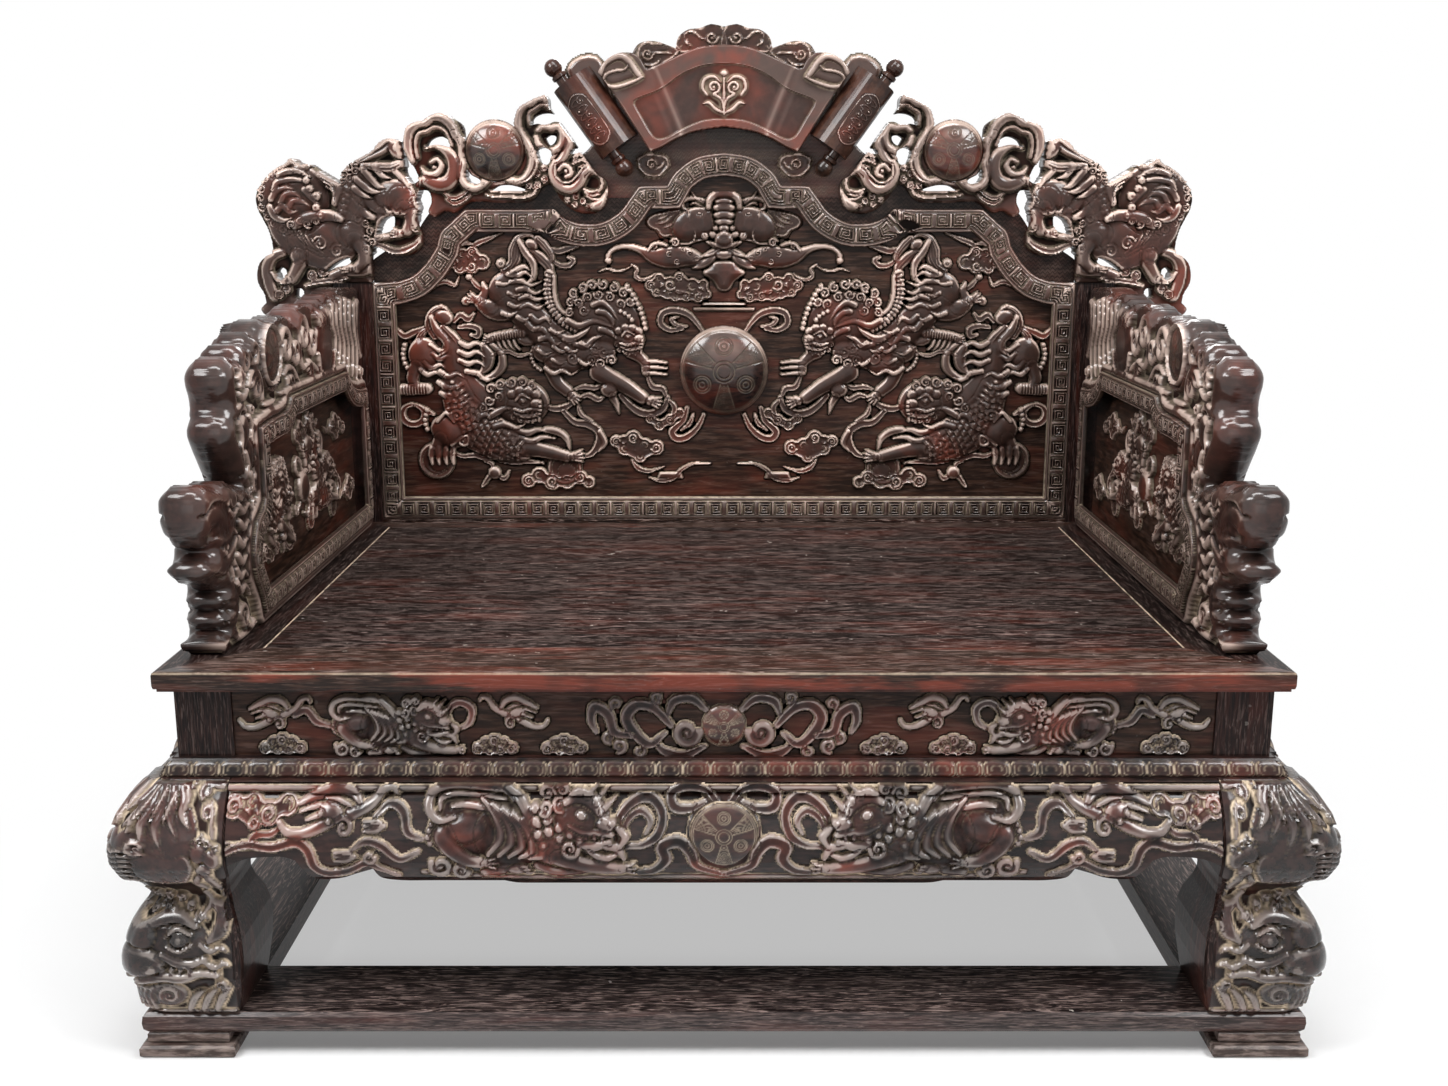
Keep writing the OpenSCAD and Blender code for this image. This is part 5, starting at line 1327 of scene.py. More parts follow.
pen.curl((36.8, 37.6), 1.7, 1.2, 100, -1, 0.5, 6, 2.4)
for x, y, r in ((45.8, 42, 1.9), (50.2, 46.6, 1.7), (58, 42, 2.2), (54, 39.5, 1.2), (62, 44.6, 1.5)):
    pen.curl((x, y), r, 1.1, 60, 1, 0.42, 9, 1.8)
pen.stroke([(60, 46.5), (65, 44), (70, 41), (73, 40)], [0.8, 1.1, 0.9], 4, 3.4)
pen.stroke([(59.5, 50.6), (64, 48.8), (69, 46), (72.5, 43.8)], [0.4, 2.1, 2.4, 1.2], 3.5, 5)
tail = [(72, 47), (69.5, 50), (65.3, 53), (69, 56), (72, 58.5), (74.4, 62.6)]
other_half = [(2 * MID - x, y) for x, y in tail[::-1]]
pen.patch([(MID, 46.5), *tail, (MID, 64.2), *other_half], 3, 6.5, 5)
pen.stroke([(68.6, 15.6), (69.6, 11), (73, 8.4), (MID, 7.7)], [1.5, 2.3, 2.7], 7, 6)
pen.mound((68.8, 15.4), 1.7, 0, 6, 4)
for y, rx, ry in ((12.2, 5.4, 2.0), (15.7, 6.4, 2.5), (20, 6.2, 2.4), (23.9, 5.2, 2.0), (27.6, 3.2, 2.2)):
    pen.mound((MID, y), (rx, ry), 0, 7.5, 5)
pen.mound((73, 27.6), 1.5, 0, 7.5, 4)
pen.mound((71.5, 31.3), (2.6, 1.9), 20, 7, 4)
pen.mound((66.6, 32), 2.2, 0, 7, 4.5)
pen.curl((66.6, 32), 1.3, 1, 0, 1, 0.4, 10.5, 1.2)
pen.stroke([(68, 35.5), (72, 37.5), (75, 40), (71, 42.5), (67, 43.5)], [0.8, 1.2, 1.2, 0.9], 6, 3)
pen.mound((MID, 34), (5.4, 4.6), 0, 8, 7)
pen.mound((MID, 31.2), (3.0, 2.2), 0, 11, 4)
pen.stroke([(MID, 38.4), (74, 37.4), (70, 35.6)], [1.2, 1.2, 0.6], 9, 3)
pen.mound((MID, 42.8), (5.0, 2.5), 0, 6.5, 4.5)
cloud(pen, [(34.5, 60.5, 3.0), (39.5, 56.6, 2.8), (38, 64.6, 2.8), (44, 66, 2.6), (51.5, 56, 2.8),
            (49, 67, 2.8), (55.5, 66.8, 3.0), (65.6, 60, 2.6), (62.5, 67.6, 2.8), (67.8, 66, 2.2),
            (46, 60.4, 4.4), (59, 61.4, 4.4)],
      [([(4, 52.6), (9, 51), (14, 52.3), (19, 51.6), (23.5, 49.4)], 0.9),
       ([(23, 48.4), (26.6, 51), (25.5, 55), (29, 57.4), (34, 56), (37, 53.6)], 1.2)], 2.0)
pen.stroke([(60.5, 74.6), (MID, 74.6)], 0.75, 2.0, 2.0, "flat")
pen.stroke([(65.5, 71.8), (MID, 71.8)], 0.6, 2.0, 2.0, "flat")
carve("bat_and_clouds", folded(bat), front(panel_face), carved_dark)

# %% [markdown]
# The balls are the only truly smooth forms here, so they are the frame's own domes. The rings and the fans
# of lattice are worked out from the distance to the ball's middle, and serve every ball of the throne.

# %% The great ball
def dome_rings(x, y, radius):
    """Engraving on a ball, as a depth of cut at each point, for places x, y measured from its middle"""
    r = np.hypot(x, y) / radius
    cut = np.zeros_like(r)

    def ring(cx, cy, size, width=0.016):
        nonlocal cut
        off = np.abs(np.hypot(x / radius - cx, y / radius - cy) - size)
        cut = np.maximum(cut, np.clip(1.3 - off / width, 0, 1))

    ring(0, 0, 0.155)
    ring(0, 0, 0.235)
    for angle in (90, 210, 330):
        a = math.radians(angle)
        at = (0.56 * math.cos(a), 0.56 * math.sin(a))
        for size in (0.06, 0.14, 0.19):
            ring(*at, size)
    angle = np.degrees(np.arctan2(y, x))
    for middle in (30, 150, 270):
        off = (angle - middle + 180) % 360 - 180
        fan = (np.abs(off) < 16) & (r > 0.30) & (r < 0.86)
        lattice = np.maximum(np.clip(1.3 - np.abs((r * 22 + off * 0.28) % 1 - 0.5) / 0.2, 0, 1),
                             np.clip(1.3 - np.abs((r * 22 - off * 0.28) % 1 - 0.5) / 0.2, 0, 1))
        edge = np.clip(1.3 - np.minimum(np.abs(np.abs(off) - 16) * r / 57, 1) / 0.016, 0, 1)
        edge = edge * ((r > 0.27) & (r < 0.9))
        cut = np.maximum(cut, np.maximum(np.where(fan, lattice * 0.7, 0), edge))
    ring(0, 0, 0.90)
    ring(0, 0, 0.955)
    return cut


def ball(name, node, side, place_for, finish, cell=1.3, both=False):
    """A dome taken from the frame, engraved, with its foot rounded over"""
    tri = facing([node], side)
    low, high = tri[..., :2].min((0, 1)), tri[..., :2].max((0, 1))
    made = Board([node], side, cell, edge=1.0, drop=0.2)
    x, y = made.U - (low[0] + high[0]) / 2, made.V - (low[1] + high[1]) / 2
    radius = (high[0] - low[0]) / 2
    foot = made.depth[made.inside].min()
    r = np.clip(np.hypot(x, y) / radius, 0, 1)
    top = (made.face - foot) * np.sqrt(1 - r * r)
    rings = dome_rings(x, y, radius)
    made.h = np.where(made.inside, np.maximum(top, 0), 0) - rings * 0.7
    made.dust_lines = rings * 0.45
    # The upper side of a ball is made lighter, a painted highlight
    made.worn_lines = np.clip(0.30 + 0.55 * y / radius, 0, 0.8) * np.clip(1.3 - r * r, 0, 1) * (1 - rings)
    w = SIDES[side][2]
    rim = (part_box(node)[1][w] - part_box(node)[0][w]) / MM - 2 * (made.face - foot)
    return carve(name, made, place_for(foot), finish, keep=made.keep, sunk=1.5, replaces=[node],
                 back=rim + made.h if both else None)


ball("great_ball", "back_boss", "front", lambda foot: front(-foot), carved_red, 1.15)

# %% [markdown]
# ## The key pattern
# Round the back panel and both arm panels runs a moulding of square spirals, the thunder pattern, set in
# panels with a bar between them and a bead along each edge. The spiral is small and regular, so it is
# written as a picture in text, and laid along the moulding by two distances: how far round the frame a
# point lies, and how far across the moulding it is, both measured from the moulding's own two edges.

# %% Key moulding
KEY = (
    "###########.##",
    "#.........#.##",
    "#.#######.#.##",
    "#.#.....#.#.##",
    "#.#.###.#.#.##",
    "#.#.#...#.#.##",
    "#.#.#####.#.##",
    "#.#.......#.##",
    "#.#########.##",
    "#...........##",
    "##############",
)
key_rows = np.array([[c == "#" for c in row] for row in KEY], float)


def key_relief(along, across, unit):
    """Height of the key pattern, 0 to 1, with each spiral unit mm long and across from 0 to 1"""
    count = np.floor(along / unit)
    x = (along / unit) % 1.0
    x = np.where(count % 2 == 0, x, 0.857 - x) % 1.0
    a, b = x * key_rows.shape[1] - 0.5, np.clip(across, 0, 0.9999) * key_rows.shape[0] - 0.5
    i, j = np.floor(a).astype(int), np.clip(np.floor(b).astype(int), 0, key_rows.shape[0] - 2)
    fa, fb = np.clip((a - i - 0.5) * 2.2 + 0.5, 0, 1), np.clip((b - j - 0.5) * 2.2 + 0.5, 0, 1)
    n = key_rows.shape[1]
    top = key_rows[j, i % n] * (1 - fa) + key_rows[j, (i + 1) % n] * fa
    low = key_rows[j + 1, i % n] * (1 - fa) + key_rows[j + 1, (i + 1) % n] * fa
    return top * (1 - fb) + low * fb


def key_moulding(names, side, centre, width, unit, cell, all_names):
    """A sheet for one length of moulding, its two edges found from the whole ring's outline"""
    board = Board(names, side, cell, edge=1.2, drop=0.8)
    ring = np.concatenate([outline_of(facing([n], side)) for n in all_names])
    middle = ring.mean(1)
    inward = np.array(centre) - middle
    inward /= np.linalg.norm(inward, axis=1, keepdims=True)
    # A segment's own direction says whether it runs along an edge or across a mitre
    whole = Sheet(middle[:, 0].min() - 9, middle[:, 0].max() + 9, middle[:, 1].min() - 9,
                  middle[:, 1].max() + 9, 3.0)
    covered = softened((depth_on(whole, facing(all_names, side)) > -1e8).astype(float), 1)

    def cover(p):
        j = np.clip(np.searchsorted(whole.v, p[:, 1]), 0, whole.nv)
        return covered[j, np.clip(np.searchsorted(whole.u, p[:, 0]), 0, whole.nu)]

    normal = np.stack([-(ring[:, 1] - ring[:, 0])[:, 1], (ring[:, 1] - ring[:, 0])[:, 0]], 1)
    normal /= np.maximum(np.linalg.norm(normal, axis=1, keepdims=True), 1e-9)
    normal *= np.sign((normal * inward).sum(1, keepdims=True))
    within, without = cover(middle + normal * width / 3), cover(middle - normal * width / 3)
    outer, inner = ring[(within > 0.6) & (without < 0.4)], ring[(within < 0.4) & (without > 0.6)]
    order = np.argsort(np.arctan2(*(outer.mean(1) - centre).T))
    outer = outer[order]
    lengths = np.hypot(*(outer[:, 1] - outer[:, 0]).T)
    start = np.concatenate([[0], np.cumsum(lengths)[:-1]])
    ends = np.arctan2(*(outer - centre).transpose(2, 0, 1))
    backwards = np.abs(ends[:, 0] - ends[:, 1]) < 3
    backwards &= ends[:, 0] > ends[:, 1]
    points = np.stack([board.U.ravel(), board.V.ravel()], 1)
    use = board.inside.ravel()
    d_out, place, which = nearest(points[use], outer)
    d_in = nearest(points[use], inner)[0]
    first = np.where(backwards[which, None], outer[which, 1], outer[which, 0])
    along, across = np.zeros(len(points)), np.zeros(len(points))
    along[use] = start[which] + np.hypot(*(place - first).T)
    across[use] = d_out / np.maximum(d_out + d_in, 1e-6)
    board.along, board.across = along.reshape(board.U.shape), across.reshape(board.U.shape)
    t = board.across
    bead = np.exp(-((t - 0.065) / 0.06) ** 2) + np.exp(-((t - 0.935) / 0.06) ** 2)
    band = np.clip((t - 0.17) / 0.02, 0, 1) * np.clip((0.83 - t) / 0.02, 0, 1)
    keys = key_relief(board.along, (t - 0.17) / 0.66, unit)
    swell = 4.6 * (1 - ((t - 0.5) / 0.5) ** 2)
    board.h = board.h - 5.2 + bead * 2.2 + band * (keys * 1.9 + 0.1) + swell
    # The keys and beads are made lighter, partly wear and partly a painted highlight, and the ground between
    # the keys darker, a painted shade
    board.worn_lines, board.dark_ground = np.maximum(band * keys * 0.46, bead * 0.55), band * (1 - keys)
    return board


fret_names = ["back_fret_bottom", "back_fret_left", "back_fret_right", "back_fret_top"]
back_centre = (0, 700)
for name in fret_names:
    moulding = key_moulding([name], "front", back_centre, 36, 27.0, 1.45, fret_names)
    carve("carved_" + name, moulding, front(-moulding.face), carved_fret, "frame_wood", sunk=14,
          replaces=[name])

# %% [markdown]
# ## The crest boards
# Above the frame stand pierced boards, 58 mm thick and carved on both faces: clouds that cradle a ball, and
# a lion at each end. Their outlines and holes are the frame's own. The carving starts from a ground sunk 16
# mm below the face, the strokes rise back up to it, and near the outline everything is held under a quarter
# round, so the silhouette is soft. The same drawing serves both faces, since the rear is carved like the
# front.

# %% Two-sided boards
SUNK = 16.0
FIT_GAP = 0.3


def rounded_off(board, edge, top):
    """Holds the heights under a quarter round near the outline"""
    r = np.clip(board.off / edge, 0, 1)
    board.h = np.minimum(board.h, top * np.sqrt(1 - (1 - r) ** 2) + 1.0)


def crest_piece(name, node, draw, edge=8.0, top=20.0, cell=1.7):
    board = Board([node], "front", cell, edge=edge, drop=5)
    board.h += 2.0
    draw(board)
    rounded_off(board, edge, top)
    face, rear = -board.face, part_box(node)[1].y / MM
    thick = rear - face
    back = thick - 2 * SUNK + np.minimum(board.h, SUNK)
    # Where the board laps over the crest board, its back stays cut away
    lap = depth_on(board, facing(["crest_board"], "front")) > -1e8
    near_lap = softened(lap.astype(float), 2) > 0.02
    back = np.where(near_lap, panel_face - FIT_GAP - face - SUNK, back)
    return carve(name, board, front(face + SUNK), carved_dark, back=back, replaces=[node])


# %% [markdown]
# ### The cloud boards
# Each is a large scalloped hoop with a curl in it, then the ball in its leafy cup, then a second hoop
# beside the scroll and a ribbon-like swirl under it. They read as bands, so they are drawn as broad strokes
# with a raised rim.

# %% Cloud boards
def crest_cloud(board):
    pen = Pen(board, (-509.4, 1168.9), (2.607, 2.527))
    # Hoop round the left curl
    pen.stroke([(6, 48), (4.5, 39), (6, 30), (11, 25.5), (16, 24.5), (20, 21.5), (26, 22.5), (31, 27),
                (33.5, 33)],
               [2.6, 3.0, 3.2, 3.0, 2.8], 10, 7)
    pen.stroke([(9.5, 46), (8.8, 38), (11, 32), (16, 30.5), (20, 28.2), (25, 28.8), (28.8, 32.6), (31, 39)],
               [1.4, 1.5, 1.2], 7, 8, "ridge")
    pen.stroke([(33, 32), (36.5, 38), (37, 47), (36, 56), (38, 62.5), (44, 65.2), (49, 62.5), (52, 59.5)],
               [2.4, 2.6, 2.4, 2.2, 2.0], 9, 7)
    pen.stroke([(35.5, 35), (38, 42), (37.8, 52), (39, 59), (43, 62)], 0.7, 14, 2.4)
    pen.stroke([(15, 40), (21, 38.6), (27, 41.5), (31, 47), (31.5, 55), (28, 61), (21, 62.5), (14.5, 60)],
               [1.5, 3.0, 4.0, 4.6, 3.6], 8, 9)
    pen.stroke([(12, 52.5), (15.5, 56.5), (21, 56), (24.3, 51.5), (22, 47.5), (18, 49)],
               [0.8, 1.9, 2.0, 1.7, 1.3, 1.2], 12, 5)
    pen.mound((20, 52.3), 1.3, 0, 13, 4)
    pen.stroke([(5, 66), (10, 61), (15, 58.5)], [2.2, 2.4, 1.2], 9, 6)
    pen.stroke([(25, 68), (30, 71), (35, 69.5), (40, 66)], [0.9, 1.4, 1.3, 0.8], 4, 4, "ribbon")
    pen.stroke([(26, 71.5), (31, 74.5), (37, 72), (41, 68.5)], [0.9, 1.3, 1.2, 0.8], 3, 4, "ribbon")
    # Leafy cup that holds the ball
    pen.stroke([(49, 61), (51.5, 58), (55, 56.5), (58, 58), (62, 57), (66, 60), (70, 61)],
               [1.6, 2.2, 2.4, 2.0], 11, 6)
    for x, y in ((51.5, 59), (55, 57.4), (58.6, 58.6), (63, 58.4)):
        pen.mound((x, y), 1.7, 0, 13, 5)
    pen.stroke([(70, 61.5), (75, 58), (78.6, 52), (79.5, 45), (77, 38), (73.5, 32.5), (71, 27.5)],
               [1.8, 2.2, 2.4, 2.3, 2.4], 9, 7)
    pen.stroke([(70, 62), (76.5, 60), (81, 54), (82.5, 47), (80, 40.5)], [0.6, 0.8, 0.7], 13, 2.4)
    # Second hoop with its curl
    pen.stroke([(71, 28), (71.5, 20), (75, 14.5), (80, 13), (84, 10.5), (90, 11.5), (95, 16), (98.5, 22),
                (101, 28)], [2.6, 3.0, 3.0, 3.0, 3.2], 10, 7)
    pen.stroke([(77.8, 26), (78, 19.8), (82, 16.8), (86, 14.6), (91, 16.5), (95, 21), (98, 28)],
               [1.2, 1.4, 1.1], 8, 8, "ridge")
    pen.stroke([(100, 27), (102, 33), (101, 40), (98, 46), (94, 50)], [3.0, 3.0, 2.6, 2.2], 9, 7)
    pen.stroke([(83, 30), (86.5, 27.5), (91, 28.4), (96, 28), (98.5, 33), (97, 39), (92, 42.3), (86, 42)],
               [1.5, 2.2, 2.0, 2.4, 2.6, 2.4, 1.6], 10, 7)
    pen.stroke([(82, 34), (83.5, 38.5), (87, 41)], [1.7, 2.0, 1.4], 10, 6)
    pen.stroke([(79, 44), (84, 46.5), (90, 47), (95, 44)], [1.0, 1.4, 1.3, 0.6], 8, 5)
    # Small cloud between the ball and the swirl
    for x, y, r in ((86, 52.5, 2.6), (81.5, 56, 2.6), (86.4, 59.5, 2.6), (82, 63, 2.4), (77, 63.5, 2.2)):
        lobe(pen, (x, y), r, 1, 30 * x, 6, 2.5)
    ribbon(pen, [(50, 69), (56, 70.2), (64, 70), (72, 70.6), (79, 68.6), (80.5, 65.4), (76, 63.6)], 1.1, 5,
           3.5)
    ribbon(pen, [(52, 66.6), (60, 67.2), (70, 67.6), (77, 66.4)], 0.8, 5, 3)
    # Swirl under the scroll: a broad ribbon round an eye
    ribbon(pen, [(104, 50), (107, 44), (111, 40), (115, 37)], 1.5, 6, 4)
    for dx, dy in ((0, 0), (1.6, 3.2), (3.4, 6.4)):
        ribbon(pen, [(104 + dx, 46 + dy), (108 + dx, 44.5 + dy), (112 + dx, 46 + dy), (116 + dx, 43.5 + dy),
                     (119 + dx, 44.5 + dy)], 1.3, 7, 3.5)
    pen.stroke([(93, 49), (91, 54), (92.5, 60), (97, 64.5), (103, 65.4), (108, 61), (111, 55.5),
                (116, 52.5), (121, 55)],
               [2.0, 2.6, 3.0, 2.9, 2.6], 9, 8)
    pen.stroke([(93.5, 50.5), (93, 56), (96, 60.5), (101, 61.6), (106, 57.8), (110, 52.5), (115, 50)], 0.7,
               15, 2.2)
    pen.stroke([(95, 54), (98, 51), (101.5, 52.4), (102.5, 56.4), (99.5, 58)], [1.2, 1.8, 1.7, 1.2], 9, 6)
    pen.mound((99.6, 54.6), 1.3, 0, 10, 5)
    pen.stroke([(119, 53), (126, 56), (128.5, 62), (126, 69), (121, 74), (116, 76)],
               [2.4, 3.4, 4.0, 3.6, 2.4], 8, 8)
    pen.stroke([(112, 58), (116, 55.8), (120.5, 58.5), (121, 64), (117.5, 68), (112, 66)],
               [0.8, 1.0, 1.0, 0.8], 6, 4)
    for k in range(3):
        pen.stroke([(110 + k, 65.5 + 2.2 * k), (114 + k, 67.4 + 2.2 * k), (119 + k * 0.8, 66 + 2.6 * k)],
                   [0.9, 1.1, 0.6], 8, 4)
    for x, y, r in ((100, 72, 2.0), (105, 70, 2.2), (109.5, 73, 2.2), (104.5, 75, 2.0), (113, 76, 2.0)):
        lobe(pen, (x, y), r, -1, 40 * x, 5, 2.5)


cloud_board = crest_piece("carved_cloud_left", "crest_cloud_left", crest_cloud)
mirrored(cloud_board, "carved_cloud_right", ["crest_cloud_right"])
crest_ball = ball("crest_ball_left", "crest_boss_left", "front", lambda foot: front(-foot), carved_red, 1.3,
                  both=True)
mirrored(crest_ball, "crest_ball_right", ["crest_boss_right"])

# %% [markdown]
# ### The lions on the crest
# The outermost board is a lion that turns its great curly head back, with a cub leaping from its shoulders
# towards the ball. It is drawn like the panel's lions, only deeper: a round head of stacked locks, a smooth
# rump, bent legs, and paws on flat ribbons.

# %% Crest lions
def crest_lion(board):
    pen = Pen(board, (-752.0, 1266.9), (2.935, 2.878))
    # Ribbon loops and the flat ledge under the paws
    pen.stroke([(9.5, 150), (7, 142), (6.5, 134), (10, 128), (16, 125.5)], [3.0, 3.2, 3.0, 2.6], 5, 6)
    pen.stroke([(9, 137), (12, 141), (16, 141.5), (18.5, 138)], [1.0, 1.4, 1.4, 1.0], 6, 4)
    pen.stroke([(42, 139), (50, 136), (60, 135.5), (66, 132)], [3.0, 3.4, 3.2, 2.4], 5, 6)
    pen.stroke([(64, 136), (67, 128), (66, 121), (70, 118), (76, 117)], [1.4, 2.0, 1.8, 1.6], 6, 6)
    ribbon(pen, [(64, 121), (70, 122.5), (76, 125), (82, 124.6), (88, 121.5), (92, 117)], 2.0, 6, 5)
    ribbon(pen, [(27, 144), (34, 142), (42, 141), (50, 140)], 1.6, 6, 4)
    # Small dark clouds at the foot
    for x, y, r in ((31, 138.5, 3.0), (37, 136.5, 3.0), (16, 146, 3.0), (12.5, 149, 2.6), (45, 143, 2.6)):
        lobe(pen, (x, y), r, 1, 25 * x, 5, 3)
    # Body: rump, trunk and hind legs
    pen.stroke([(15, 100), (20, 112), (30, 121), (42, 123), (52, 115), (56, 104), (58, 95)],
               [8, 11, 12, 12, 10, 8, 7], 5, 11)
    pen.mound((41, 117), (13, 11), -15, 7, 11)
    pen.mound((53.5, 116), (8, 7), 20, 9, 9)
    pen.curl((37, 121), 4.2, 1.2, 200, 1, 0.8, 16, 2.5)
    pen.curl((46, 125), 3.4, 1.2, 300, -1, 0.8, 14, 2.5)
    for k in range(4):
        pen.stroke([(23 + 3.2 * k, 112 + 2.2 * k), (25.5 + 3.2 * k, 117 + 2 * k),
                    (29 + 3.2 * k, 121.5 + 1.6 * k)], [0.7, 0.9, 0.5], 15, 2)
    pen.stroke([(56, 119), (60, 125), (59.5, 131), (56, 134.5)], [4.6, 4.0, 3.2, 3.0], 8, 8)
    paw(pen, (52, 134.5), 3.0, 185, 9)
    for k, (x, y) in enumerate(((58, 107.5), (62, 110), (64.5, 114), (62, 118.5), (65, 120.5), (61.6, 124),
                                (64.4, 126.5))):
        pen.curl((x, y), 2.2, 1.2, 50 * k, 1, 0.6, 11, 3.2)
    pen.stroke([(24, 120), (26, 128), (23.5, 134), (20, 140)], [4.6, 4.2, 3.4, 3.0], 8, 8)
    pen.mound((24.5, 127.5), (4.6, 4.4), 0, 10, 7)
    pen.stroke([(17.5, 117), (21, 121), (23, 125)], [0.8, 1.4, 1.0], 10, 3)
    paw(pen, (17.5, 141), 2.9, 190, 9)
    pen.stroke([(29, 127.5), (34, 130), (39, 133), (45, 133)], [3.2, 3.0, 2.4, 1.8], 6, 6)
    # Great head: rings of locks round a deep centre
    pen.mound((24, 97), (19.5, 19.5), 0, 6, 12)
    for k in range(15):
        a = math.radians(95 + k * 17)
        pen.curl((23.5 + 17.6 * math.cos(a), 96.5 - 17.8 * math.sin(a)), 2.3, 1.2, 40 * k,
                 1 if k % 2 else -1, 0.65, 10, 4)
    locks(pen, [[(14, 92), (16, 88), (22, 86.5), (29, 87), (33, 89.5)],
                [(12, 97), (15, 93), (20, 91), (26, 92)], [(17, 99), (20, 94.5), (25, 94), (29, 97.5)],
                [(21, 102), (24, 98), (29, 98.5), (33, 101)], [(17, 84), (22, 82), (28, 82.4), (34, 85.5)],
                [(14, 104), (18, 101), (22, 104), (27, 103)], [(30, 92), (33, 95), (36, 99), (35, 104)],
                [(11, 101), (13, 106), (18, 108.5), (23, 107)]], 1.9, 16, 4.5)
    pen.stroke([(24, 111), (30, 107.5), (37, 106), (44, 106), (49, 108)], [2.6, 3.6, 3.4, 3.0, 1.8], 15, 5)
    for k, (x, y) in enumerate(((27, 108.5), (31, 110.5), (22, 110.6), (35.5, 109))):
        pen.curl((x, y), 2.2, 1.2, 60 * k, 1, 0.6, 17, 3)
    for x, y, r in ((33, 91.5, 2.2), (36.5, 95.4, 2.4), (31.5, 87, 2.0), (36, 101.5, 2.2),
                    (38.5, 106, 2.0)):
        pen.mound((x, y), r, 0, 17, 4.5)
    pen.mound((28, 79.5), (5, 4), 0, 10, 7)
    pen.stroke([(19, 80), (24, 76.5), (30, 78), (35, 79)], [0.8, 2.2, 2.0, 0.8], 13, 4)
    pen.stroke([(38, 84), (42, 86), (46, 88), (48, 93), (46, 99)], [2.0, 3.4, 3.4, 3.2, 2.2], 10, 7)
    for k in range(4):
        pen.stroke([(38 + k * 1.4, 82.5 + k * 2.6), (42 + k, 84 + k * 2.8), (46, 87.5 + k * 2.6)],
                   [0.5, 0.7, 0.3], 17, 1.8)
    # Scales on the breast, then the young lion that leaps up
    pen.stroke([(50, 106), (53, 96), (57, 90), (62, 88)], [4, 7, 8, 8], 6, 9, texture=scales(9, 1.6))
    pen.stroke([(52, 97), (56, 101), (60, 104), (66, 107)], [3.0, 3.4, 3.0, 1.6], 10, 5)
    pen.mound((78, 95), (11.5, 9.0), -10, 8, 11)
    pen.mound((82, 98), (7.5, 8.0), 0, 10, 9)
    pen.stroke([(60, 96), (66, 100), (71, 103), (76, 104.5)], [3.0, 3.4, 3.0, 1.8], 8, 6)
    locks(pen, [[(58, 86), (62, 90), (67, 93), (73, 93)], [(62, 81), (66, 86), (70, 90), (75, 91)],
                [(57, 91), (61, 94.5), (66, 96.5)], [(68, 79), (72, 84), (77, 86)]], 1.9, 15, 4)
    for k, (x, y) in enumerate(((50.5, 88), (51.5, 83.5), (54.5, 79.5), (58.5, 76.5), (55, 86), (58, 82))):
        pen.curl((x, y), 2.4, 1.2, 70 * k, -1, 0.65, 12, 4)
    # The young lion's tail and rear, thrown up to the right
    pen.stroke([(60, 76), (66, 72.5), (72, 69), (77, 65), (82, 64)], [2.4, 3.4, 4.2, 4.8, 4.6], 9, 9,
               "locks")
    pen.mound((82.5, 69), (6.6, 6.4), 0, 12, 7)
    pen.mound((81, 69.5), 2.2, 0, 18, 2.6)
    pen.mound((85.4, 67.6), 2.0, 0, 17, 3)
    pen.stroke([(62, 79), (69, 79.5), (76, 80), (82, 78)], [1.6, 2.6, 2.8, 2.2], 13, 4.5, "locks")
    pen.stroke([(85, 75), (87, 81), (87.5, 87), (84, 91)], [2.0, 2.0, 1.6, 0.8], 10, 5)
    pen.stroke([(79, 82), (83, 86), (86, 90.5)], [1.6, 1.8, 0.8], 12, 4)
    # Legs to the right, on a ribbon
    pen.stroke([(84, 102), (87, 106), (86, 110.5), (84, 114)], [4.4, 4.2, 3.4, 3.0], 8, 8)
    for k, (x, y) in enumerate(((88, 98), (91.5, 101.5), (90, 106), (92.5, 109.5), (89, 112.5))):
        pen.curl((x, y), 2.3, 1.2, 50 * k, -1, 0.6, 11, 3.4)
    paw(pen, (79.5, 115.6), 2.9, 188, 9)
    pen.stroke([(88, 100), (92, 94), (94, 88.6)], [2.0, 2.4, 2.0], 8, 6)
    pen.stroke([(93, 103), (97.5, 99), (97, 93), (93.5, 88)], [1.4, 2.2, 2.2, 1.6], 6, 6)
    pen.stroke([(71, 105), (70, 112), (68, 117)], [4.0, 3.2, 2.6], 5, 7)
    for k in range(3):
        pen.stroke([(73 + 4 * k, 101.5 + 0.6 * k), (75 + 4 * k, 104 + 0.4 * k), (78 + 4 * k, 103)],
                   [0.6, 1.0, 0.5], 14, 2.4)
    pen.stroke([(94, 121), (98, 125), (95, 129), (91, 131)], [1.4, 2.2, 2.0, 1.0], 5, 5)


lion_board = crest_piece("carved_lion_left", "crest_lion_left", crest_lion, edge=9)
mirrored(lion_board, "carved_lion_right", ["crest_lion_right"])

# %% [markdown]
# ### The crest board's own carving
# Between the open boards the backing shows. It is chased all over with a fine zigzag ground, and along its
# top edge and under the scroll grow cloud heads: a pad with a raised rim that follows its scalloped edge,
# and a spiral in it.

# %% Zigzag ground and cloud heads
def zigzag(u, v, period=8.0, gap=6.5):
    """Chased zigzag rows, from 0 in the cuts to 1 on the ridges"""
    wave = np.abs((u / period) % 1 - 0.5) * 2
    row = ((v + wave * period * 0.55) / gap) % 1
    return np.clip(np.abs(row - 0.5) * 5 - 0.4, 0, 1)


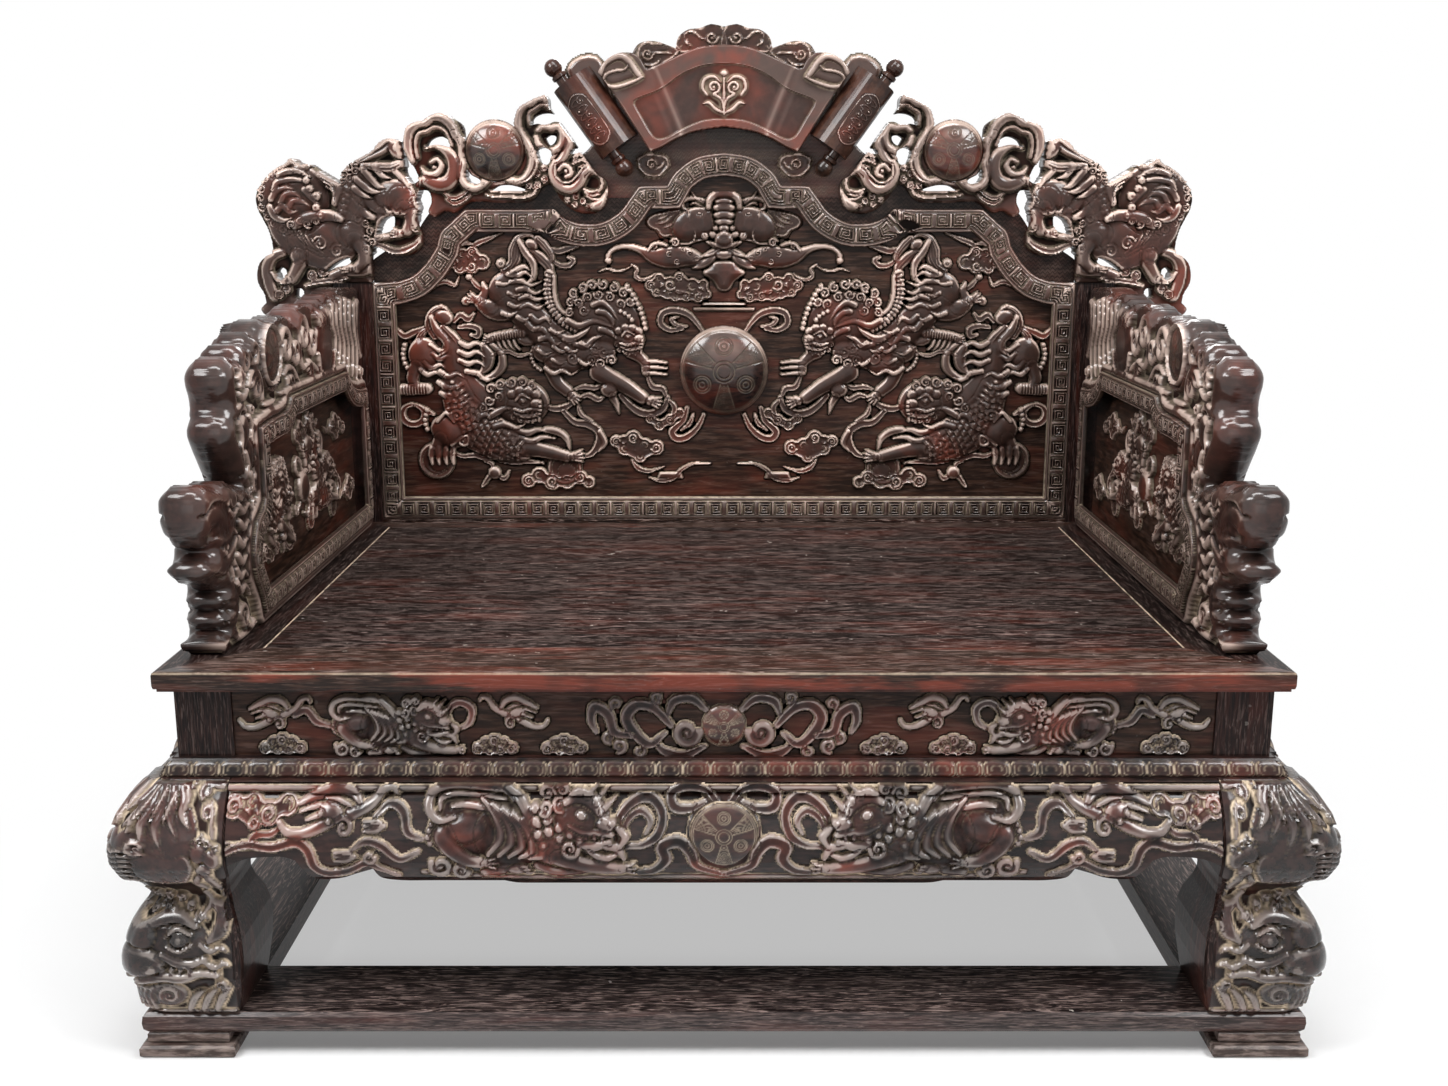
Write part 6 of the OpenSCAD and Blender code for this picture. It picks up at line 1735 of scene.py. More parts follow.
def cloud_head(pen, edge, spiral, radius, hand, tail=(), flip=None):
    """A scalloped pad with a rim along its edge, and a spiral with a tail"""
    def way(points):
        return [(2 * flip - x, y) for x, y in points] if flip else list(points)
    pen.patch(way(edge), 2.4, 1.6, 0.6)
    pen.stroke(way([*edge, edge[0]]), 0.75, 3.2, 2.6)
    middle = way([spiral])[0]
    turn = -hand if flip else hand
    pen.curl(middle, radius, 1.15, 180 if flip else 0, turn, radius * 0.22, 4.2, 3.4)
    for points in tail:
        pen.stroke(way(points), [0.5, 0.95, 0.9, 0.3], 4.0, 3.0)


MIDDLE = 77.8
backing = Board(["crest_board"], "front", 2.0, box=(-236, 990, 236, 1260), edge=3.0, drop=2.0)
backing.h = backing.h + 0.5 + 1.1 * zigzag(np.abs(backing.U), backing.V)
pen = Pen(backing, (-197.4, 1276.2), (2.538, 2.43))
for flip in (None, MIDDLE):
    cloud_head(pen, [(78, 13.5), (75, 9.6), (71, 8.2), (67, 9), (64, 11.6), (60, 11.4), (55.6, 10.8),
                     (51.6, 12.6), (50.2, 17), (48.6, 21), (51, 25.5), (60, 25), (78, 24)],
               (70.2, 17.2), 3.9, 1, [[(66.6, 18.5), (63, 17), (60.4, 14.4), (57, 13.4), (54, 14.6),
                                       (53, 17.4)],
                                      [(57.5, 22), (54.5, 20.2), (55.4, 17.4)],
                                      [(50.4, 23.4), (51.6, 21.6)]], flip)
    cloud_head(pen, [(24.6, 27), (26.5, 22.2), (30.5, 20.2), (34.8, 21.2), (38.6, 20.8), (43.6, 22),
                     (49, 25.4), (46, 29), (41, 32), (38, 34.8), (33, 36.6), (28, 36), (25.4, 32)],
               (30.4, 27.4), 3.7, 1, [[(34, 26.4), (38, 26.6), (42, 26.2), (46.5, 27.4)],
                                      [(28, 33.6), (32, 34.4), (36, 33), (38.6, 30)]], flip)
    cloud_head(pen, [(24, 93), (29, 90.4), (35, 90.6), (41, 92.4), (42.4, 97), (40, 100.5), (36.6, 103.6),
                     (30, 103.2), (25, 99)],
               (32.2, 96.4), 3.4, -1, [[(35, 99.6), (38.6, 97.4), (40.4, 94)]], flip)
carve("carved_crest_ground", backing, front(-backing.face), carved_dark, sunk=1.2)

# %% [markdown]
# ### The open scroll and its rods
# Under the finial lies an open scroll. It isn't flat: it swells in two soft folds, has a border outside a
# raised double line, and its upper ends are rolled over. In its middle stands a small pair of clouds on a
# stem. Beside it lie the two rods that it is wound on, each with a long cartouche of knotted fret.

# %% Scroll
scroll = Board(["crest_scroll"], "front", 1.5, edge=3.0, drop=2.5)
pen = Pen(scroll, (-193.6, 1272.2), (2.489, 2.40))
fold = 70 + (scroll.V - 1092) * 0.42
away = np.abs(scroll.U) - fold
scroll.h += np.where(away < 0, -2.6 * (1 - np.exp(away / 17)),
                     -3.6 * (1 - np.exp(-away / 20)) + 3.2 * np.clip(away / 70, 0, 1) ** 2) + 1.5
field = [(20.4, 58), (22.6, 54.4), (38, 48.2), (50, 39.6), (63, 34), (MIDDLE, 32.4)]
lower = [(MIDDLE, 68), (64, 69.4), (51, 74.8), (41, 80), (36, 80.8), (31.6, 77.6), (26, 68)]


def both_ways(points):
    return [*points, *[(2 * MIDDLE - x, y) for x, y in points[-2::-1]]]


whole_field = both_ways(field) + both_ways(lower[::-1])[::-1]
flat = scroll.h.copy()
hollow(pen, whole_field, -99, 0.5)
scroll.h = np.maximum(scroll.h, flat - 2.0)
surface = softened(scroll.h, 2)
scroll.h -= surface
pen.stroke([*whole_field, whole_field[0]], 0.55, 0.0, 1.7, groove=2.4)
# The pair of clouds on a stem, in the middle
for way in (1, -1):
    pen.curl((MIDDLE + way * 6.4, 47.5), 4.2, 1.15, 90, way, 1.15, 1.0, 4.2,
             [(MIDDLE, 61), (MIDDLE + way * 1.5, 55.4), (MIDDLE + way * 5, 52.8)])
    pen.stroke([(MIDDLE + way * 2, 44.6), (MIDDLE + way * 6.5, 41), (MIDDLE + way * 12, 42.6),
                (MIDDLE + way * 13.4, 48), (MIDDLE + way * 10.8, 52.4)], [0.7, 1.2, 1.3, 0.9], 0.8, 3.6)
    pen.stroke([(MIDDLE, 63.6), (MIDDLE + way * 5, 61.4), (MIDDLE + way * 9.4, 57.4),
                (MIDDLE + way * 12.8, 58)],
               [1.0, 1.3, 1.1, 0.5], 0.8, 3.6)
pen.stroke([(MIDDLE, 64.4), (MIDDLE, 53), (MIDDLE, 42)], [1.0, 1.3, 0.8], 1.0, 4.0)
pen.mound((MIDDLE, 38.8), (2.4, 1.9), 0, 0.8, 4.0)
# Ends rolled over
for flip in (False, True):
    def end(points):
        return [(2 * MIDDLE - x, y) if flip else (x, y) for x, y in points]
    pen.patch(end([(1, 44), (0.5, 36), (5, 30.5), (11, 27.6), (16, 28.6), (21, 33), (26, 39.6), (18, 42.5),
                   (10, 45)]), 0.5, 2.5, 3)
    pen.stroke(end([(0.8, 39), (3, 33.4), (8, 29.6), (13.6, 28.6), (18.4, 32), (23, 38), (25, 40.5)]),
               [2.2, 2.8, 2.6, 1.8], 1.5, 5)
    pen.stroke(end([(4.8, 46.4), (2.8, 43), (4.6, 39.6), (10, 37.6), (15.4, 36.8), (17.8, 34.4)]),
               [0.9, 1.0, 0.9, 0.6], 4, 3)
    pen.stroke(end([(4.2, 46.4), (9, 47.6), (15, 46.4), (22, 43.8), (27, 41.2)]), [1.1, 1.3, 1.1, 0.7], 2.5,
               3.4)
scroll.h += surface
# The border is rubbed lighter, the field inside it stays dark, and the two folds get a painted highlight
painted_fold_highlight = 0.55 * np.exp(-((away + 4) / 9) ** 2) + 0.35 * np.exp(-((away - 14) / 6) ** 2)
scroll.worn_lines = np.maximum(painted_fold_highlight, np.where(flat - surface > 1.0, 0.15, 0.42))
carve("carved_scroll", scroll, front(-scroll.face), carved_dark, sunk=30, replaces=["crest_scroll"])

# The paper between the scroll and each rod sweeps up to the rolled end
paper = Sheet(-262, -150, 1070, 1226, 2.0)
Pen(paper, (0, 0), (1, -1)).patch([
    (-158, 1082), (-176, 1082), (-200, 1116), (-226, 1152), (-246, 1182), (-236, 1200), (-216, 1208),
    (-196, 1204), (-184, 1180), (-172, 1130)], 3, 5, 8, 0)
paper.worn_lines = np.where(paper.h > 4, 0.35, 0)
paper_left = carve("scroll_paper_left", paper, front(396), carved_dark, ring=0.5, sunk=5)
mirrored(paper_left, "scroll_paper_right")

# %% [markdown]
# Each rod stands aslant, so its sheet is laid along it with a turn, and turned back when the piece is
# placed.

# %% Cartouches on the rods
TILT = math.radians(35.7)
ROD_FOOT = (-175.5, 1060.5)


def knot_fret(pen, half_w, low, high):
    """A round-ended frame filled with looped fret"""
    near, far = half_w * 0.6, half_w * 0.7
    frame_line = [(-half_w, low), (-half_w, high), (-near, high + far), (0, high + half_w * 0.95),
                  (near, high + far), (half_w, high), (half_w, low), (near, low - far),
                  (0, low - half_w * 0.95), (-near, low - far)]
    pen.patch(frame_line, 0.2, 0.3, 0.5, 0)
    pen.stroke([*frame_line, frame_line[0]], 0.95, 0.8, 1.8)
    rows = np.linspace(low - half_w * 0.2, high + half_w * 0.2, 6).tolist()
    for k, y in enumerate(rows):
        way = 1 if k % 2 else -1
        pen.curl((way * half_w * 0.34, y), half_w * 0.36, 1.1, 90 * way, way, 0.85, 0.6, 2.2)
        pen.stroke([(-way * half_w * 0.2, y - 3), (-way * half_w * 0.62, y), (-way * half_w * 0.3, y + 4.5),
                    (way * half_w * 0.5, y + 6)], [0.6, 0.95, 0.9, 0.5], 0.6, 2.0)


rod = Overlay(["scroll_roller_left"], "front", 1.1, (-24, 2, 24, 112), TILT, ROD_FOOT)
knot_fret(Pen(rod, (0, 0), (1, -1)), 16.5, 32, 86)
rod_fret = carve("rod_fret_left", rod, rod.straight(front(-rod.face)), carved_dark, ring=1.5, sunk=1.0)
mirrored(rod_fret, "rod_fret_right")

# %% [markdown]
# ## The arm screens
# Each arm is a thick board whose front and top edges swell out like cloud heads, with a carved panel set in
# a key moulding inside. The low front of the board is a lion's head looking forward, with its snout at the
# very front, its mane behind and a paw below. Over it rises a smaller beast's head, then cloud hoops, the
# ball, and leaves down to the back post. The drawing is in squares of 5 mm, counted back from the nose and
# down from the top.

# %% Arm boards
ARM_SUNK = 9.0
ARM_SQUARE = 5.0
ARM_ROUND = 23.0


def lion_head_at_front(pen):
    # Mane, in rows of locks behind the head and down to the paw
    pen.stroke([(30, 43), (31, 50), (29, 57), (25, 63)], [3.4, 4.6, 4.6, 3.2], 1.5, 6)
    locks(pen, [[(24, 42), (27, 44), (30, 43), (34, 45.4)],
                [(25, 45.5), (28, 47.5), (32, 46.5), (36.4, 49)],
                [(25, 49.5), (28, 51.5), (31, 50.5), (34.5, 53)],
                [(23, 53), (26, 55.5), (29, 54.5), (32, 57.5)],
                [(22, 57), (25, 59.4), (28, 58.5), (30.6, 61.5)],
                [(20, 60), (23, 62.5), (26, 62), (29.5, 65)],
                [(20, 63.5), (22.5, 66), (26, 65.5), (30, 69)]], 0.95, 7.5, 4)
    for k, (x, y) in enumerate(((31, 41.5), (35.5, 44), (37.6, 47.6), (35.2, 51.4), (32.4, 55.6),
                                (30.4, 60), (30, 64.6))):
        pen.curl((x, y), 1.7, 1.2, 60 * k, 1 if k % 2 else -1, 0.5, 5, 3.6)
    # Brow, eyes, nose and rolled lips
    pen.mound((16, 47), (9.5, 8.5), 0, 2, 7)
    pen.stroke([(1.5, 40.6), (6, 38.8), (11, 39.4), (15.4, 41.4)], [2.6, 3.0, 2.6, 1.6], 5, 7)
    pen.stroke([(3, 46), (7, 44.6), (12, 45.4), (15, 48)], [2.4, 2.8, 2.4, 1.2], 3.5, 5.5)
    pen.mound((20.4, 43), (2.5, 2.3), 0, 8, 6)
    pen.mound((20.1, 43), 1.1, 0, 13, 1.6)
    pen.stroke([(16.4, 43.4), (18.4, 40.2), (22, 39.6), (25, 42)], [0.7, 1.1, 1.1, 0.5], 9, 3.6)
    pen.stroke([(16.8, 45), (19.6, 46.6), (23.4, 45.8)], [0.6, 0.9, 0.5], 9, 3)
    pen.stroke([(5, 51.6), (10, 51), (15, 51.6), (19, 50), (22, 51.6)], [1.3, 1.5, 1.5, 1.3, 0.7], 5, 5)
    pen.stroke([(2.6, 56.5), (8, 56), (13, 57.4), (18, 55.6), (21.4, 52.8)], [1.9, 2.3, 2.3, 1.7, 0.9], 4,
               6)
    pen.stroke([(4, 54.4), (8.6, 53.7), (13, 54.4)], [0.9, 1.2, 0.8], 8, 3.4)
    for x in (6.4, 9.2, 12, 14.8):
        pen.mound((x, 53.2), (0.7, 1.1), 0, 7, 3, groove=0.9)
    # Beard over the fore leg, paw and the scroll at the foot
    locks(pen, [[(16, 58), (18, 61), (16.6, 64), (18.4, 67.6)],
                [(19, 57.6), (21.4, 61), (20, 64.6), (22, 68.4)], [(13.6, 59), (15, 61.6), (14.2, 63.4)]],
          0.9, 6, 3.4)
    pen.stroke([(13, 62.5), (17, 64.8), (18.6, 69), (15.4, 72.4)], [2.2, 2.8, 2.6, 1.8], 3, 6.5)
    for y in (65, 67.4, 69.8, 72):
        pen.stroke([(11.6, y), (14.4, y + 0.4), (17.4, y + 0.2)], [0.9, 1.0, 0.6], 6, 3.6)
    pen.stroke([(9.6, 75.6), (13, 73.6), (17, 74.6), (19, 76.8)], [1.6, 2.2, 1.6, 0.9], 3, 5)
    pen.curl((24.6, 73), 3.2, 1.3, 200, 1, 0.9, 4, 5, [(31.6, 75.8), (28.6, 76.6)])
    pen.stroke([(19, 77), (26, 77.4), (34, 76.8)], [0.8, 1.0, 0.5], 4, 3)


def beast_over_it(pen):
    # Cloud-headed beast: smooth nose, eye, jaws and a flying mane down the neck
    pen.stroke([(26, 13.4), (24.8, 17), (26.2, 20.4)], [3.4, 4.2, 3.2], 4, 7)
    pen.stroke([(24.6, 26), (24.8, 30), (28, 34), (31, 38)], [2.8, 3.6, 3.0, 1.4], 3, 6.5)
    pen.stroke([(25.6, 22.6), (29, 23.8), (33, 22.6), (36, 24)], [1.4, 1.7, 1.4, 0.7], 5, 4)
    pen.mound((33.6, 15.4), 1.9, 0, 8, 5)
    for angle in range(0, 360, 60):
        a = math.radians(angle)
        pen.mound((33.6 + 2.5 * math.cos(a), 15.4 + 2.5 * math.sin(a)), 0.95, 0, 7, 3.6)
    pen.stroke([(31, 19.4), (34, 20.6), (37.4, 19.2)], [0.7, 1.0, 0.6], 8, 3)
    pen.mound((34, 29), (3.4, 4.6), 15, 4, 7)
    pen.mound((37.6, 35), (3.0, 4.0), -10, 3.5, 6.5)
    locks(pen, [[(29.5, 26), (31.6, 29.6), (30.4, 33), (32.4, 37)],
                [(37.4, 25.6), (39.6, 28.4), (38.6, 31), (40.6, 34)],
                [(33, 34), (34.6, 37), (33.4, 40), (34.6, 43)],
                [(39, 36), (40.4, 39), (38.6, 42), (40.2, 46)], [(36, 39.6), (37.6, 42.4), (36.6, 45)]],
          0.95, 7, 4)
    for k, (x, y) in enumerate(((40.6, 24), (41.4, 28.6), (40.4, 38.8), (39.4, 43.6), (38.4, 48.2))):
        pen.curl((x, y), 1.6, 1.2, 80 * k, 1, 0.5, 5, 3.6)


def hoops_and_ball(pen):
    # Open cloud hoops between the beast and the ball, then behind it
    for x, y, r, hand in ((38.6, 12, 3.4, 1), (46.4, 10.6, 4.0, -1), (46.6, 19.4, 3.4, 1), (75, 12, 5.2, 1),
                          (83.4, 13.8, 4.0, -1), (92.4, 10, 5.2, 1), (101, 12.6, 4.4, -1),
                          (77, 21.6, 2.8, -1), (97, 20.6, 2.6, 1)):
        pen.curl((x, y), r, 1.15, 200, hand, 1.25, 3, 6)
    for points in ([(40, 18.4), (43, 15.6), (47, 15.4), (50, 18.4), (50.4, 23)],
                   [(71, 19), (75, 17.6), (80, 18.8), (84, 22)],
                   [(84.6, 5.6), (87.6, 9.6), (87.2, 15), (90, 19), (95, 18.4)],
                   [(66.6, 23.4), (72, 24), (78, 25.6), (84, 24.4)], [(52, 24.6), (56, 25), (60, 24.4)],
                   [(100, 19), (104, 21.4), (103, 25)]):
        pen.stroke(points, [0.7, 1.15, 1.1, 0.6], 4, 5)
    ring = np.radians(np.linspace(0, 360, 25))
    pen.stroke(np.stack([59.8 + 8.3 * np.cos(ring), 12.6 + 8.3 * np.sin(ring)], 1).tolist(), 1.25, 6, 6)
    # Cup, leaves and tassel down to the back post
    pen.mound((114, 15), (9, 10), 0, 3.5, 9)
    for k in range(5):
        pen.stroke([(106.6 + 3.4 * k, 5.4 - 0.5 * k), (107.6 + 3.2 * k, 8), (110.4 + 2.2 * k, 9.6)],
                   [0.8, 1.1, 0.5], 10, 3)
    pen.stroke([(105, 17), (107.6, 23), (113.6, 26), (120, 23.6), (123, 18)], [0.9, 1.3, 1.5, 1.3, 0.9], 8,
               4)
    locks(pen, [[(126, 3), (125, 9), (127.6, 14), (126, 20)],
                [(130.6, 3), (130, 10), (132.4, 16), (130, 23)],
                [(136, 3), (135, 10), (137.6, 17), (135.4, 25)],
                [(141.4, 4), (140.4, 11), (142.8, 18), (141, 26)],
                [(147, 5), (146, 12), (148.2, 19), (146.6, 28)],
                [(152.6, 6), (152, 13), (153.4, 20), (152, 29)]], 1.5, 4.5, 5)
    for k, (x, y) in enumerate(((128, 24.4), (133, 28), (139, 30), (145.6, 31.2), (151.6, 31.6),
                                (156.6, 27))):
        pen.curl((x, y), 1.9, 1.2, 70 * k, 1 if k % 2 else -1, 0.55, 5, 4)
    pen.stroke([(158, 6), (157, 14), (158.6, 22)], [2.0, 2.6, 1.6], 3, 5)


def arm_piece():
    board = Board(["arm_board_left"], "right", 2.4, edge=ARM_ROUND, drop=0.0)
    board.h[:] = 0.0
    pen = Pen(board, (board.u[0], board.v[-1]), ARM_SQUARE)
    beast_over_it(pen)
    lion_head_at_front(pen)
    hoops_and_ball(pen)
    # A smooth moulding runs round the key pattern, and the board is level under it
    ring = outline_of(facing(["arm_fret_left"], "right"))
    covered = depth_on(board, facing(["arm_fret_left"], "right")) > -1e8
    points = np.stack([board.U.ravel(), board.V.ravel()], 1)
    away = nearest(points, ring)[0].reshape(board.U.shape)
    away = np.where(covered, 0, away)
    inside = softened((board.off > 0).astype(float), 1) > 0
    moulding = ARM_SUNK - 0.4 + 3.2 * np.sqrt(np.clip(1 - ((away - 6.5) / 6.5) ** 2, 0, 1))
    board.h = np.where((away < 13) & inside, np.where(covered, ARM_SUNK - 0.4, moulding), board.h)
    # Edges swell in a quarter round, except where the board meets the window, the ball and the seat
    ball_u, ball_v = pen.to_board([(59.8, 12.6)])[0]
    far = np.hypot(board.U - ball_u, board.V - ball_v)
    free = (away > 16) & (far > 40) & (board.V > board.v[0] + 16)
    r = np.clip(board.off / ARM_ROUND, 0, 1)
    lobe_height = -15 + 26 * np.sqrt(1 - (1 - r) ** 2)
    board.h = np.where(free, np.minimum(board.h, lobe_height), board.h)
    board.polished = np.clip(1.5 - board.off / (ARM_ROUND * 0.6), 0, 1) * free
    low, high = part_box("arm_board_left")
    thick = (high.x - low.x) / MM
    return carve("carved_arm_left", board, facing_right(board.face - ARM_SUNK), carved_arm,
                 back=thick - 2 * ARM_SUNK + board.h, replaces=["arm_board_left"])


arm = arm_piece()
mirrored(arm, "carved_arm_right", ["arm_board_right"])
arm_ball = ball("arm_ball_left", "arm_boss_left", "right", facing_right, carved_red, 1.3, both=True)
mirrored(arm_ball, "arm_ball_right", ["arm_boss_right"])

# %% [markdown]
# ### The arm panels
# Inside the moulding each panel has its own pair of lions with a ball and clouds, carved deep enough to
# come almost level with the frame. The inner and the outer face carry the same drawing.

# %% Arm panels
arm_centre = (40, 590)
moulding = key_moulding(["arm_fret_left"], "right", arm_centre, 28, 24.0, 1.45, ["arm_fret_left"])
fret = carve("carved_arm_fret_left", moulding, facing_right(moulding.face), carved_fret, "frame_wood",
             sunk=8, replaces=["arm_fret_left"])
mirrored(fret, "carved_arm_fret_right", ["arm_fret_right"])


def arm_figures(name, place_for):
    low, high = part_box("arm_panel_left")
    sheet = Sheet(low.y / MM + 15, high.y / MM - 15, low.z / MM + 15, high.z / MM - 12, 1.9)
    span = (sheet.u[0], sheet.v[-1])
    first = Pen(sheet, (span[0] - 60, span[1] + 2), 2.15, deep=0.95)
    second = Pen(sheet, (span[0] + 268, span[1] + 68), 2.15, deep=0.95)
    clouds = Pen(sheet, span, 5.0, deep=0.95)
    cloud(clouds, [(52, 9, 1.9), (56, 7.6, 2.2), (60, 9.4, 2.0), (56.6, 11.8, 2.2), (61.6, 12.8, 1.7)],
          [([(62, 10), (66, 8), (71, 9.6), (76, 7.4)], 0.9)])
    cloud(clouds, [(9, 33, 1.8), (12.6, 35.6, 2.0), (17, 34.6, 2.2), (22, 36.2, 2.0), (27, 35.4, 1.8)],
          [([(28, 33), (33, 34.4), (38, 32.6)], 0.8)])
    cloud(clouds, [(90, 12, 2.0), (94.6, 10.6, 2.2), (99, 12.4, 2.2), (95, 14.6, 2.0), (103.6, 14, 1.9)],
          [([(82, 11), (85, 12.6), (88, 11.4)], 0.8)])
    cloud(clouds, [(104, 34, 1.9), (108, 35.8, 2.0), (112, 33.6, 2.0), (108, 31.6, 1.8)],
          [([(97, 35.4), (100, 34), (103, 35)], 0.8)])
    upper_lion(first)
    lower_lion(second)
    clouds.mound((54.4, 24), 4.6, 0, 4, 10)
    for points in ([(51, 20.4), (48.6, 18), (50.4, 15.4), (53.6, 17), (54.6, 19.6)],
                   [(57.6, 27.6), (60.6, 30), (59, 33), (55.6, 31.6)],
                   [(58.4, 21), (62, 19.4), (64.4, 21.6)], [(51, 28), (47.4, 30.4), (46, 28)]):
        ribbon(clouds, points, 0.75, 4, 3)
    inner = depth_on(sheet, facing(["arm_panel_left"], "right")) > -1e8
    moulding_hides = depth_on(sheet, facing(["arm_board_left"], "right")) > -1e8
    sheet.inside = inner & ~moulding_hides
    sheet.h = np.where(softened(sheet.inside.astype(float), 2) > 0.98, sheet.h, 0)
    return carve(name, sheet, place_for, carved_dark)


outer_x, inner_x = (corner.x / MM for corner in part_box("arm_panel_left"))
for side, place_for in (("inner", facing_right(inner_x)), ("outer", facing_left(outer_x))):
    made = arm_figures(f"arm_{side}_figures_left", place_for)
    mirrored(made, f"arm_{side}_figures_right")

# %% [markdown]
# ## The platform
# Below the seat come the recessed waist panels, a moulding of lotus petals, and the curved aprons. On each
# panel a pair of lions walks towards a ball tied with ribbons, with bats and clouds behind them. The long
# front is seen most, but the sides and the back are carved too, with a shorter drawing. Only the left half
# is drawn: the sheet is folded over its middle, as a carver reverses a paper pattern.

# %% A lion that walks towards a ball
def place_on(side, face):
    return {"front": front(-face), "back": behind(face), "right": facing_right(face),
            "left": facing_left(-face)}[side]


def walking_lion(pen):
    """A lion in profile, its head to the right, on 52 by 20 squares from the drawing's corner"""
    # Far legs first, because what is drawn later lies over them
    pen.stroke([(21, 16), (19, 18.2), (15, 19)], [2.0, 1.7, 1.3], 2, 4.5)
    pen.stroke([(28, 17), (32, 19), (38, 18.6), (41, 17.8)], [1.5, 1.3, 1.2, 1.0], 2, 4)
    # Hind quarter: rump, thigh, hock and paw, with the ringed tuft behind the heel
    pen.mound((12, 8), (10.4, 7.6), -14, 1.5, 7)
    pen.mound((10.6, 8.6), (4.6, 3.2), -12, 5, 6)
    pen.stroke([(5.4, 10.4), (7.4, 13.2), (10.6, 15.6), (14, 16.4)], [2.6, 2.3, 1.9, 1.5], 3.5, 6)
    beads(pen, [(2.2, 8), (1.4, 10.6), (2.6, 13)], 0.75, 3, 3)
    pen.curl((4.6, 17.4), 2.6, 1.15, 200, -1, 0.95, 3, 4.4)
    pen.curl((9.2, 18.4), 1.9, 1.15, 20, 1, 0.75, 4, 3.8)
    paw(pen, (15.8, 16.4), 1.5, 0, 4.5, 3)
    # Tail laid along the back as a comma of long locks
    for points, wide in (([(19, 1), (14, 0.2), (7, -0.2), (2.4, 1.4), (1.4, 4.6), (4, 7), (8, 6.4)], 1.05),
                         ([(20, 3), (14, 2.2), (8, 1.8), (4.4, 2.8), (4.2, 5)], 0.85),
                         ([(20, 5.2), (15, 4.6), (10.6, 4), (7, 4.4)], 0.8),
                         ([(22, 3.4), (18, -0.2), (12, -0.4)], 0.85)):
        pen.stroke(points, [wide * 0.5, wide, wide * 1.1, wide * 0.5], 6, 4.2)
    # Ribs of hair that follow the barrel of the body down to the belly
    pen.mound((21, 10.6), (8.2, 7.2), 24, 2.5, 7)
    for k in range(5):
        x, y = 14.8 + 2.5 * k, 4.4 + 0.9 * k
        pen.stroke([(x - 0.6, y - 1.6), (x + 3.2, y + 1.8), (x + 4.2, y + 6), (x + 1.2, y + 9.8 - 0.7 * k)],
                   [0.5, 1.15, 1.15, 0.5], 7.5, 3.8)
    pen.stroke([(20.4, 0), (23.4, 2.8), (26, 6.4), (28, 8)], [0.9, 1.3, 1.2, 0.8], 8, 3.4)
    pen.mound((23, 18), (2.6, 1.5), -6, 4, 4.6)
    for k in range(3):
        pen.mound((24.6 + 0.5 * k, 17.2 + 0.9 * k), (1.0, 0.55), 0, 5, 3.6, groove=1.0)
    # Chest: shoulder, flower curl, and rows of bead-like curls under the jaw
    pen.mound((31.4, 12.6), (5.6, 4.4), 20, 4.5, 6.5)
    pen.curl((35.6, 12.8), 2.1, 1.2, 0, 1, 0.62, 8.5, 3.6)
    for x, y, r in ((27, 4.6, 1.2), (27.2, 7.2, 1.25), (27.8, 9.8, 1.2), (30.2, 6.8, 1.3), (30.6, 9.2, 1.3),
                    (33, 8.4, 1.25), (33.2, 10.6, 1.1), (35.6, 9.6, 1.2), (38, 10.8, 1.1), (29.4, 12, 1.0)):
        pen.mound((x, y), r, 0, 8, 4.2)
    # Head: crown of curls, long almond brow, eye, snout with a round nose, jaws and a beard
    pen.mound((38, 6.4), (7.0, 5.6), 8, 5, 7.5)
    for k, (x, y, r) in enumerate(((30, 1.4, 1.9), (33, 3.6, 1.7), (29.6, 4.6, 1.5), (33.6, 0.6, 1.4))):
        pen.curl((x, y), r, 1.2, 70 * k, 1 if k % 2 else -1, 0.6, 9, 3.4)
    pen.stroke([(34.4, 3.4), (37.6, 2.0), (41, 3.4), (43, 6)], [0.9, 1.9, 1.7, 0.7], 9.5, 4.4)
    for points in ([(39.6, 2), (42.2, -0.4)], [(41.8, 3.2), (44.6, 0.2)], [(43.4, 5), (46.4, 2.6)]):
        pen.stroke(points, [0.9, 0.2], 7, 4)
    pen.mound((38.2, 5.8), (1.3, 0.95), 15, 12, 2.4)
    pen.mound((44, 7.6), (2.3, 1.7), 10, 9.5, 5)
    pen.mound((45.8, 7.2), 0.9, 0, 12.5, 2.4)
    pen.stroke([(35.4, 7.8), (38.6, 9), (42, 9.2), (45.6, 9.8)], [0.6, 0.9, 0.8, 0.6], 9.5, 3)
    for x in (39.4, 41.4, 43.4):
        pen.mound((x, 10.4), (0.6, 0.7), 0, 8.5, 2.4, groove=0.9)
    pen.stroke([(37.6, 11.6), (41, 12.4), (45, 11.4)], [0.8, 1.15, 0.8], 7.5, 3.6)
    for points in ([(40, 13.4), (43.4, 15.4), (46.6, 14.4)], [(44, 12.6), (47, 13), (48.4, 15.4)],
                   [(46.6, 8.6), (48.6, 10.4), (47.6, 12.6)]):
        pen.stroke(points, [0.6, 1.15, 0.5], 5, 4)
    # Near fore leg, stretched along the ground
    pen.stroke([(33, 15), (37.6, 16.6), (43, 17.6), (47.6, 18)], [2.2, 2.1, 1.8, 1.5], 5, 5.5)
    paw(pen, (49, 17.8), 1.5, 0, 5, 3)


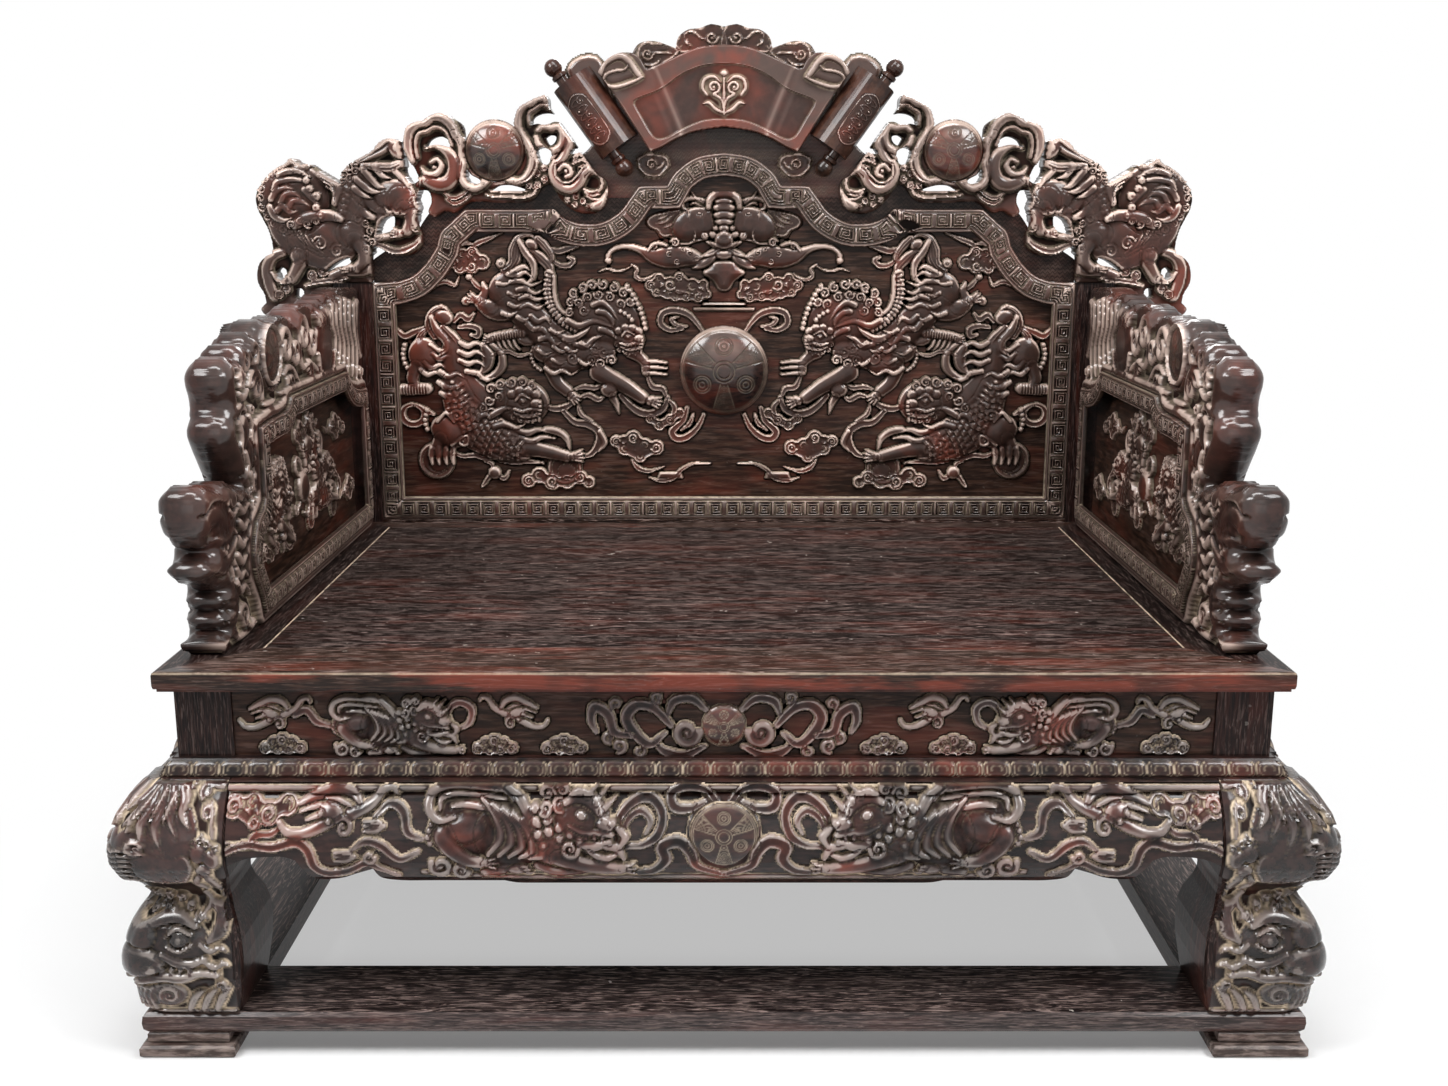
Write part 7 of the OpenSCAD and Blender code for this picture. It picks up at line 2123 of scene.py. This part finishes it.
def small_bat(pen):
    """A flying bat with curling wings, on 29 by 11 squares"""
    pen.stroke([(29, 2), (28, 0.6), (25.6, 1.2), (23, 4), (18, 6)], [0.5, 0.8, 0.9, 1.1, 1.4], 2.5, 4)
    pen.stroke([(1, 7.6), (3, 9.6), (7, 9.8), (11, 8.4), (14, 7)], [0.6, 0.9, 1.1, 1.3, 1.2], 2.5, 4)
    pen.stroke([(5.4, 4), (9, 2.6), (14, 1), (18, 1.6), (20, 3.6)], [0.6, 1.2, 1.5, 1.3, 0.8], 2.5, 4)
    for points in ([(6, 5.4), (9.6, 4.4), (13, 4.6)], [(7.6, 7), (10.4, 6.2), (13, 6.4)],
                   [(12, 2.8), (15, 3.2), (18, 4.4)]):
        pen.stroke(points, [0.35, 0.6, 0.35], 5, 2.4)
    pen.mound((13.6, 5.4), (2.8, 1.9), 20, 4.5, 4.5)
    pen.mound((11, 5.6), 0.7, 0, 7, 2)
    pen.mound((13, 7.2), 0.7, 0, 7, 2)
    pen.curl((16.6, 8.6), 2.1, 1.15, 220, 1, 0.6, 3.5, 3.6)


def bud(pen, at, way):
    """A tassel: a bud of narrow leaves on a ribbon"""
    for k in (-1, 0, 1):
        pen.stroke([(at[0] + way * 3.4, at[1]), (at[0] + way * 1.6, at[1] + 0.7 * k),
                    (at[0] - way * 1.4, at[1] + 1.0 * k)],
                   [0.5, 0.7, 0.35], 3, 3.2)


def cloud_bank(pen, at, size, level=2.0):
    """A small heap of lobes with a flat foot"""
    places = ((-2.3, 0.5, 0.8), (-1.2, -0.2, 0.8), (0.0, -0.6, 0.85), (1.2, -0.2, 0.8), (2.3, 0.5, 0.8),
              (-0.7, 0.7, 0.7), (0.8, 0.7, 0.7))
    cloud(pen, [(at[0] + dx * size, at[1] + dy * size, r * size) for dx, dy, r in places], level=level)


# %% [markdown]
# The apron's face is hollowed, so its relief is laid over the solid's own depth. Left of the ball come a
# ribbon, the lion, tassels, and on the long sides a bat and clouds too.

# %% Aprons
APRON_MIDDLE = 138.4


def apron_drawing(pen, long):
    """The left half of an apron, with the ball in the middle and the ground line at square 51"""
    ball_at = (APRON_MIDDLE, 41)
    # Half-round band under the moulding, which turns into a volute at each end
    pen.stroke([(16.5, 31.9), (60, 31.9), (APRON_MIDDLE, 31.9)], 0.62, 0.2, 3.4, groove=1.0)
    pen.curl((15.4, 33.4), 1.7, 1.1, 300, -1, 0.6, 0.6, 3.6)
    # Rim that follows the lower edge
    pen.stroke([(66, 50.2), (80, 51.2), (92, 51.6), (110, 51.6), (APRON_MIDDLE, 51.6)], 0.55, 0.6, 2.6)
    ribbon(pen, [(118, 50), (121.6, 49.4), (124.4, 46.6), (123.6, 43.8), (127.4, 42.6), (130.4, 45),
                 (132, 48.4), (APRON_MIDDLE, 50.6)], 1.25, 2.2, 3.4)
    ribbon(pen, [(136.6, 34.6), (133.6, 32), (129, 31.4), (125.8, 33), (126.4, 35.6), (130, 36),
                 (133.6, 34.8)], 1.0, 2.2, 3.0)
    for points, wide in (([(113, 42), (113.4, 37.6), (117, 34.4), (121, 34), (123.6, 37), (122.6, 41),
                           (118.6, 43.4), (113.6, 43.6)], 1.0),
                         ([(114, 41), (115.6, 37.8), (118.6, 36.4), (120.8, 38.4), (119.6, 41)], 0.7)):
        ribbon(pen, points, wide, 2.2, 3.2)
    lion = pen.moved((66, 31))
    ribbon(pen, [(66, 42), (62.6, 40.6), (61.4, 36.6), (58, 35), (54.6, 37.6)], 0.95, 2.2, 3)
    bud(pen, (53.4, 39.4), 1)
    ribbon(pen, [(65, 45), (60.6, 46.6), (56.4, 43.6), (52.4, 42.6), (49, 44.6)], 0.9, 2.2, 3)
    bud(pen, (46.4, 46), 1)
    pen.curl((53.4, 46.2), 1.5, 1.1, 0, 1, 0.45, 3.5, 3)
    walking_lion(lion)
    pen.mound(ball_at, 8.6, 0, 1.0, 2.4, 0.2)
    if long:
        ribbon(pen, [(15.6, 48), (19, 45), (24, 43.4), (30, 44), (35.6, 42.8), (38.6, 44.6), (40, 48.6),
                     (43, 50.4), (48, 49.6), (52.6, 47.6), (55.6, 49), (60, 51)], 1.0, 1.6, 3.6)
        small_bat(pen.moved((30.6, 31), bold=1.15))
        cloud(pen, [(20.4, 35.6, 2.4), (25, 34.8, 1.9), (29, 37, 2.4), (33.4, 35.2, 2.2),
                    (25.6, 38.6, 1.7)],
              [([(32, 39.4), (30, 41), (26, 41.4), (24, 43.6), (18.6, 43)], 0.8)], 1.6)
        ribbon(pen, [(12.4, 35), (14.6, 36.8), (14.4, 40), (11.6, 42)], 0.9, 1.8, 3)


def dressed(node, side, corner, squares, drawing, name, long):
    """Lays a drawing over a solid and folds it over the middle, finest at the front"""
    sheet = Overlay([node], side, 1.5 if side == "front" else 2.3)
    drawing(Pen(sheet, corner, squares, bold=1.25), long)
    folded(sheet)
    return carve(name, sheet, place_on(side, sheet.face), carved_dark, ring=2.2, sunk=1.2)


def low_ball(name, side, face, centre, radius, height):
    """A ball with engraved rings, set on a plane"""
    made = Sheet(centre[0] - radius, centre[0] + radius, centre[1] - radius, centre[1] + radius, 1.1)
    x, y = made.U - centre[0], made.V - centre[1]
    r = np.clip(np.hypot(x, y) / radius, 0, 1)
    rings = dome_rings(x, y, radius)
    made.h = np.where(r < 1, 0.4 + height * np.sqrt(1 - r * r) - rings * 0.8, 0)
    made.dust_lines = rings * 0.55
    # The upper side is made lighter, a painted highlight
    made.worn_lines = np.clip(0.28 + 0.35 * y / radius, 0, 0.6) * np.clip(1.3 - r * r, 0, 1) * (1 - rings)
    return carve(name, made, place_on(side, face), carved_red, ring=0.6, sunk=2.5)


APRON_SQUARES = (4.725, 5.05)
APRON_TOP = 491.0
for side in SIDES:
    long = side in ("front", "back")
    corner = (-APRON_MIDDLE * APRON_SQUARES[0], APRON_TOP)
    dressed(f"apron_{side}", side, corner, APRON_SQUARES, apron_drawing, f"apron_figures_{side}", long)
    low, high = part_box(f"apron_{side}")
    w, sign = SIDES[side][2:]
    reach = max(low[w] * sign, high[w] * sign) / MM
    low_ball(f"apron_ball_{side}", side, reach - 1.5, (0, APRON_TOP - 41 * APRON_SQUARES[1]), 39, 9)


# %% [markdown]
# The waist repeats the same lion, smaller, between bats and banks of cloud, under a ball with scrolls.

# %% Waist panels
def waist_drawing(pen, long):
    """The left half of a waist panel: ball with scrolls, a lion, bats and cloud banks"""
    ribbon(pen, [(134, 11.6), (130.6, 9), (126.4, 9.6), (125, 12.6)], 1.0, 2, 3)
    pen.curl((129.4, 17.2), 3.0, 1.2, 0, 1, 0.95, 2.5, 4)
    ribbon(pen, [(133.6, 20.6), (129, 22.6), (124.6, 22), (121.4, 19.6)], 1.0, 2, 3)
    ribbon(pen, [(125.6, 15.4), (121.6, 11.4), (117.4, 10.6), (115, 13.4), (116.6, 17), (120.4, 20),
                 (124, 17.6)], 1.2, 2, 3.6)
    ribbon(pen, [(116, 18), (112, 17), (110.6, 13), (107.4, 11), (106.4, 14), (107.6, 17)], 1.1, 2, 3.6)
    pen.curl((113, 20.6), 1.7, 1.1, 90, -1, 0.5, 2, 3)
    for x, y in ((112.4, 10.4), (122.4, 8.8), (118, 21.8), (110.6, 18.6)):
        pen.curl((x, y), 1.4, 1.1, 30 * x, 1, 0.42, 1.5, 2.6)
    cloud_bank(pen, (99.8, 20.2), 1.75)
    lion = pen.moved((43.4, 9), 0.63, 0.69, deep=0.9)
    ribbon(pen, [(44, 15.6), (40.4, 14.6), (38, 11.8), (35, 13.4)], 0.85, 2, 3)
    ribbon(pen, [(73, 16), (71.8, 12.4), (74.6, 10), (77.6, 11.4), (77, 15), (73.6, 16.6)], 0.8, 2, 3)
    walking_lion(lion)
    if long:
        cloud_bank(pen, (83, 20.2), 1.75)
        cloud_bank(pen, (31.8, 20), 1.8)
        small_bat(pen.moved((21, 8.6), 0.62, 0.75, deep=0.85))
        small_bat(pen.moved((96.6, 8.2), 0.58, 0.78, mirror=True, deep=0.85))
    else:
        cloud_bank(pen, (84, 20.2), 1.75)


WAIST_SQUARES = (4.789, 5.036)
WAIST_TOP = 471.0
for side in ("front", "back", "left", "right"):
    node = f"waist_panel_{side}"
    corner = (-APRON_MIDDLE * WAIST_SQUARES[0], WAIST_TOP)
    long = side in ("front", "back")
    dressed(node, side, corner, WAIST_SQUARES, waist_drawing, f"waist_figures_{side}", long)
    w, sign = SIDES[side][2:]
    low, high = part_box(node)
    face = max(low[w] * sign, high[w] * sign) / MM
    low_ball(f"waist_ball_{side}", side, face, (0, WAIST_TOP - 15.6 * WAIST_SQUARES[1]), 26, 8)

# %% [markdown]
# ### The moulding of petals
# Each petal hangs from the moulding's top edge as a rounded U with a second line inside it and a small
# curl. The row is a formula of the place along the moulding, so that it repeats exactly and ends at the
# mitres.

# %% Petals
PETAL = 31.4


def petal_relief(u, share):
    """Heights of a row of petals and its lines of dust, share from 0 at the lower edge to 1 at the top"""
    a = (u / PETAL + 0.5) % 1.0 - 0.5
    down = np.abs(share - 0.42) / 0.40
    q = (np.abs(a / 0.475) ** 4 + down ** 4) ** 0.25
    body = np.clip((1.0 - q) / 0.10, 0, 1)
    rim = np.exp(-((q - 1.0) / 0.038) ** 2)
    inner = np.exp(-((q - 0.74) / 0.036) ** 2) * (share < 0.62)
    ring = np.exp(-((np.hypot(a / 0.20, (share - 0.46) / 0.20) - 1) / 0.18) ** 2)
    curl = ring * (share > 0.36) * (q < 0.66)
    lines = np.maximum(rim, np.maximum(inner * 0.7, curl * 0.35)) * 0.8
    return 0.4 + body * 1.3 - inner * 0.4 - curl * 0.3, lines


for side in ("front", "back", "left", "right"):
    sheet = Overlay([f"petal_moulding_{side}"], side, 1.5 if side == "front" else 2.6)
    share = (sheet.V - sheet.v[0]) / (sheet.v[-1] - sheet.v[0])
    relief, lines = petal_relief(sheet.U, share)
    sheet.h, sheet.dust_lines = np.where(sheet.inside, relief, 0), lines
    carve(f"petals_{side}", sheet, place_on(side, sheet.face), carved_dark, ring=1.0, sunk=1.0)

# %% [markdown]
# ## The legs
# Each leg swells out at the knee and again above the foot, round a corner, so a flat board can't hold its
# carving. Its sheet is wrapped instead: from an upright line inside the corner, rays go out over the front
# face, fan round the corner and go out over the side face, and where each ray leaves the solid a point of
# the sheet lies. The knee carries long falling locks over a smooth cheek, and the foot is a lion's mask
# that looks out over the corner. The mask is symmetrical about the corner, so half is drawn and folded.

# %% Wrapping a sheet round a leg
FAN = 40.0
LEG_INSET = 14.0
LEG_SQUARES = (3.4, 3.6)


def leg_rays(node):
    """A function that gives the skin of a leg at places (s, z), the way it faces and its reach"""
    mesh = nodes[node].data
    tree = BVHTree.FromPolygons([v.co for v in mesh.vertices], [p.vertices for p in mesh.polygons])
    seat_x, seat_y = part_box("seat_rail_left")[0].x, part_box("seat_rail_front")[0].y
    core = (seat_x + LEG_INSET * MM, seat_y + LEG_INSET * MM)

    def skin(s, z):
        spots, ways, reach = np.zeros((len(s), 3)), np.zeros((len(s), 3)), np.full(len(s), -1e3)
        # A ray that runs exactly along the corner's edge would slip past it
        for k, (a, b) in enumerate(zip(s + 0.013, z + 0.007)):
            turn = min(max(a / FAN, -1), 1) * math.pi / 4
            way = Vector((-math.sin(math.pi / 4 + turn), -math.cos(math.pi / 4 + turn), 0))
            start = Vector((core[0] + max(-a - FAN, 0) * MM, core[1] + max(a - FAN, 0) * MM, b * MM))
            # From outside inwards, so that the outermost skin is found
            found = tree.ray_cast(start + way * 0.3, -way, 0.3)[0]
            ways[k] = way
            if found is not None:
                spots[k], reach[k] = found, (found - start).length / MM
        return spots / MM, ways, reach

    return skin


def leg_drawing(pen):
    """Half of a leg, in squares from the corner inwards and down from the top"""
    # Knee: cheek, falling locks, a curl for an ear, locks along the corner
    pen.mound((14, 15), (9.5, 12.5), 0, 1.2, 6)
    pen.mound((4, 21), (6, 9), 0, 1.0, 5)
    locks(pen, [[(9, -1), (7, 3), (4, 7), (1.6, 12)], [(10, 0), (8.0, 6), (6.4, 11), (7.6, 17)],
                [(12, 0), (11.6, 7), (10.4, 12), (12.6, 19)],
                [(14.6, -1), (15.2, 5), (14.6, 9), (17.6, 15)], [(6, -1), (4, 2), (2, 5), (0, 8)],
                [(17.4, 0), (19, 4), (18.6, 8), (21.4, 12)]], 1.75, 5.5, 5)
    locks(pen, [[(8, 1), (6.4, 5), (4.2, 9), (3.6, 13)], [(12.2, 2), (10.4, 6), (8.6, 10)],
                [(15.6, 3), (14, 7), (12.6, 11)]],
          0.8, 9.5, 2.6)
    pen.curl((6, 17.6), 2.3, 1.2, 60, 1, 0.65, 6.5, 3.4)
    for k in range(7):
        pen.stroke([(5.6, 19.4 + 1.7 * k), (3, 18.8 + 1.7 * k), (-0.4, 20 + 1.7 * k)], [0.4, 0.8, 0.5], 5,
                   3)
    pen.patch([(5, 22), (9, 20), (15, 21.4), (20, 20.4), (22, 25), (19, 30), (12, 31), (6, 29)], 5.5, 1.2,
              0.4, 1.0)
    for x, y in ((8, 25), (12, 24), (16, 25), (19.4, 24.4), (10, 28.4), (14, 28.6), (17.6, 28.4)):
        ring = np.radians(np.linspace(10, 170, 7))
        pen.stroke(np.stack([x + 2.1 * np.cos(ring), y + 1.9 * np.sin(ring)], 1).tolist(), 0.3, 6.6, 1.2,
                   groove=1.0)
    # Hooks at the top and the knotted ribbon that ties the apron to the leg
    pen.curl((20, 0.6), 2.0, 1.15, 180, 1, 0.6, 2.5, 3)
    pen.curl((25.6, 2.4), 2.2, 1.2, 120, 1, 0.7, 2, 3.6)
    pen.stroke([(31, 1.2), (28, 0.8), (26, 0)], [1.0, 1.2, 0.7], 2, 3.6)
    pen.curl((27, 8), 1.9, 1.2, 300, -1, 0.7, 2.5, 3.4, [(29, 15), (28.6, 11.6)])
    pen.mound((24.4, 20), (2.8, 3.4), 15, 2.5, 4.5)
    pen.mound((28.4, 22), (2.6, 3.2), -10, 2.5, 4.5)
    pen.mound((25.4, 26), (2.6, 2.6), 0, 2.5, 5)
    pen.stroke([(26, 28), (27.6, 32), (29.6, 35)], [1.4, 1.6, 1.0], 2, 4)
    pen.stroke([(23.6, 28), (22, 31.4), (24.4, 34)], [1.2, 1.4, 0.8], 2, 3.6)
    for x, y in ((22.6, 16.4), (25, 15.4), (27.4, 16.6), (30, 18.4)):
        pen.curl((x, y), 1.3, 1.1, 40 * x, 1, 0.42, 3, 3)
    # Lion's mask: curls of the brow, ears, eyes, snout over the corner, rolled lips
    pen.mound((12, 52), (12, 9), 0, 1.2, 6)
    for k, (x, y, r) in enumerate(((2, 37.6, 1.7), (6, 36.6, 1.8), (10, 37.2, 1.9), (14.4, 38.6, 1.8),
                                   (18, 41, 1.7), (3.4, 41.4, 1.7), (7.4, 40.6, 1.8), (11.4, 41.4, 1.7),
                                   (21, 44, 1.5))):
        pen.curl((x, y), r, 1.2, 70 * k, 1 if k % 2 else -1, 0.5, 5.5, 3.4)
    pen.stroke([(3, 47), (8, 44.4), (14, 44), (20, 46.4)], [1.5, 2.0, 2.0, 1.0], 6.5, 4)
    pen.mound((2.6, 50), (4.4, 4.4), 0, 5, 6)
    pen.mound((14.6, 50.4), (3.2, 2.7), 0, 6, 5)
    pen.mound((14.6, 50.4), 1.3, 0, 10, 1.8)
    pen.stroke([(10.4, 49.6), (14, 46.8), (18.6, 48.8)], [0.5, 0.9, 0.5], 8.5, 3)
    pen.stroke([(10.6, 52.4), (14.6, 54), (18.8, 52)], [0.5, 0.8, 0.5], 8, 3)
    pen.mound((2, 58), (7.4, 5.0), 0, 7, 8)
    pen.mound((6.6, 60), 1.4, 0, 12, 3)
    pen.stroke([(9, 55.4), (13, 58), (18, 58.6), (23, 57)], [1.2, 1.7, 1.6, 0.9], 5, 4.4)
    pen.stroke([(3, 64.4), (9, 63), (15, 63.4), (21, 61.6), (27, 62.4)], [1.4, 1.7, 1.7, 1.4, 0.9], 5, 4.4)
    for x in (8.6, 11.6, 14.6, 17.6):
        pen.mound((x, 60.6), (0.9, 1.2), 0, 5, 3.4, groove=0.9)
    pen.stroke([(25, 40), (28.6, 43), (28, 48), (24.6, 51)], [1.4, 2.4, 2.4, 1.2], 2.5, 5)
    locks(pen, [[(23, 36), (24.4, 40), (22.6, 43), (24, 46)], [(29, 37), (30.4, 41), (29.4, 45), (31, 49)],
                [(21.6, 52), (24.6, 54.4), (28, 53.4), (31, 55.4)],
                [(23, 58), (26, 60), (29, 58.6), (31.6, 60)]], 0.95, 4, 3.6)
    # Paws and waves above the rail
    pen.mound((9, 70), (6.4, 4.6), 0, 2, 6)
    pen.curl((10, 70), 3.0, 1.25, 160, 1, 0.8, 6, 3.4)
    for k in range(3):
        pen.stroke([(1.2 + 1.8 * k, 67.4), (0.6 + 1.8 * k, 71), (1.4 + 1.8 * k, 75)], [0.8, 1.0, 0.6], 4, 4)
    for k in range(3):
        pen.stroke([(16 + 4.6 * k, 75.6), (18 + 4.6 * k, 71.4), (21.4 + 4.4 * k, 68.6 - 0.6 * k)],
                   [1.2, 1.5, 0.6], 2.5, 4.4)
    pen.curl((27.6, 66.4), 2.0, 1.2, 90, -1, 0.6, 3, 3.4)
    pen.stroke([(0, 76.4), (10, 76.8), (20, 76.6), (31, 76.8)], 0.7, 1, 2.4)


def leg_skin():
    skin = leg_rays("leg_front_left")
    floor_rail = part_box("floor_rail_front")[1].z / MM
    apron_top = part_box("apron_front")[1].z / MM
    sheet = Sheet(-108, 108, floor_rail + 1, apron_top - 1, 2.0)
    leg_drawing(Pen(sheet, (0, apron_top), LEG_SQUARES, mirror=True))
    folded(sheet)
    sheet.h += 0.5
    spots, ways, reach = skin(sheet.U.ravel(), sheet.V.ravel())
    reach = reach.reshape(sheet.U.shape)
    sheet.inside = reach > 0
    # Rays that pass beside the leg's face, or jump far back behind it, are left out
    rough = np.abs(reach - softened(reach, 1)) > 5
    keep = sheet.inside & ~rough
    cells = keep[:-1, :-1] & keep[1:, 1:] & keep[:-1, 1:] & keep[1:, :-1]
    spots, ways = spots.reshape(*sheet.U.shape, 3), ways.reshape(*sheet.U.shape, 3)

    def wrapped(u, v, h):
        i = np.clip(np.rint((u - sheet.u[0]) / (sheet.u[1] - sheet.u[0])).astype(int), 0, sheet.nu)
        j = np.clip(np.rint((v - sheet.v[0]) / (sheet.v[1] - sheet.v[0])).astype(int), 0, sheet.nv)
        at = spots[j, i] + ways[j, i] * np.asarray(h)[..., None]
        return at[:, 0], at[:, 1], at[:, 2]

    return carve("leg_carving_front_left", sheet, wrapped, carved_leg, keep=cells, sunk=2.0, flip=True)


leg_front = leg_skin()
mirrored(leg_front, "leg_carving_front_right")
leg_back = mirrored(leg_front, "leg_carving_back_left", axis=1)
mirrored(leg_back, "leg_carving_back_right")

# %% [markdown]
# ## Finishes for the plain members
# What isn't carved keeps its solid from the frame and gets the same lacquered wood, with the grain along
# its own length: rails across the front run along X, side rails along Y, posts upright, and each panel its
# own cut.

# %% Wood for every solid
GRAIN = {
    "seat_panel": "seat", "seat_rail_front": "edge", "seat_rail_back": "edge", "back_panel": "ground",
    "waist_panel_front": "ground", "waist_panel_back": "ground", "back_post": "upright", "leg": "upright",
    "waist_panel_left": "ground_side", "waist_panel_right": "ground_side", "arm_panel": "ground_side",
    "seat_rail_left": "across", "seat_rail_right": "across", "foot": "foot",
    "scroll_roller": "rod", "crest_board": "chased", "floor_rail": "stretcher",
    "floor_rail_left": "side_stretcher", "floor_rail_right": "side_stretcher",
}
for name, node in nodes.items():
    side = name.endswith(("_left", "_right")) and name.startswith(("floor_rail", "arm"))
    usual = "across" if side else "along"
    kinds = [kind for start, kind in GRAIN.items() if name.startswith(start)] or [usual]
    if name.startswith(("apron", "petal")):
        kinds = ["smooth"]
    node.data.materials.clear()
    node.data.materials.append(finishes[kinds[-1]])
print("finished solids:", len(nodes))
